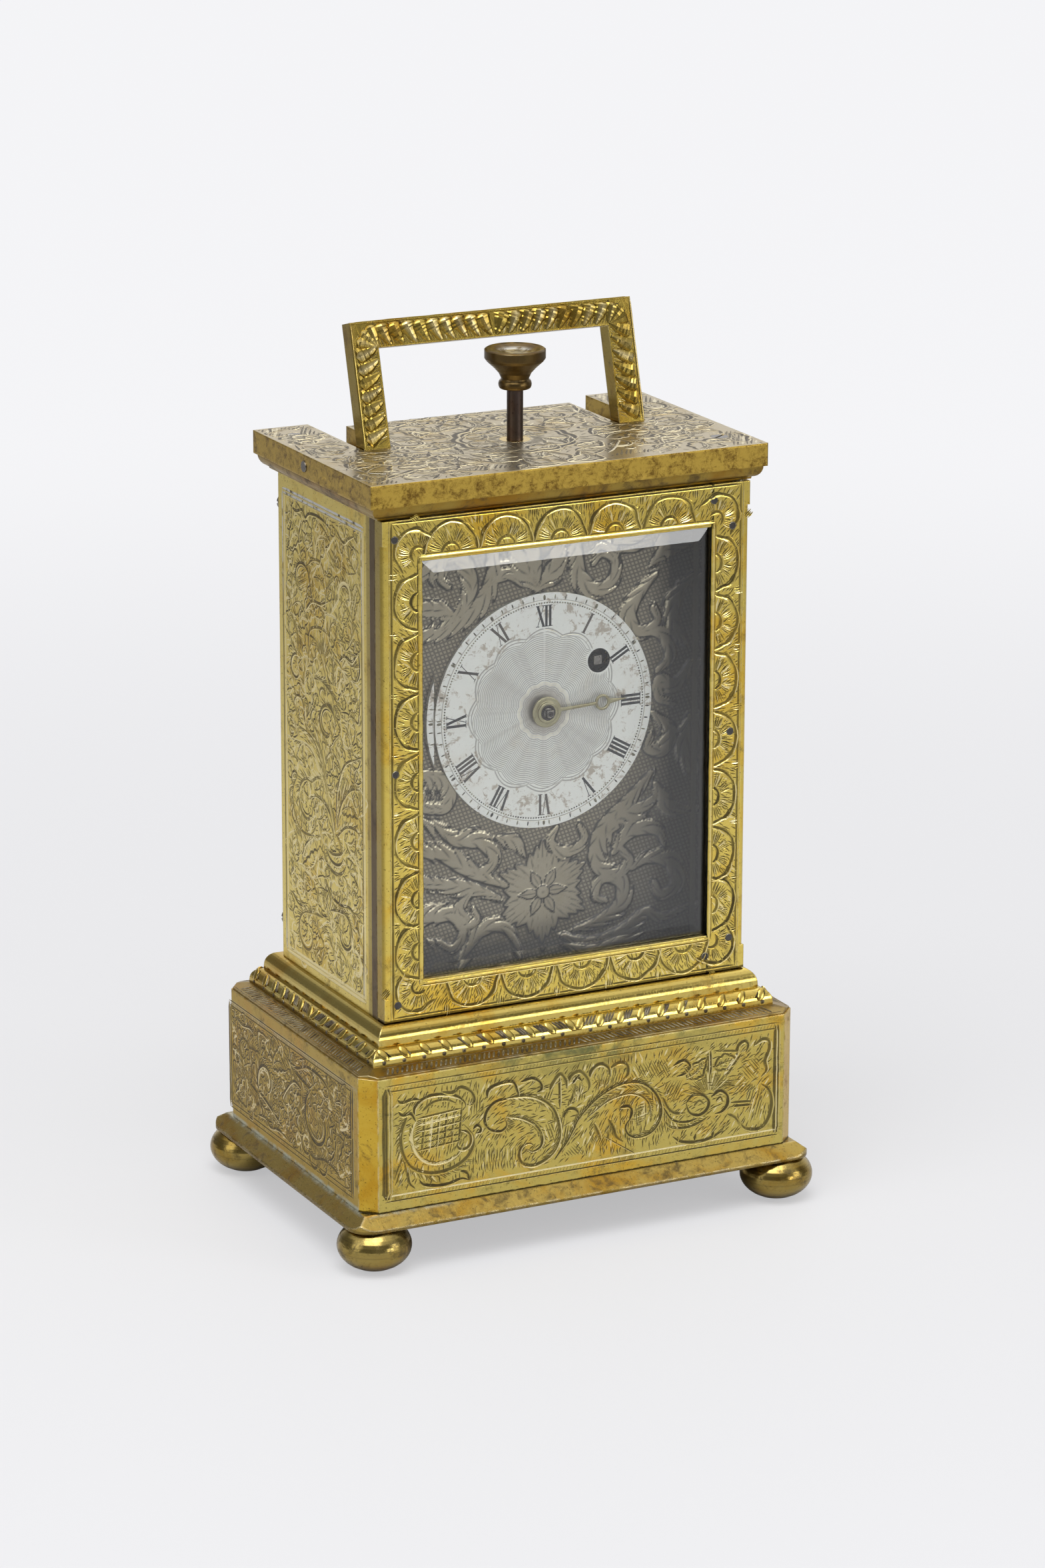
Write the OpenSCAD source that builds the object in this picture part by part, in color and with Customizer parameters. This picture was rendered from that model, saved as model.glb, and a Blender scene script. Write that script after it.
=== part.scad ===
// Travelling clock in an engraved, gilded brass case.
// Front faces -Y, +X is on the viewer's right, Z is up. The feet stand on z = 0.

/* [Bun feet] */
// Height of a foot under the base plate
foot_h = 7.6; // [6:0.1:10]
// Radius of a foot at its widest
foot_r = 6.2; // [5:0.1:7]
// Half the height of the whole ball the foot is cut from
foot_ball = 4.3; // [4:0.1:6]
// Depth of the flat worn under the foot
foot_flat = 0.05; // [0.02:0.01:0.2]
// Distance of a foot's middle from the side of the base plate
foot_in = 5.1; // [4:0.1:8]
// Distance of a foot's middle from the front of the base plate
foot_in_front = 4.5; // [4:0.1:8]
// Radius of the threaded stud of a foot
stud_r = 1.2; // [0.8:0.1:1.5]

/* [Base plate] */
// How far the base plate stands out beyond the plinth
base_out = 2.5; // [1:0.1:4]
// Thickness of the base plate
base_t = 2.4; // [2:0.1:4]
// Height of its thin upright rim
base_rim = 0.5; // [0.3:0.1:1]
// Radius of its corners
base_corner = 4; // [2:0.5:6]

/* [Plinth] */
// How far the plinth stands out beyond the sides of the case
plinth_out = 6.9; // [6:0.1:10]
// How far the plinth stands out in front of the door
plinth_front = 6.7; // [6:0.1:10]
// Height of the plinth panels
plinth_h = 23.1; // [18:0.1:30]
// Thickness of the plinth panels
plinth_wall = 1.4; // [1.2:0.1:2.4]
// Size of the canted corner
cant = 2.5; // [1.5:0.1:3]
// Thickness of the hatched plate on the plinth
plinth_top_t = 1.0; // [0.8:0.1:2]

/* [Mouldings] */
// Height of the leaf-cut moulding
leaf_h = 2.7; // [2:0.1:4]
// Height of the plain moulding above it
ovolo_h = 3.2; // [2.4:0.1:5]
// Step in from the plinth to the leaf-cut moulding
leaf_in = 3.1; // [2:0.1:4]
// Run of the curve of the leaf-cut moulding
leaf_run = 1.9; // [1:0.1:3]
// Run of the curve of the plain moulding
ovolo_run = 2.1; // [1:0.1:3]
// Width of the rim left round the openings in the mouldings
moulding_rim = 8; // [6:0.5:11]

/* [Case] */
// Width of the case between the outer faces of its sides
body_w = 66.8; // [62:0.2:70]
// Height of the case between the mouldings
body_h = 84.3; // [74:0.1:100]
// Front of the door
door_y = -21.3; // [-23:0.1:-20.5]
// Thickness of the door
door_t = 2.7; // [2.4:0.1:3.2]
// Gap between the door and the case
door_gap = 0.15; // [0.1:0.05:0.3]
// Thickness of the fixed front frame
frame_t = 1.9; // [1.5:0.1:2.4]
// Rear end of the side panels
side_back = 19; // [16:0.1:21]
// Thickness of the side panels
side_t = 1; // [0.8:0.1:1.4]
// Thickness of the back cover
back_t = 1.6; // [1.2:0.1:2.4]
// Width of the corner pillars of the case
post_w = 2.6; // [2.4:0.1:3.2]

/* [Top] */
// How far the top slab stands out beyond the sides of the case
slab_out = 2.5; // [1.8:0.1:4]
// How far the top slab stands out in front of the door
slab_front = 1.35; // [1:0.05:3]
// How far the top slab stands out behind the back cover
slab_back = 2.75; // [2:0.05:4]
// Thickness of the top slab
slab_t = 3.85; // [3.4:0.05:5]
// Height of the moulding under the slab
cornice_h = 2.35; // [2:0.05:4]
// Step in from the slab to the foot of that moulding
cornice_in = 1.9; // [1:0.1:2]
// Radius of the heads of the top screws
screw_head_r = 1.5; // [1.2:0.1:1.8]

/* [Bail handle] */
// Outer width of the bail
bail_w = 51.5; // [44:0.5:54]
// Width of the arms of the bail
bail_arm = 4.7; // [3.5:0.1:6]
// Height of the bail above its hinge line
bail_h = 22.3; // [20:0.1:30]
// Height of the cross bar of the bail
bail_bar = 4.45; // [3.5:0.05:6]
// Thickness of the bail in front of its hinge line
bail_front = 2; // [1.6:0.1:2.1]
// Thickness of the bail behind its hinge line
bail_back = 1; // [0.8:0.1:1.1]
// Lean of the raised bail
bail_lean = 15.6; // [12:0.1:30]
// Radius of the rounded heel of the bail
bail_heel = 1.5; // [1.3:0.05:1.8]
// Hinge line of the bail, front to back
bail_y = 3; // [1:0.1:5]
// Radius of the hinge pins of the bail
bail_pin_r = 0.9; // [0.6:0.05:1]
// Clearance round the bail in its notches
notch_gap = 0.25; // [0.2:0.05:0.5]
// Rear edge of the tongue between the notches
tongue_y = 19.3; // [16:0.1:20]

/* [Repeat button] */
// Place of the button, front to back
button_y = -1.7; // [-2:0.1:-1.4]
// Radius of the rim of the button
button_r = 5.05; // [4:0.05:6]
// Height of the top of the button above the slab
button_top = 15.2; // [14:0.1:18]
// Height of the button itself
button_h = 6.7; // [5.5:0.1:8]
// Travel of the button
button_travel = 6.5; // [4:0.1:6.8]
// Radius of the plunger
stem_r = 1.35; // [1.1:0.05:1.5]
// Running clearance of the plunger
stem_gap = 0.06; // [0.03:0.01:0.1]
// Room for the return spring when it is long
spring_room = 10.7; // [10:0.1:12]
// Radius of the wire of the return spring
wire_r = 0.3; // [0.2:0.05:0.35]
// Turns of the return spring
spring_turns = 6; // [4:1:7]

/* [Door] */
// Width of the band beside the opening of the door
band_side = 7; // [6:0.1:10]
// Width of the band below the opening
band_low = 6.7; // [6:0.1:9]
// Width of the band above the opening
band_high = 7.2; // [6:0.1:9]
// Thickness of the engraved face plate
face_t = 0.8; // [0.6:0.1:1]
// Width of the plain upright edge of the door outside the face plate
stile_w = 1.2; // [1:0.1:1.6]
// Seat of the glass behind the face plate
glass_seat = 1.6; // [1.2:0.1:2]
// Thickness of the glass at its bevelled edge
glass_edge = 0.9; // [0.7:0.1:1.1]
// Height of the glass above its edge
glass_rise = 0.45; // [0.3:0.05:0.6]
// Width of the bevel of the glass
bevel_w = 2; // [1.5:0.1:3]
// Radius of the hinge pins of the door
pintle_r = 0.6; // [0.4:0.05:0.8]
// Distance of the hinge line from the side and the back of the door
pintle_in = 1.3; // [1.2:0.05:1.4]
// Radius of the pins in the face plate
rivet_r = 0.65; // [0.5:0.05:0.8]

/* [Dial and mask] */
// Distance of the middle of the dial below the cornice
dial_drop = 37.4; // [34:0.1:40]
// Radius of the dial
dial_r = 20; // [19:0.1:21]
// Front of the dial
dial_y = -12.1; // [-12.4:0.1:-11.9]
// Thickness of the dial
dial_t = 0.7; // [0.5:0.05:0.8]
// Thickness of the engraved mask plate
mask_t = 0.9; // [0.7:0.1:1.2]
// How far the dial stands proud of the mask
dial_proud = 0.6; // [0.5:0.05:0.7]
// Radius of the winding hole in the dial
keyhole_r = 2; // [1.6:0.1:2.4]
// Length of the hour hand
hand_len = 15; // [12:0.1:17]
// Angle of the hour hand above the line to III
hand_angle = 2.5; // [0:0.5:6]

/* [Movement] */
// Thickness of the movement plates
plate_t = 1.5; // [1.2:0.1:1.8]
// Rear face of the front plate
plate_y = -6.5; // [-6.6:0.1:-6.4]
// Space between the plates
train_gap = 10; // [9.8:0.1:11]
// Half the width of the plates
plate_x = 24; // [23:0.5:26]
// Reach of the plates below the dial's middle
plate_low = 24; // [22:0.5:28]
// Reach of the plates above the dial's middle
plate_high = 20; // [19:0.5:21]
// Radius of the movement pillars
pillar_r = 1.8; // [1.5:0.1:2]
// Radius of the pivots of the train
pivot_r = 0.35; // [0.25:0.01:0.45]
// Clearance of the pivots in the plates
pivot_gap = 0.03; // [0.02:0.01:0.06]
// Radius of the arbors of the train
arbor_r = 0.6; // [0.5:0.05:0.8]
// Tooth module of the barrel and the centre pinion
barrel_m = 0.298; // [0.28:0.002:0.32]
// Tooth module of the centre wheel and the third pinion
centre_m = 0.28; // [0.26:0.002:0.3]
// Tooth module of the third wheel and the fourth pinion
third_m = 0.26; // [0.24:0.002:0.28]
// Tooth module of the fourth wheel and the escape pinion
fourth_m = 0.24; // [0.22:0.002:0.26]
// Tooth module of the cannon pinion and the minute wheel
cannon_m = 0.25; // [0.23:0.002:0.27]
// Radius of the escape wheel
escape_r = 4; // [3.5:0.1:4.4]
// Radius of the balance
balance_r = 7.2; // [6:0.1:7.6]
// Radius of the balance staff
staff_r = 0.7; // [0.5:0.05:0.8]

/* [Repeat work] */
// Tooth module of the rack and the repeat wheel
rack_m = 0.5; // [0.45:0.01:0.55]
// Distance from the pivot of the rack to the plunger
lever_len = 14; // [13:0.1:15]
// Distance of the hammer's pivot left of the dial's middle
hammer_left = 15.5; // [14:0.1:17]
// Distance of the hammer's pivot below the dial's middle
hammer_drop = 14; // [13:0.1:16]
// Radius of the bell
bell_r = 19; // [16:0.5:20]
// Height of the mouth of the bell above the base plate
bell_up = 4; // [3:0.1:6]
// Height of the bell
bell_h = 14; // [10:0.5:15]
// Thickness of the bell
bell_t = 0.9; // [0.7:0.1:1.2]

/* [Hidden] */

// Heights of the storeys
base_z = foot_h;
plinth_z = base_z + base_t;
plinth_top_z = plinth_z + plinth_h;
leaf_z = plinth_top_z + plinth_top_t;
ovolo_z = leaf_z + leaf_h;
body_z = ovolo_z + ovolo_h;
cornice_z = body_z + body_h;
slab_z = cornice_z + cornice_h;
top_z = slab_z + slab_t;

// Places shared by several pieces
plinth_w = body_w + 2 * plinth_out;
plinth_d = 2 * (plinth_front - door_y);
foot_x = plinth_w / 2 + base_out - foot_in;
foot_y = plinth_d / 2 + base_out - foot_in_front;
slab_w = body_w + 2 * slab_out;
slab_d = side_back + back_t + slab_back + slab_front - door_y;
slab_y = door_y - slab_front + slab_d / 2;
aperture_x = body_w / 2 - band_side;
aperture_low = band_low;
aperture_h = body_h - band_low - band_high;
dial_z = cornice_z - dial_drop;
frame_y = door_y + door_t + door_gap;
side_front = frame_y + frame_t;
inside_x = body_w / 2 - side_t;
post_x = inside_x - post_w / 2;
screw_r = 0.8;
screw_len = 10;
screw_front_y = side_front + 1.75;
screw_back_y = side_back - 2.1;
corner_block = 9;
head_t = 0.9;
fit = 0.02;
arm_x = bail_w / 2 - bail_arm / 2;
hinge_z = top_z - bail_front;
mask_y = dial_y + dial_proud;
hinge_x = body_w / 2 - pintle_in;
hinge_y = door_y + door_t - pintle_in;
rear_plate_y = plate_y + train_gap;
pintle_deep = 1.8;
bush_r = 2.6;
collar_t = 1.2;
collar_z = cornice_z - 0.2 - collar_t;
cage_t = 1.2;
cage_z = collar_z - spring_room - cage_t;
stem_low = cage_z - 3.5;
tooth_gold = "darkgoldenrod";

// Rectangle with its middle on the origin
module block(w, d, z0, z1) {
    translate([-w / 2, -d / 2, z0]) cube([w, d, z1 - z0]);
}

// Solid whose sides follow a profile all round, mitred at the corners.
// Each profile point is [step in from w and d, height].
module mitred(w, d, profile) {
    intersection() {
        translate([0, d, 0]) rotate([90, 0, 0]) linear_extrude(2 * d)
            polygon(concat([for (p = profile) [w / 2 - p[0], p[1]]],
                [for (i = [len(profile) - 1:-1:0]) [profile[i][0] - w / 2, profile[i][1]]]));
        translate([-w, 0, 0]) rotate([90, 0, 90]) linear_extrude(2 * w)
            polygon(concat([for (p = profile) [d / 2 - p[0], p[1]]],
                [for (i = [len(profile) - 1:-1:0]) [profile[i][0] - d / 2, profile[i][1]]]));
    }
}

// Quarter round from [in0, z0] at the bottom to [in1, z1] at the top, bulging outwards
function bulge(in0, z0, in1, z1, n) =
    [for (i = [0:n]) [in0 + (in1 - in0) * (1 - cos(90 * i / n)), z0 + (z1 - z0) * sin(90 * i / n)]];

// Bar along X between two places, round
module x_pin(x0, x1, y, z, r) {
    translate([x0, y, z]) rotate([0, 90, 0]) cylinder(h = x1 - x0, r = r, $fn = 32);
}

// Round bar along Y between two places, named by the front one first
module y_pin(y0, y1, x, z, r) {
    translate([x, y0, z]) rotate([-90, 0, 0]) cylinder(h = y1 - y0, r = r, $fn = 32);
}

module bun_feet() {
    steps = 14;
    low = foot_flat - foot_ball;
    high = low + foot_h;
    color("goldenrod") for (sx = [-1, 1], sy = [-1, 1])
        translate([sx * foot_x, sy * foot_y, -low]) {
            rotate_extrude($fn = 64) polygon(concat([[0, low]],
                [for (i = [0:steps]) let (z = low + (high - low) * i / steps)
                    [foot_r * sqrt(1 - pow(z / foot_ball, 2)), z]], [[0, high]]));
            translate([0, 0, high - 0.5]) cylinder(h = base_t + 0.3, r = stud_r, $fn = 32);
        }
}

module base_plate() {
    w = plinth_w + 2 * base_out;
    d = plinth_d + 2 * base_out;
    c = base_corner;
    color("goldenrod") difference() {
        intersection() {
            mitred(w, d, [[0, base_z], [0, base_z + base_rim], [base_out, base_z + base_t]]);
            translate([0, 0, base_z]) union() {
                translate([-w / 2 + c, -d / 2, 0]) cube([w - 2 * c, d, base_t]);
                translate([-w / 2, -d / 2 + c, 0]) cube([w, d - 2 * c, base_t]);
                for (sx = [-1, 1], sy = [-1, 1])
                    translate([sx * (w / 2 - c), sy * (d / 2 - c), 0])
                        cylinder(h = base_t, r = c, $fn = 48);
            }
        }
        for (sx = [-1, 1], sy = [-1, 1])
            translate([sx * foot_x, sy * foot_y, base_z - 1])
                cylinder(h = base_t + 2, r = stud_r + 0.05, $fn = 32);
        for (sx = [-1, 1], sy = [-1, 1])
            translate([sx * base_screw_x, sy * base_screw_y, base_z - 1])
                cylinder(h = base_t + 2, r = screw_r + 0.05, $fn = 32);
        translate([0, 0, base_z - 1]) cylinder(h = base_t + 2, r = bell_screw_r + 0.05, $fn = 32);
    }
}
base_screw_x = plinth_w / 2 - corner_block + 2;
base_screw_y = plinth_d / 2 - corner_block + 2;
module base_screws() {
    color("dimgray") for (sx = [-1, 1], sy = [-1, 1])
        translate([sx * base_screw_x, sy * base_screw_y, base_z]) difference() {
            union() {
                translate([0, 0, -head_t]) cylinder(h = head_t, r = screw_head_r, $fn = 32);
                translate([0, 0, -0.2]) cylinder(h = screw_len, r = screw_r, $fn = 32);
            }
            translate([-2, -0.2, -head_t - 1]) cube([4, 0.4, 1.4]);
        }
}

// The plinth is four engraved panels let in between canted corner blocks
panel_x = plinth_w / 2 - cant;
panel_y = plinth_d / 2 - cant;
module plinth_long_panel(side) {
    y0 = side > 0 ? plinth_d / 2 - plinth_wall : -plinth_d / 2;
    color("goldenrod") translate([-panel_x, y0, plinth_z]) cube([2 * panel_x, plinth_wall, plinth_h]);
}
module plinth_short_panel(side) {
    x0 = side > 0 ? plinth_w / 2 - plinth_wall : -plinth_w / 2;
    color("goldenrod") translate([x0, -panel_y, plinth_z]) cube([plinth_wall, 2 * panel_y, plinth_h]);
}
module plinth_front() { plinth_long_panel(-1); }
module plinth_back() { plinth_long_panel(1); }
module plinth_left() { plinth_short_panel(-1); }
module plinth_right() { plinth_short_panel(1); }
module plinth_corners() {
    w = plinth_w / 2;
    d = plinth_d / 2;
    t = plinth_wall;
    b = corner_block;
    color("gold") for (sx = [-1, 1], sy = [-1, 1]) difference() {
        translate([0, 0, plinth_z]) linear_extrude(plinth_h)
            polygon([for (p = [[w, d - cant], [w - cant, d], [w - cant, d - t], [w - b, d - t],
                [w - b, d - b], [w - t, d - b], [w - t, d - cant]]) [sx * p[0], sy * p[1]]]);
        translate([sx * base_screw_x, sy * base_screw_y, plinth_z - 1])
            cylinder(h = screw_len, r = screw_r + fit, $fn = 32);
    }
}
module plinth_top() {
    lip = 0.3;
    color("darkgoldenrod") difference() {
        intersection() {
            mitred(plinth_w, plinth_d, [[0.2, plinth_top_z], [0.2, plinth_top_z + lip],
                [leaf_in, leaf_z]]);
            translate([0, 0, plinth_top_z]) linear_extrude(plinth_top_t)
                canted_outline(plinth_w - 0.4, plinth_d - 0.4, cant);
        }
        moulding_opening(plinth_top_z - 1, leaf_z + 1);
    }
}
module canted_outline(w, d, c) {
    polygon([[-w / 2 + c, -d / 2], [w / 2 - c, -d / 2], [w / 2, -d / 2 + c], [w / 2, d / 2 - c],
        [w / 2 - c, d / 2], [-w / 2 + c, d / 2], [-w / 2, d / 2 - c], [-w / 2, -d / 2 + c]]);
}
module moulding_opening(z0, z1) {
    inset = leaf_in + moulding_rim;
    block(plinth_w - 2 * inset, plinth_d - 2 * inset, z0, z1);
}
module leaf_moulding() {
    lip = 0.5;
    color("goldenrod") difference() {
        mitred(plinth_w, plinth_d, concat([[leaf_in, leaf_z]],
            bulge(leaf_in, leaf_z + lip, leaf_in + leaf_run, ovolo_z, 7)));
        moulding_opening(leaf_z - 1, ovolo_z + 1);
    }
}
module upper_moulding() {
    lip = 0.6;
    inset = leaf_in + leaf_run;
    color("goldenrod") difference() {
        mitred(plinth_w, plinth_d, concat([[inset, ovolo_z]],
            bulge(inset, ovolo_z + lip, inset + ovolo_run, body_z, 8)));
        moulding_opening(ovolo_z - 1, body_z + 1);
        translate([hinge_x, hinge_y, body_z - pintle_deep]) cylinder(h = 3, r = pintle_r + 0.04, $fn = 32);
    }
}

// Openings in the fixed frame match the glass, so that the whole glass is clear
frame_open_x = aperture_x + 1.8;
frame_low = body_z + aperture_low - 1.6;
frame_high = body_z + aperture_low + aperture_h + 1.6;
module front_frame() {
    color("darkkhaki") difference() {
        translate([-body_w / 2, frame_y, body_z]) cube([body_w, frame_t, body_h]);
        translate([-frame_open_x, frame_y - 1, frame_low])
            cube([2 * frame_open_x, frame_t + 2, frame_high - frame_low]);
    }
}
module side_panel(side) {
    x0 = side > 0 ? inside_x : -body_w / 2;
    color("goldenrod") translate([x0, side_front, body_z]) cube([side_t, side_back - side_front, body_h]);
}
module side_panel_left() { side_panel(-1); }
module side_panel_right() { side_panel(1); }
back_screw_z = [body_z + 6, cornice_z - 6];
back_screw_x = post_x;
module back_cover() {
    color("goldenrod") difference() {
        translate([-inside_x, side_back, body_z]) cube([2 * inside_x, back_t, body_h]);
        for (sx = [-1, 1], z = back_screw_z)
            y_pin(side_back - 1, side_back + back_t + 1, sx * back_screw_x, z, screw_r + 0.05);
    }
}
module back_screws() {
    color("dimgray") for (sx = [-1, 1], z = back_screw_z) difference() {
        union() {
            y_pin(side_back - 2.5, side_back + back_t + 0.4, sx * back_screw_x, z, screw_r);
            y_pin(side_back + back_t, side_back + back_t + head_t, sx * back_screw_x, z, screw_head_r);
        }
        translate([sx * back_screw_x - 2, side_back + back_t + head_t - 0.4, z - 0.2]) cube([4, 1, 0.4]);
    }
}
// Slim pillars in front, with brackets for the mask plate where the door hides them
bracket_h = 3;
front_post = [side_front, side_front + 3.2];
rear_post = [side_back - 4, side_back];
module case_pillars() {
    color("goldenrod") for (sx = [-1, 1]) {
        difference() {
            union() {
                translate([sx * post_x - post_w / 2, front_post[0], body_z])
                    cube([post_w, front_post[1] - front_post[0], body_h]);
                for (z = [body_z, cornice_z - bracket_h])
                    translate([sx * post_x - post_w / 2, front_post[0], z])
                        cube([post_w, mask_y - front_post[0], bracket_h]);
            }
            top_screw_hole(sx, screw_front_y);
            for (z = mask_screw_z) y_pin(mask_y - 3, mask_y + 1, sx * post_x, z, mask_screw_r + fit);
        }
        difference() {
            translate([sx * post_x - post_w / 2, rear_post[0], body_z])
                cube([post_w, rear_post[1] - rear_post[0], body_h]);
            top_screw_hole(sx, screw_back_y);
            for (z = back_screw_z) y_pin(side_back - 3, side_back + 1, sx * post_x, z, screw_r + fit);
        }
    }
}
module top_screw_hole(side, y) {
    translate([side * post_x, y, top_z - screw_len - 0.5])
        cylinder(h = screw_len, r = screw_r + fit, $fn = 32);
}

module cornice_moulding() {
    lip = 0.4;
    in_top = 0.5;
    color("goldenrod") difference() {
        translate([0, slab_y, 0]) mitred(slab_w, slab_d,
            concat([[cornice_in + 0.1, cornice_z], [cornice_in, cornice_z + lip]],
                [for (i = [1:6]) [cornice_in - (cornice_in - in_top) * sin(15 * i),
                    cornice_z + lip + (cornice_h - lip) * (1 - cos(15 * i))]]));
        for (sx = [-1, 1], y = [screw_front_y, screw_back_y])
            translate([sx * post_x, y, cornice_z - 1]) cylinder(h = 5, r = screw_r + 0.05, $fn = 32);
        translate([0, button_y, cornice_z - 1]) cylinder(h = 5, r = bush_r + fit, $fn = 48);
        translate([hinge_x, hinge_y, cornice_z - 1])
            cylinder(h = pintle_deep + 1, r = pintle_r + 0.04, $fn = 32);
    }
}
module top_slab() {
    notch_in = bail_w / 2 - bail_arm - notch_gap;
    notch_out = bail_w / 2 + notch_gap;
    notch_y = bail_y - bail_heel - 0.1;
    back = slab_y + slab_d / 2;
    color("goldenrod") difference() {
        translate([0, slab_y, 0]) block(slab_w, slab_d, slab_z, top_z);
        for (sx = [-1, 1]) {
            x0 = sx > 0 ? notch_in : -notch_out;
            translate([x0, notch_y, slab_z - 1])
                cube([notch_out - notch_in, back - notch_y + 1, slab_t + 2]);
            x_pin(sx > 0 ? notch_in - pin_seat : -slab_w / 2 - 1,
                sx > 0 ? slab_w / 2 + 1 : -notch_in + pin_seat, bail_y, hinge_z, bail_pin_r + fit);
        }
        translate([-notch_out, tongue_y, slab_z - 1]) cube([2 * notch_out, back - tongue_y + 1, slab_t + 2]);
        for (sx = [-1, 1], y = [screw_front_y, screw_back_y]) translate([sx * post_x, y, 0]) {
            translate([0, 0, slab_z - 1]) cylinder(h = slab_t + 2, r = screw_r + 0.05, $fn = 32);
            translate([0, 0, top_z - head_t]) cylinder(h = 2, r = screw_head_r + 0.05, $fn = 32);
        }
        translate([0, button_y, slab_z - 1]) cylinder(h = slab_t + 2, r = bush_r + fit, $fn = 48);
    }
}
module top_screws() {
    color("dimgray") for (sx = [-1, 1], y = [screw_front_y, screw_back_y])
        translate([sx * post_x, y, top_z]) difference() {
            union() {
                translate([0, 0, -head_t]) cylinder(h = head_t, r = screw_head_r, $fn = 32);
                translate([0, 0, -screw_len]) cylinder(h = screw_len - 0.4, r = screw_r, $fn = 32);
            }
            rotate([0, 0, 35 * sx]) translate([-2, -0.2, -0.4]) cube([4, 0.4, 1]);
        }
}

pin_seat = 3;
// The bail is drawn upright about its hinge line and then leaned back
module bail_handle() {
    w = bail_w / 2;
    f = bail_front;
    b = bail_back;
    color("gold") translate([0, bail_y, hinge_z]) rotate([-bail_lean, 0, 0]) {
        difference() {
            union() {
                for (sx = [-1, 1]) translate([sx * arm_x - bail_arm / 2, 0, 0]) rotate([90, 0, 90])
                    linear_extrude(bail_arm) polygon(concat([[-f, 1.5], [-f, bail_h], [b, bail_h]],
                        [for (a = [-45:-15:-210]) bail_heel * [cos(a), sin(a)]]));
                translate([-w, -f, bail_h - bail_bar]) cube([2 * w, f + b, bail_bar]);
            }
            x_pin(-w - 1, w + 1, 0, 0, bail_pin_r + 0.05);
        }
    }
}
module bail_hinge_pins() {
    proud = 0.15;
    inner = bail_w / 2 - bail_arm - notch_gap - pin_seat + 0.3;
    color("dimgray") {
        x_pin(inner, slab_w / 2 + proud, bail_y, hinge_z, bail_pin_r);
        x_pin(-slab_w / 2 - proud, -inner, bail_y, hinge_z, bail_pin_r);
    }
}

// The plunger runs in a bush in the top and in the foot of a cage hung below it
module plunger_bush() {
    color("peru") translate([0, button_y, 0]) difference() {
        translate([0, 0, cornice_z]) cylinder(h = top_z - cornice_z, r = bush_r, $fn = 48);
        translate([0, 0, cornice_z - 1]) cylinder(h = 9, r = stem_r + stem_gap, $fn = 48);
    }
}
module push_button() {
    top = button_top;
    low = button_top - button_h;
    color("darkkhaki") translate([0, button_y, top_z]) rotate_extrude($fn = 96)
        polygon(concat([[stem_r, low], [2.35, low]],
            [for (a = [-60:30:60]) [2.35 + 0.4 * cos(a), low + 0.75 + 0.75 * sin(a)]],
            [[2.35, low + 1.5], [2.3, low + 1.7], [2.7, low + 2.6], [3.5, low + 3.5],
                [button_r - 0.35, top - 2.1], [button_r, top - 1.6], [button_r, top - 0.2],
                [button_r - 0.3, top], [button_r - 0.9, top - 0.1], [2.5, top - 0.75],
                [0, top - 0.95], [0, low + 3.5], [stem_r, low + 3.5]]));
}
module plunger_stem() {
    color("slategray") translate([0, button_y, 0]) {
        translate([0, 0, stem_low]) cylinder(h = top_z + button_top - button_h + 3.5 - stem_low,
            r = stem_r, $fn = 48);
        translate([0, 0, collar_z]) cylinder(h = collar_t, r = 2.5, $fn = 48);
    }
}
module plunger_cage() {
    half = 6.4;
    leg = 1.4;
    deep = 5.6;
    color("goldenrod") translate([0, button_y, 0]) difference() {
        union() {
            block(2 * half, deep, cage_z, cage_z + cage_t);
            for (sx = [-1, 1]) translate([sx * (half - leg / 2), 0, 0])
                block(leg, deep, cage_z, cornice_z);
        }
        translate([0, 0, cage_z - 1]) cylinder(h = 4, r = stem_r + stem_gap, $fn = 48);
    }
}
// One unbroken tube wound round the plunger, 8 rings to a turn
spring_r = 2.05;
spring_low = cage_z + cage_t + wire_r;
spring_high = collar_z - wire_r;
spring_rings = 8 * spring_turns;
spring_pitch = (spring_high - spring_low) / spring_turns;
echo(least_gap_of_return_spring = spring_pitch - 2 * wire_r);
module return_spring() {
    sides = 6;
    points = [for (i = [0:spring_rings], k = [0:sides - 1])
        let (a = 360 * i / 8, b = 360 * k / sides, r = spring_r + wire_r * cos(b))
        [r * cos(a), r * sin(a), spring_low + spring_pitch * i / 8 + wire_r * sin(b)]];
    walls = [for (i = [0:spring_rings - 1], k = [0:sides - 1])
        let (p = i * sides + k, q = i * sides + (k + 1) % sides)
        each [[p, q + sides, q], [p, p + sides, q + sides]]];
    last = spring_rings * sides;
    color("silver") translate([0, button_y, 0]) polyhedron(points, concat(walls,
        [for (k = [1:sides - 2]) [0, k, k + 1]],
        [for (k = [1:sides - 2]) [last, last + k + 1, last + k]]));
}

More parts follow.
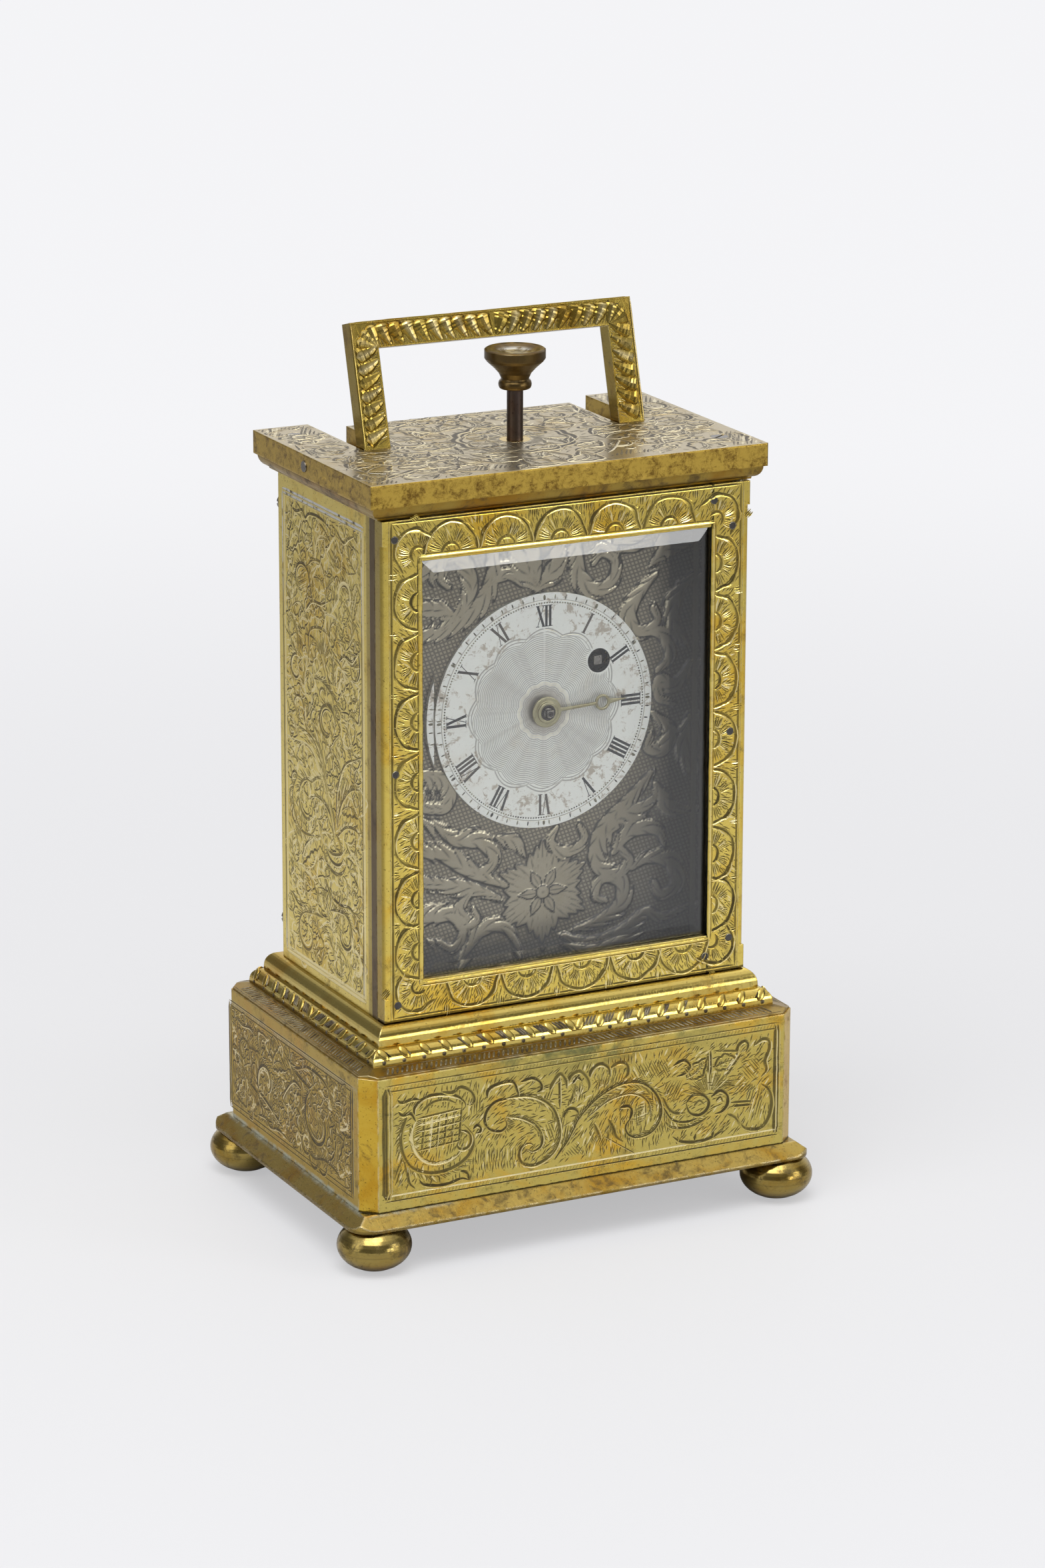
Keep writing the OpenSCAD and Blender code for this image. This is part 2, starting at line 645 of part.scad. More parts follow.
// The door: a moulded frame, an engraved face plate in front, the glass and its retainer
door_low = body_z + door_gap;
door_high = cornice_z - door_gap;
rebate_x = frame_open_x;
rebate_low = frame_low;
rebate_high = frame_high;
module door_frame() {
    w = body_w / 2;
    r = pintle_in;
    stop = 4;
    color("goldenrod") difference() {
        translate([0, 0, door_low]) linear_extrude(door_high - door_low)
            polygon(concat([[-w, door_y + door_t], [-w, door_y], [w, door_y]],
                [for (a = [0:15:90]) [hinge_x + r * cos(a), hinge_y + r * sin(a)]]));
        translate([-w + stile_w, door_y - 1, door_low - 1])
            cube([2 * (w - stile_w), face_t + 1, door_high - door_low + 2]);
        translate([-rebate_x, door_y - 1, rebate_low])
            cube([2 * rebate_x, door_t + 2, rebate_high - rebate_low]);
        for (sx = [-1, 1]) difference() {
            translate([sx * w - 1, door_y - 1, door_low + stop]) cube([2, 2, door_high - door_low - 2 * stop]);
            translate([sx * (w - 1), door_y + 1, door_low]) cylinder(h = door_high - door_low, r = 1, $fn = 32);
            translate([sx * (w - 2) - 1, door_y, door_low]) cube([2, 3, door_high - door_low]);
        }
        for (z = [door_low - 1, door_high - 4])
            translate([hinge_x, hinge_y, z]) cylinder(h = 5, r = pintle_r + fit, $fn = 32);
    }
}
aperture_z = body_z + aperture_low;
aperture_top = aperture_z + aperture_h;
rivet_edge = body_w / 2 - 2.2;
rivet_mid = body_z + body_h / 2;
rivet_places = [[-rivet_edge, door_high - 3.15], [rivet_edge - 4.5, door_high - 2.65],
    [rivet_edge - 1, door_high - 7.25], [rivet_edge - 1, rivet_mid - 0.35],
    [rivet_edge - 0.7, door_low + 5.65], [rivet_edge - 5.2, door_low + 2.95],
    [0.2 - rivet_edge, door_low + 2.75], [-rivet_edge, rivet_mid]];
module door_face_plate() {
    w = body_w / 2 - stile_w - fit;
    color("gold") difference() {
        translate([-w, door_y, door_low]) cube([2 * w, face_t, door_high - door_low]);
        translate([-aperture_x, door_y - 1, aperture_z]) cube([2 * aperture_x, face_t + 2, aperture_h]);
        for (p = rivet_places) y_pin(door_y - 1, door_y + face_t + 1, p[0], p[1], rivet_r + fit);
    }
}
module door_rivets() {
    color("dimgray") for (p = rivet_places)
        y_pin(door_y - 0.05, door_y + face_t, p[0], p[1], rivet_r);
}
glass_y = door_y + face_t + fit;
module door_glass() {
    gx = rebate_x - 0.1;
    z0 = rebate_low + 0.1;
    z1 = rebate_high - 0.1;
    e = aperture_x - 0.25;
    b = e - bevel_w;
    color("lightcyan") {
        translate([-gx, glass_y, z0]) cube([2 * gx, glass_edge, z1 - z0]);
        hull() {
            translate([-e, glass_y, aperture_z + 0.25]) cube([2 * e, 0.1, aperture_h - 0.5]);
            translate([-b, glass_y - glass_rise, aperture_z + 0.25 + bevel_w])
                cube([2 * b, 0.1, aperture_h - 0.5 - 2 * bevel_w]);
        }
    }
}
module glass_retainer() {
    lip = 1.2;
    y0 = glass_y + glass_edge + fit;
    y1 = door_y + door_t;
    x = rebate_x - fit;
    color("goldenrod") difference() {
        translate([-x, y0, rebate_low + fit]) cube([2 * x, y1 - y0, rebate_high - rebate_low - 2 * fit]);
        translate([-x + lip, y0 - 1, rebate_low + lip])
            cube([2 * (x - lip), y1 - y0 + 2, rebate_high - rebate_low - 2 * lip]);
    }
}
module door_hinge_pins() {
    color("dimgray") {
        translate([hinge_x, hinge_y, body_z - pintle_deep + 0.1])
            cylinder(h = pintle_deep + 3.5, r = pintle_r, $fn = 32);
        translate([hinge_x, hinge_y, door_high - 3.5])
            cylinder(h = pintle_deep + 3.3, r = pintle_r, $fn = 32);
    }
}

// Centres of the arbors, in x and height above the middle of the dial.
// Every pair of meshing wheels is spaced by its own teeth.
barrel_teeth = 72;
centre_leaves = 12;
centre_teeth = 64;
third_leaves = 8;
third_teeth = 60;
fourth_leaves = 8;
fourth_teeth = 60;
escape_leaves = 8;
escape_teeth = 15;
cannon_leaves = 12;
minute_teeth = 36;
minute_leaves = 10;
hour_teeth = 40;
hour_m = cannon_m * (cannon_leaves + minute_teeth) / (minute_leaves + hour_teeth);
rack_teeth = 36;
repeat_leaves = 10;
function apart(m, a, b) = m * (a + b) / 2;
function step(from, angle, distance) = from + distance * [cos(angle), sin(angle)];
barrel_dir = 36.2;
third_dir = 200;
fourth_dir = -60;
escape_dir = 0;
minute_dir = 250;
centre_at = [0, 0];
barrel_at = step(centre_at, barrel_dir, apart(barrel_m, barrel_teeth, centre_leaves));
third_at = step(centre_at, third_dir, apart(centre_m, centre_teeth, third_leaves));
fourth_at = step(third_at, fourth_dir, apart(third_m, third_teeth, fourth_leaves));
escape_at = step(fourth_at, escape_dir, apart(fourth_m, fourth_teeth, escape_leaves));
minute_at = step(centre_at, minute_dir, apart(cannon_m, cannon_leaves, minute_teeth));
balance_at = step(escape_at, 25, escape_r + staff_r + 0.4);
lever_lift = 13.4;
stem_rest = stem_low - dial_z;
rack_at = [-lever_len, stem_rest - lever_len * sin(lever_lift) - 0.9];
repeat_dir = -70;
repeat_at = step(rack_at, repeat_dir, apart(rack_m, rack_teeth, repeat_leaves));
hammer_at = [-hammer_left, -hammer_drop];

// Wheel with ogive teeth; one tooth points along +X
function wheel_points(n, m) = let (r = n * m / 2, h = 90 / n)
    [for (i = [0:n - 1], p = [[-0.92, -1.25], [-0.84, 0], [-0.5, 0.6], [0, 0.95], [0.5, 0.6],
        [0.84, 0], [0.92, -1.25]]) (r + p[1] * m) * [cos(i * 360 / n + p[0] * h), sin(i * 360 / n + p[0] * h)]];
// Pinion with slim leaves; one leaf points along +X
function pinion_points(n, m) = let (r = n * m / 2, h = 90 / n)
    [for (i = [0:n - 1], p = [[-0.62, -1.5], [-0.62, 0], [-0.4, 0.5], [0.4, 0.5], [0.62, 0],
        [0.62, -1.5]]) (r + p[1] * m) * [cos(i * 360 / n + p[0] * h), sin(i * 360 / n + p[0] * h)]];

// Puts a flat wheel drawn in x and y on its arbor, between two places front to back
module on_arbor(at, y0, y1, turn) {
    translate([at[0], y1, dial_z + at[1]]) rotate([90, 0, 0]) rotate([0, 0, turn])
        linear_extrude(y1 - y0) children();
}
// Crossed-out wheel: rim, four arms and a hub
module crossed(points, rim_r, hub_r, bore) {
    difference() {
        polygon(points);
        difference() {
            circle(r = rim_r, $fn = 64);
            circle(r = hub_r, $fn = 32);
            for (a = [0, 90]) rotate(a) square([2 * rim_r + 2, 1.1], center = true);
        }
        if (bore > 0) circle(r = bore, $fn = 32);
    }
}
// Arbor with a pivot at each end, running in the two plates
module arbor(at, r) {
    a = pivot_r;
    y0 = plate_y + 0.1;
    y1 = rear_plate_y - 0.1;
    y_pin(y0, y1, at[0], dial_z + at[1], r);
    y_pin(plate_y - plate_t, rear_plate_y + plate_t, at[0], dial_z + at[1], a);
}
module pivot_holes(places, y) {
    for (p = places) y_pin(y - 1, y + plate_t + 1, p[0], dial_z + p[1], pivot_r + pivot_gap);
}

module dial_mask() {
    color("silver") difference() {
        translate([-inside_x + 0.1, mask_y, body_z + 0.1])
            cube([2 * inside_x - 0.2, mask_t, body_h - 0.2]);
        y_pin(mask_y - 1, mask_y + mask_t + 1, 0, dial_z, dial_r - 2);
        for (sx = [-1, 1], z = mask_screw_z)
            y_pin(mask_y - 1, mask_y + mask_t + 1, sx * post_x, z, mask_screw_r + 0.05);
    }
}
mask_screw_r = 0.5;
mask_screw_z = [body_z + bracket_h / 2, cornice_z - bracket_h / 2];
module mask_screws() {
    color("dimgray") for (sx = [-1, 1], z = mask_screw_z) {
        y_pin(mask_y - 2.5, mask_y + mask_t + 0.3, sx * post_x, z, mask_screw_r);
        y_pin(mask_y + mask_t, mask_y + mask_t + 0.7, sx * post_x, z, 1);
    }
}
pipe_r = 1.3;
module dial() {
    color("whitesmoke") difference() {
        union() {
            y_pin(dial_y, dial_y + dial_proud, 0, dial_z, dial_r);
            y_pin(dial_y + dial_proud, dial_y + dial_t, 0, dial_z, dial_r - 2.1);
        }
        y_pin(dial_y - 1, dial_y + 2, 0, dial_z, pipe_r + 0.15);
        y_pin(dial_y - 1, dial_y + 2, barrel_at[0], dial_z + barrel_at[1], keyhole_r);
    }
}
hand_y = dial_y - 0.75;
module hour_hand() {
    hub = 2.6;
    ring = 1.35;
    ring_at = hand_len * 0.69;
    color("dimgray") on_arbor(centre_at, hand_y - 0.35, hand_y, hand_angle) difference() {
        union() {
            circle(r = hub, $fn = 48);
            polygon([[0, -0.3], [ring_at, -0.22], [ring_at, 0.22], [0, 0.3]]);
            translate([ring_at, 0]) circle(r = ring, $fn = 48);
            polygon([[ring_at + ring - 0.2, -0.45], [hand_len, 0], [ring_at + ring - 0.2, 0.45]]);
        }
        circle(r = pipe_r, $fn = 48);
        translate([ring_at, 0]) circle(r = ring - 0.4, $fn = 48);
    }
    color("dimgray") on_arbor(centre_at, hand_y - 0.8, hand_y - 0.35, 0) difference() {
        circle(r = 1.8, $fn = 48);
        circle(r = pipe_r, $fn = 48);
    }
}
module cannon_pinion() {
    y1 = plate_y - plate_t - 0.35;
    color("lightslategray") difference() {
        union() {
            on_arbor(centre_at, y1 - 1.2, y1, minute_dir + 180 / cannon_leaves)
                polygon(pinion_points(cannon_leaves, cannon_m));
            y_pin(hand_y - 0.9, y1 - 1.1, 0, dial_z, 0.85);
            translate([-0.6, hand_y - 1.7, dial_z - 0.6]) cube([1.2, 1, 1.2]);
        }
        y_pin(hand_y - 2, y1 + 1, 0, dial_z, arbor_r - 0.2 + fit);
    }
}
module minute_wheel() {
    y1 = plate_y - plate_t - 0.5;
    color(tooth_gold) difference() {
        union() {
            on_arbor(minute_at, y1 - 0.7, y1, minute_dir + 180)
                crossed(wheel_points(minute_teeth, cannon_m), 3.3, 1.5, 0);
            on_arbor(minute_at, y1 - 2.1, y1 - 0.65, minute_dir + 180 + 180 / minute_leaves)
                polygon(pinion_points(minute_leaves, hour_m));
        }
        y_pin(y1 - 3, y1 + 1, minute_at[0], dial_z + minute_at[1], 0.4 + pivot_gap);
    }
}
module hour_wheel() {
    y1 = plate_y - plate_t - 1.75;
    color(tooth_gold) difference() {
        union() {
            on_arbor(centre_at, y1 - 0.7, y1, minute_dir) polygon(wheel_points(hour_teeth, hour_m));
            y_pin(hand_y - 0.85, y1 - 0.5, 0, dial_z, pipe_r - 0.02);
        }
        y_pin(hand_y - 2, y1 + 1, 0, dial_z, 0.85 + 0.05);
    }
}

plate_corners = [[-1, -1], [1, -1], [-1, 1], [1, 1]];
function plate_corner(c) = [c[0] * (plate_x - 3), c[1] > 0 ? plate_high - 3 : 3 - plate_low];
train = [third_at, fourth_at, escape_at, rack_at, repeat_at, hammer_at];
module plate_outline() {
    difference() {
        translate([-plate_x, -plate_low]) square([2 * plate_x, plate_low + plate_high]);
        for (c = plate_corners) translate(plate_corner(c)) circle(r = screw_r + 0.05, $fn = 32);
    }
}
module front_plate() {
    color("goldenrod") difference() {
        union() {
            on_arbor(centre_at, plate_y - plate_t, plate_y, 0) plate_outline();
            y_pin(plate_y - plate_t - 2.7, plate_y - plate_t + 0.1, minute_at[0], dial_z + minute_at[1], 0.4);
            y_pin(ratchet_y - 0.3, plate_y - plate_t + 0.1, click_at[0], dial_z + click_at[1], 0.5);
            y_pin(ratchet_y - 0.6, ratchet_y - 0.1, click_at[0], dial_z + click_at[1], 0.9);
        }
        pivot_holes(train, plate_y - plate_t);
        pivot_holes([balance_at], plate_y - plate_t);
        y_pin(plate_y - plate_t - 1, plate_y + 1, 0, dial_z, arbor_r + 0.05);
        y_pin(plate_y - plate_t - 1, plate_y + 1, barrel_at[0], dial_z + barrel_at[1], 1.1 + pivot_gap);
    }
}
module rear_plate() {
    color("goldenrod") difference() {
        on_arbor(centre_at, rear_plate_y, rear_plate_y + plate_t, 0) plate_outline();
        pivot_holes(train, rear_plate_y);
        pivot_holes([centre_at], rear_plate_y);
        y_pin(rear_plate_y - 1, rear_plate_y + plate_t + 1, balance_at[0], dial_z + balance_at[1], staff_r + 0.3);
        y_pin(rear_plate_y - 1, rear_plate_y + plate_t + 1, barrel_at[0], dial_z + barrel_at[1], 1.1 + pivot_gap);
        for (p = cock_screws) y_pin(rear_plate_y - 1, rear_plate_y + plate_t + 1, p[0], dial_z + p[1], 0.6 + fit);
    }
}
// Each pillar runs from the mask plate to the rear plate
module movement_pillars() {
    color("goldenrod") for (c = plate_corners) let (p = plate_corner(c)) {
        difference() {
            y_pin(plate_y, rear_plate_y, p[0], dial_z + p[1], pillar_r);
            y_pin(rear_plate_y - 4, rear_plate_y + 1, p[0], dial_z + p[1], screw_r + fit);
        }
        y_pin(mask_y + mask_t, plate_y - plate_t, p[0], dial_z + p[1], pillar_r);
        y_pin(plate_y - plate_t - 0.1, plate_y + 0.1, p[0], dial_z + p[1], screw_r);
    }
}
module movement_screws() {
    y0 = rear_plate_y + plate_t;
    color("steelblue") for (c = plate_corners) let (p = plate_corner(c)) difference() {
        union() {
            y_pin(y0 - 4.5, y0 + 0.2, p[0], dial_z + p[1], screw_r);
            y_pin(y0, y0 + head_t, p[0], dial_z + p[1], screw_head_r);
        }
        translate([p[0] - 2, y0 + head_t - 0.4, dial_z + p[1] - 0.2]) cube([4, 1, 0.4]);
    }
    color("steelblue") for (p = cock_screws) {
        y_pin(rear_plate_y + 0.2, cock_y + 1.2, p[0], dial_z + p[1], 0.6);
        y_pin(cock_y + 1, cock_y + 1.7, p[0], dial_z + p[1], 1.1);
    }
}

barrel_y = plate_y + 0.4;
barrel_drum = 5.2;
module spring_barrel() {
    r = barrel_teeth * barrel_m / 2 - 1.1;
    c = [barrel_at[0], dial_z + barrel_at[1]];
    color(tooth_gold) difference() {
        union() {
            on_arbor(barrel_at, barrel_y, barrel_y + 1.2, barrel_dir + 180)
                polygon(wheel_points(barrel_teeth, barrel_m));
            y_pin(barrel_y + 1.1, barrel_y + barrel_drum, c[0], c[1], r);
        }
        y_pin(barrel_y + 1, barrel_y + barrel_drum - 0.8, c[0], c[1], r - 0.7);
        y_pin(barrel_y - 1, barrel_y + barrel_drum + 1, c[0], c[1], 1.1 + pivot_gap);
    }
}
ratchet_teeth = 12;
ratchet_y = plate_y - plate_t - 1.1;
module winding_arbor() {
    c = [barrel_at[0], dial_z + barrel_at[1]];
    color("slategray") {
        y_pin(ratchet_y, rear_plate_y + plate_t, c[0], c[1], 1.1);
        translate([c[0] - 0.75, dial_y + 0.25, c[1] - 0.75])
            cube([1.5, ratchet_y - dial_y, 1.5]);
        y_pin(barrel_y + 1.4, barrel_y + barrel_drum - 1.2, c[0], c[1], 3);
        on_arbor(barrel_at, ratchet_y, ratchet_y + 0.8, 0) polygon([for (i = [0:ratchet_teeth - 1],
            p = [[0, 3.4], [0.06, 2.7]]) let (a = 360 * (i + p[0]) / ratchet_teeth) p[1] * [cos(a), sin(a)]]);
    }
}
click_at = step(barrel_at, -5, 5.6);
module winding_click() {
    function hook(r, a) = step(barrel_at, a, r);
    color("slategray") on_arbor(centre_at, ratchet_y, ratchet_y + 0.8, 0) difference() {
        union() {
            translate(click_at) circle(r = 1.1, $fn = 32);
            polygon([hook(2.98, -55.8), hook(3.6, -57), hook(4.6, -52), click_at + [0.3, -1],
                click_at + [-0.5, 0.9], hook(3.62, -44)]);
        }
        translate(click_at) circle(r = 0.5 + pivot_gap, $fn = 32);
    }
}

module centre_wheel() {
    color(tooth_gold) {
        on_arbor(centre_at, rear_plate_y - 1.9, rear_plate_y - 1.1, third_dir)
            crossed(wheel_points(centre_teeth, centre_m), 7.6, 2, 0);
        on_arbor(centre_at, barrel_y - 0.2, barrel_y + 1.5, barrel_dir + 180 / centre_leaves)
            polygon(pinion_points(centre_leaves, barrel_m));
    }
    color("slategray") {
        y_pin(plate_y + 0.1, rear_plate_y - 0.1, 0, dial_z, arbor_r);
        y_pin(rear_plate_y - 0.2, rear_plate_y + plate_t, 0, dial_z, pivot_r);
        y_pin(plate_y - plate_t - 0.1, plate_y + 0.2, 0, dial_z, arbor_r);
        y_pin(hand_y - 1.8, plate_y - plate_t, 0, dial_z, arbor_r - 0.2);
    }
}
module third_wheel() {
    color(tooth_gold) on_arbor(third_at, plate_y + 2.5, plate_y + 3.2, fourth_dir)
        crossed(wheel_points(third_teeth, third_m), 6.6, 1.6, 0);
    color("slategray") {
        on_arbor(third_at, rear_plate_y - 2.3, rear_plate_y - 0.7, third_dir + 180 + 180 / third_leaves)
            polygon(pinion_points(third_leaves, centre_m));
        arbor(third_at, arbor_r);
    }
}
module fourth_wheel() {
    color(tooth_gold) on_arbor(fourth_at, rear_plate_y - 3.5, rear_plate_y - 2.8, escape_dir)
        crossed(wheel_points(fourth_teeth, fourth_m), 6.1, 1.5, 0);
    color("slategray") {
        on_arbor(fourth_at, plate_y + 2.2, plate_y + 3.6, fourth_dir + 180 + 180 / fourth_leaves)
            polygon(pinion_points(fourth_leaves, third_m));
        arbor(fourth_at, 0.5);
    }
}
module escape_wheel() {
    color("lightsteelblue") on_arbor(escape_at, plate_y + 3.1, plate_y + 3.6, 13) difference() {
        polygon([for (i = [0:escape_teeth - 1], p = [[0, escape_r], [0.1, escape_r - 0.1],
            [0.45, escape_r - 1], [0.9, escape_r - 0.9]]) let (a = 360 * (i + p[0]) / escape_teeth)
            p[1] * [cos(a), sin(a)]]);
        difference() {
            circle(r = 2.3, $fn = 48);
            circle(r = 0.9, $fn = 32);
            square([6, 0.5], center = true);
            square([0.5, 6], center = true);
        }
    }
    color("slategray") {
        on_arbor(escape_at, rear_plate_y - 3.9, rear_plate_y - 2.5, escape_dir + 180 + 180 / escape_leaves)
            polygon(pinion_points(escape_leaves, fourth_m));
        arbor(escape_at, 0.45);
    }
}
balance_y = rear_plate_y + plate_t + 0.9;
cock_y = balance_y + 2.4;
cock_screws = [for (dx = [-2.2, 2.2]) [balance_at[0] + dx, 3.6 - plate_low]];
module balance_wheel() {
    c = [balance_at[0], dial_z + balance_at[1]];
    color(tooth_gold) on_arbor(balance_at, balance_y, balance_y + 0.8, 20) difference() {
        circle(r = balance_r, $fn = 96);
        difference() {
            circle(r = balance_r - 0.9, $fn = 96);
            circle(r = 1.3, $fn = 32);
            for (a = [0, 120, 240]) rotate(a) translate([0, -0.4]) square([balance_r - 0.6, 0.8]);
        }
    }
    color("slategray") {
        y_pin(plate_y + 0.1, cock_y - 0.1, c[0], c[1], staff_r);
        y_pin(plate_y - plate_t, cock_y + 1, c[0], c[1], pivot_r);
    }
}
// Flat spiral above the balance, from the staff out to its stud on the cock
spiral_turns = 3.5;
module balance_spring() {
    inner = staff_r + 0.5;
    outer = 3.9;
    half = 0.09;
    n = 24 * spiral_turns;
    function radius(i) = inner + (outer - inner) * i / n;
    color("royalblue") {
        on_arbor(balance_at, balance_y + 1.2, balance_y + 1.6, 0) polygon(concat(
            [for (i = [0:n]) (radius(i) + half) * [cos(15 * i), sin(15 * i)]],
            [for (i = [n:-1:0]) (radius(i) - half) * [cos(15 * i), sin(15 * i)]]));
        on_arbor(balance_at, balance_y + 1.2, balance_y + 1.6, 0) difference() {
            circle(r = inner + 0.05, $fn = 32);
            circle(r = staff_r + fit, $fn = 32);
        }
        on_arbor(balance_at, balance_y + 1.2, cock_y, 0)
            translate(radius(n) * [cos(15 * n), sin(15 * n)]) circle(r = 0.35, $fn = 24);
    }
}
module balance_cock() {
    foot = (cock_screws[0] + cock_screws[1]) / 2;
    color("goldenrod") difference() {
        union() {
            on_arbor(centre_at, cock_y, cock_y + 1, 0) union() {
                translate(balance_at) circle(r = 5, $fn = 64);
                polygon([balance_at - [3.4, 0], balance_at + [3.4, 0], foot + [3.8, 0], foot - [3.8, 0]]);
                translate(foot - [4.4, 2.6]) square([8.8, 5.2]);
            }
            on_arbor(centre_at, rear_plate_y + plate_t, cock_y + 0.5, 0)
                translate(foot - [4.4, 2.6]) square([8.8, 5.2]);
        }
        y_pin(cock_y - 1, cock_y + 2, balance_at[0], dial_z + balance_at[1], pivot_r + pivot_gap);
        for (p = cock_screws) y_pin(rear_plate_y, cock_y + 2, p[0], dial_z + p[1], 0.6 + fit);
    }
}

// The plunger presses the pad of the rack, whose teeth turn the repeating wheel
rack_y = button_y - 0.9;
module rack_outline() {
    r = rack_teeth * rack_m / 2;
    pad = [lever_len * cos(lever_lift), lever_len * sin(lever_lift)];
    difference() {
        union() {
            circle(r = 1.9, $fn = 48);
            polygon([[0, 1.4], [pad[0] - 0.6, pad[1] + 0.55], [pad[0] + 0.6, pad[1] + 0.55],
                [pad[0] + 0.6, pad[1] - 0.7], [0, -1.4]]);
            intersection() {
                rotate(repeat_dir) polygon(wheel_points(rack_teeth, rack_m));
                polygon([[-1.6, 0], step([0, 0], repeat_dir - 14, 12), step([0, 0], repeat_dir + 40, 12),
                    [1.6, 0]]);
            }
        }
    }
}
module repeat_rack() {
    color("slategray") {
        on_arbor(rack_at, rack_y, rack_y + 1.8, 0) rack_outline();
        arbor(rack_at, 0.8);
    }
}
module repeat_wheel() {
    color("slategray") {
        on_arbor(repeat_at, rack_y - 0.1, rack_y + 1.9, repeat_dir + 180 + 180 / repeat_leaves)
            polygon(pinion_points(repeat_leaves, rack_m));
        arbor(repeat_at, 0.7);
    }
    color(tooth_gold) on_arbor(repeat_at, rack_y + 2.1, rack_y + 2.8, 0)
        circle(r = 3.2, $fn = 64);
}

// Long hammer that reaches down to the bell in the plinth
bell_low = plinth_z + bell_up;
bell_high = bell_low + bell_h;
bell_screw_r = 1;
hammer_gap = 0.6;
module repeat_hammer() {
    head_r = 1.7;
    head = [-bell_r - hammer_gap - head_r, bell_low + 3 - dial_z];
    y0 = rack_y + 0.2;
    color("slategray") {
        on_arbor(centre_at, y0, y0 + 1.2, 0) union() {
            translate(hammer_at) circle(r = 1.5, $fn = 32);
            polygon([hammer_at + [-0.8, 0], hammer_at + [0.8, 0], head + [0.5, 0], head + [-0.5, 0]]);
            polygon([hammer_at + [-0.4, 1], hammer_at + [2, 6], hammer_at + [1.2, 0]]);
        }
        translate([0, y0 + 0.6 - 2.5, dial_z]) translate([head[0], 0, head[1]])
            rotate([-90, 0, 0]) cylinder(h = 5, r = head_r, $fn = 32);
        arbor(hammer_at, 0.7);
    }
}
module bell() {
    t = bell_t;
    n = 8;
    hgt = bell_h;
    function outer(i) = [bell_r * sin(90 * i / n), bell_low + hgt * (0.12 + 0.88 * cos(90 * i / n))];
    function inner(i) = [(bell_r - t) * sin(90 * i / n), bell_low + hgt * (0.12 + 0.88 * cos(90 * i / n)) - t];
    color("khaki") difference() {
        rotate_extrude($fn = 96) polygon(concat([for (i = [0:n]) outer(i)],
            [[bell_r, bell_low], [bell_r - t, bell_low]], [for (i = [n:-1:0]) inner(i)]));
        translate([0, 0, bell_low]) cylinder(h = hgt + 2, r = bell_screw_r + 0.03, $fn = 32);
    }
}
module bell_post() {
    color("goldenrod") {
        translate([0, 0, plinth_z]) cylinder(h = bell_high - bell_t - 0.2 - plinth_z, r = 2.2, $fn = 48);
        translate([0, 0, base_z + 0.2]) cylinder(h = bell_high + 2 - base_z, r = bell_screw_r, $fn = 32);
        translate([0, 0, bell_high]) cylinder(h = 1.6, r = 2.2, $fn = 6);
    }
}

bun_feet();
base_plate();
base_screws();
plinth_front();
plinth_back();
plinth_left();
plinth_right();
plinth_corners();
plinth_top();
leaf_moulding();
upper_moulding();
front_frame();
side_panel_left();
side_panel_right();
back_cover();
back_screws();
case_pillars();
cornice_moulding();
top_slab();
top_screws();
bail_handle();
bail_hinge_pins();
plunger_bush();
push_button();
plunger_stem();
plunger_cage();
return_spring();
door_frame();
door_face_plate();
door_rivets();
door_glass();
glass_retainer();
door_hinge_pins();
dial_mask();
mask_screws();
dial();
hour_hand();
cannon_pinion();
minute_wheel();
hour_wheel();
front_plate();
rear_plate();
movement_pillars();
movement_screws();
spring_barrel();
winding_arbor();
winding_click();
centre_wheel();
third_wheel();
fourth_wheel();
escape_wheel();
balance_wheel();
balance_spring();
balance_cock();
repeat_rack();
repeat_wheel();
repeat_hammer();
bell();
bell_post();
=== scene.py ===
# %% [markdown]
# # A travelling clock, dressed
# The frame comes from CAD: every solid of the clock, in metres, standing at rest.
# This script adds what a camera sees: worn gilding, engraved scrolls, a silvered
# dial, a chased mask and bevelled glass. It is read from top to bottom, cell by cell.

# %% Load the frame
import math
import bmesh
import bpy
import numpy as np
from mathutils import Matrix, Vector


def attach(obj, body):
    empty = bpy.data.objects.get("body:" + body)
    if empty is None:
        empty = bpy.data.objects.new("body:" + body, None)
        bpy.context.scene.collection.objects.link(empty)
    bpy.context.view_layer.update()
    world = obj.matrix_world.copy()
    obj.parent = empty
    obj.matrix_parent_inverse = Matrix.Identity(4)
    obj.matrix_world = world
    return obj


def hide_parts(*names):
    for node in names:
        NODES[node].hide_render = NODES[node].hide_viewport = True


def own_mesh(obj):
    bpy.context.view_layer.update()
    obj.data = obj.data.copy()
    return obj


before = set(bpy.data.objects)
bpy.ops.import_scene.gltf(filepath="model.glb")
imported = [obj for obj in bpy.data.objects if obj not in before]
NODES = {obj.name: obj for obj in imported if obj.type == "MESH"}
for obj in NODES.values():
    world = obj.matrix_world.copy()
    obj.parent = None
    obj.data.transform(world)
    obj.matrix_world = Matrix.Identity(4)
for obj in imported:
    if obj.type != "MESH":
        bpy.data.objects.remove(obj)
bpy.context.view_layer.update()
MM = 0.001

# %% [markdown]
# ## The camera
# The straight edges of the clock in the photograph gave the camera's place, its
# tilt and its long lens. The numbers are given here, so the picture and
# the photograph can be laid over each other.

# %% Camera
CAMERA_PLACE = Vector((-0.38038, -0.76114, 0.32082))
CAMERA_TURN, CAMERA_HEIGHT, CAMERA_ROLL = (math.radians(a) for a in (-26.697, 16.363, 0.122))
FOCAL_PX, FRAME_PX = 7934.93, 2352.0

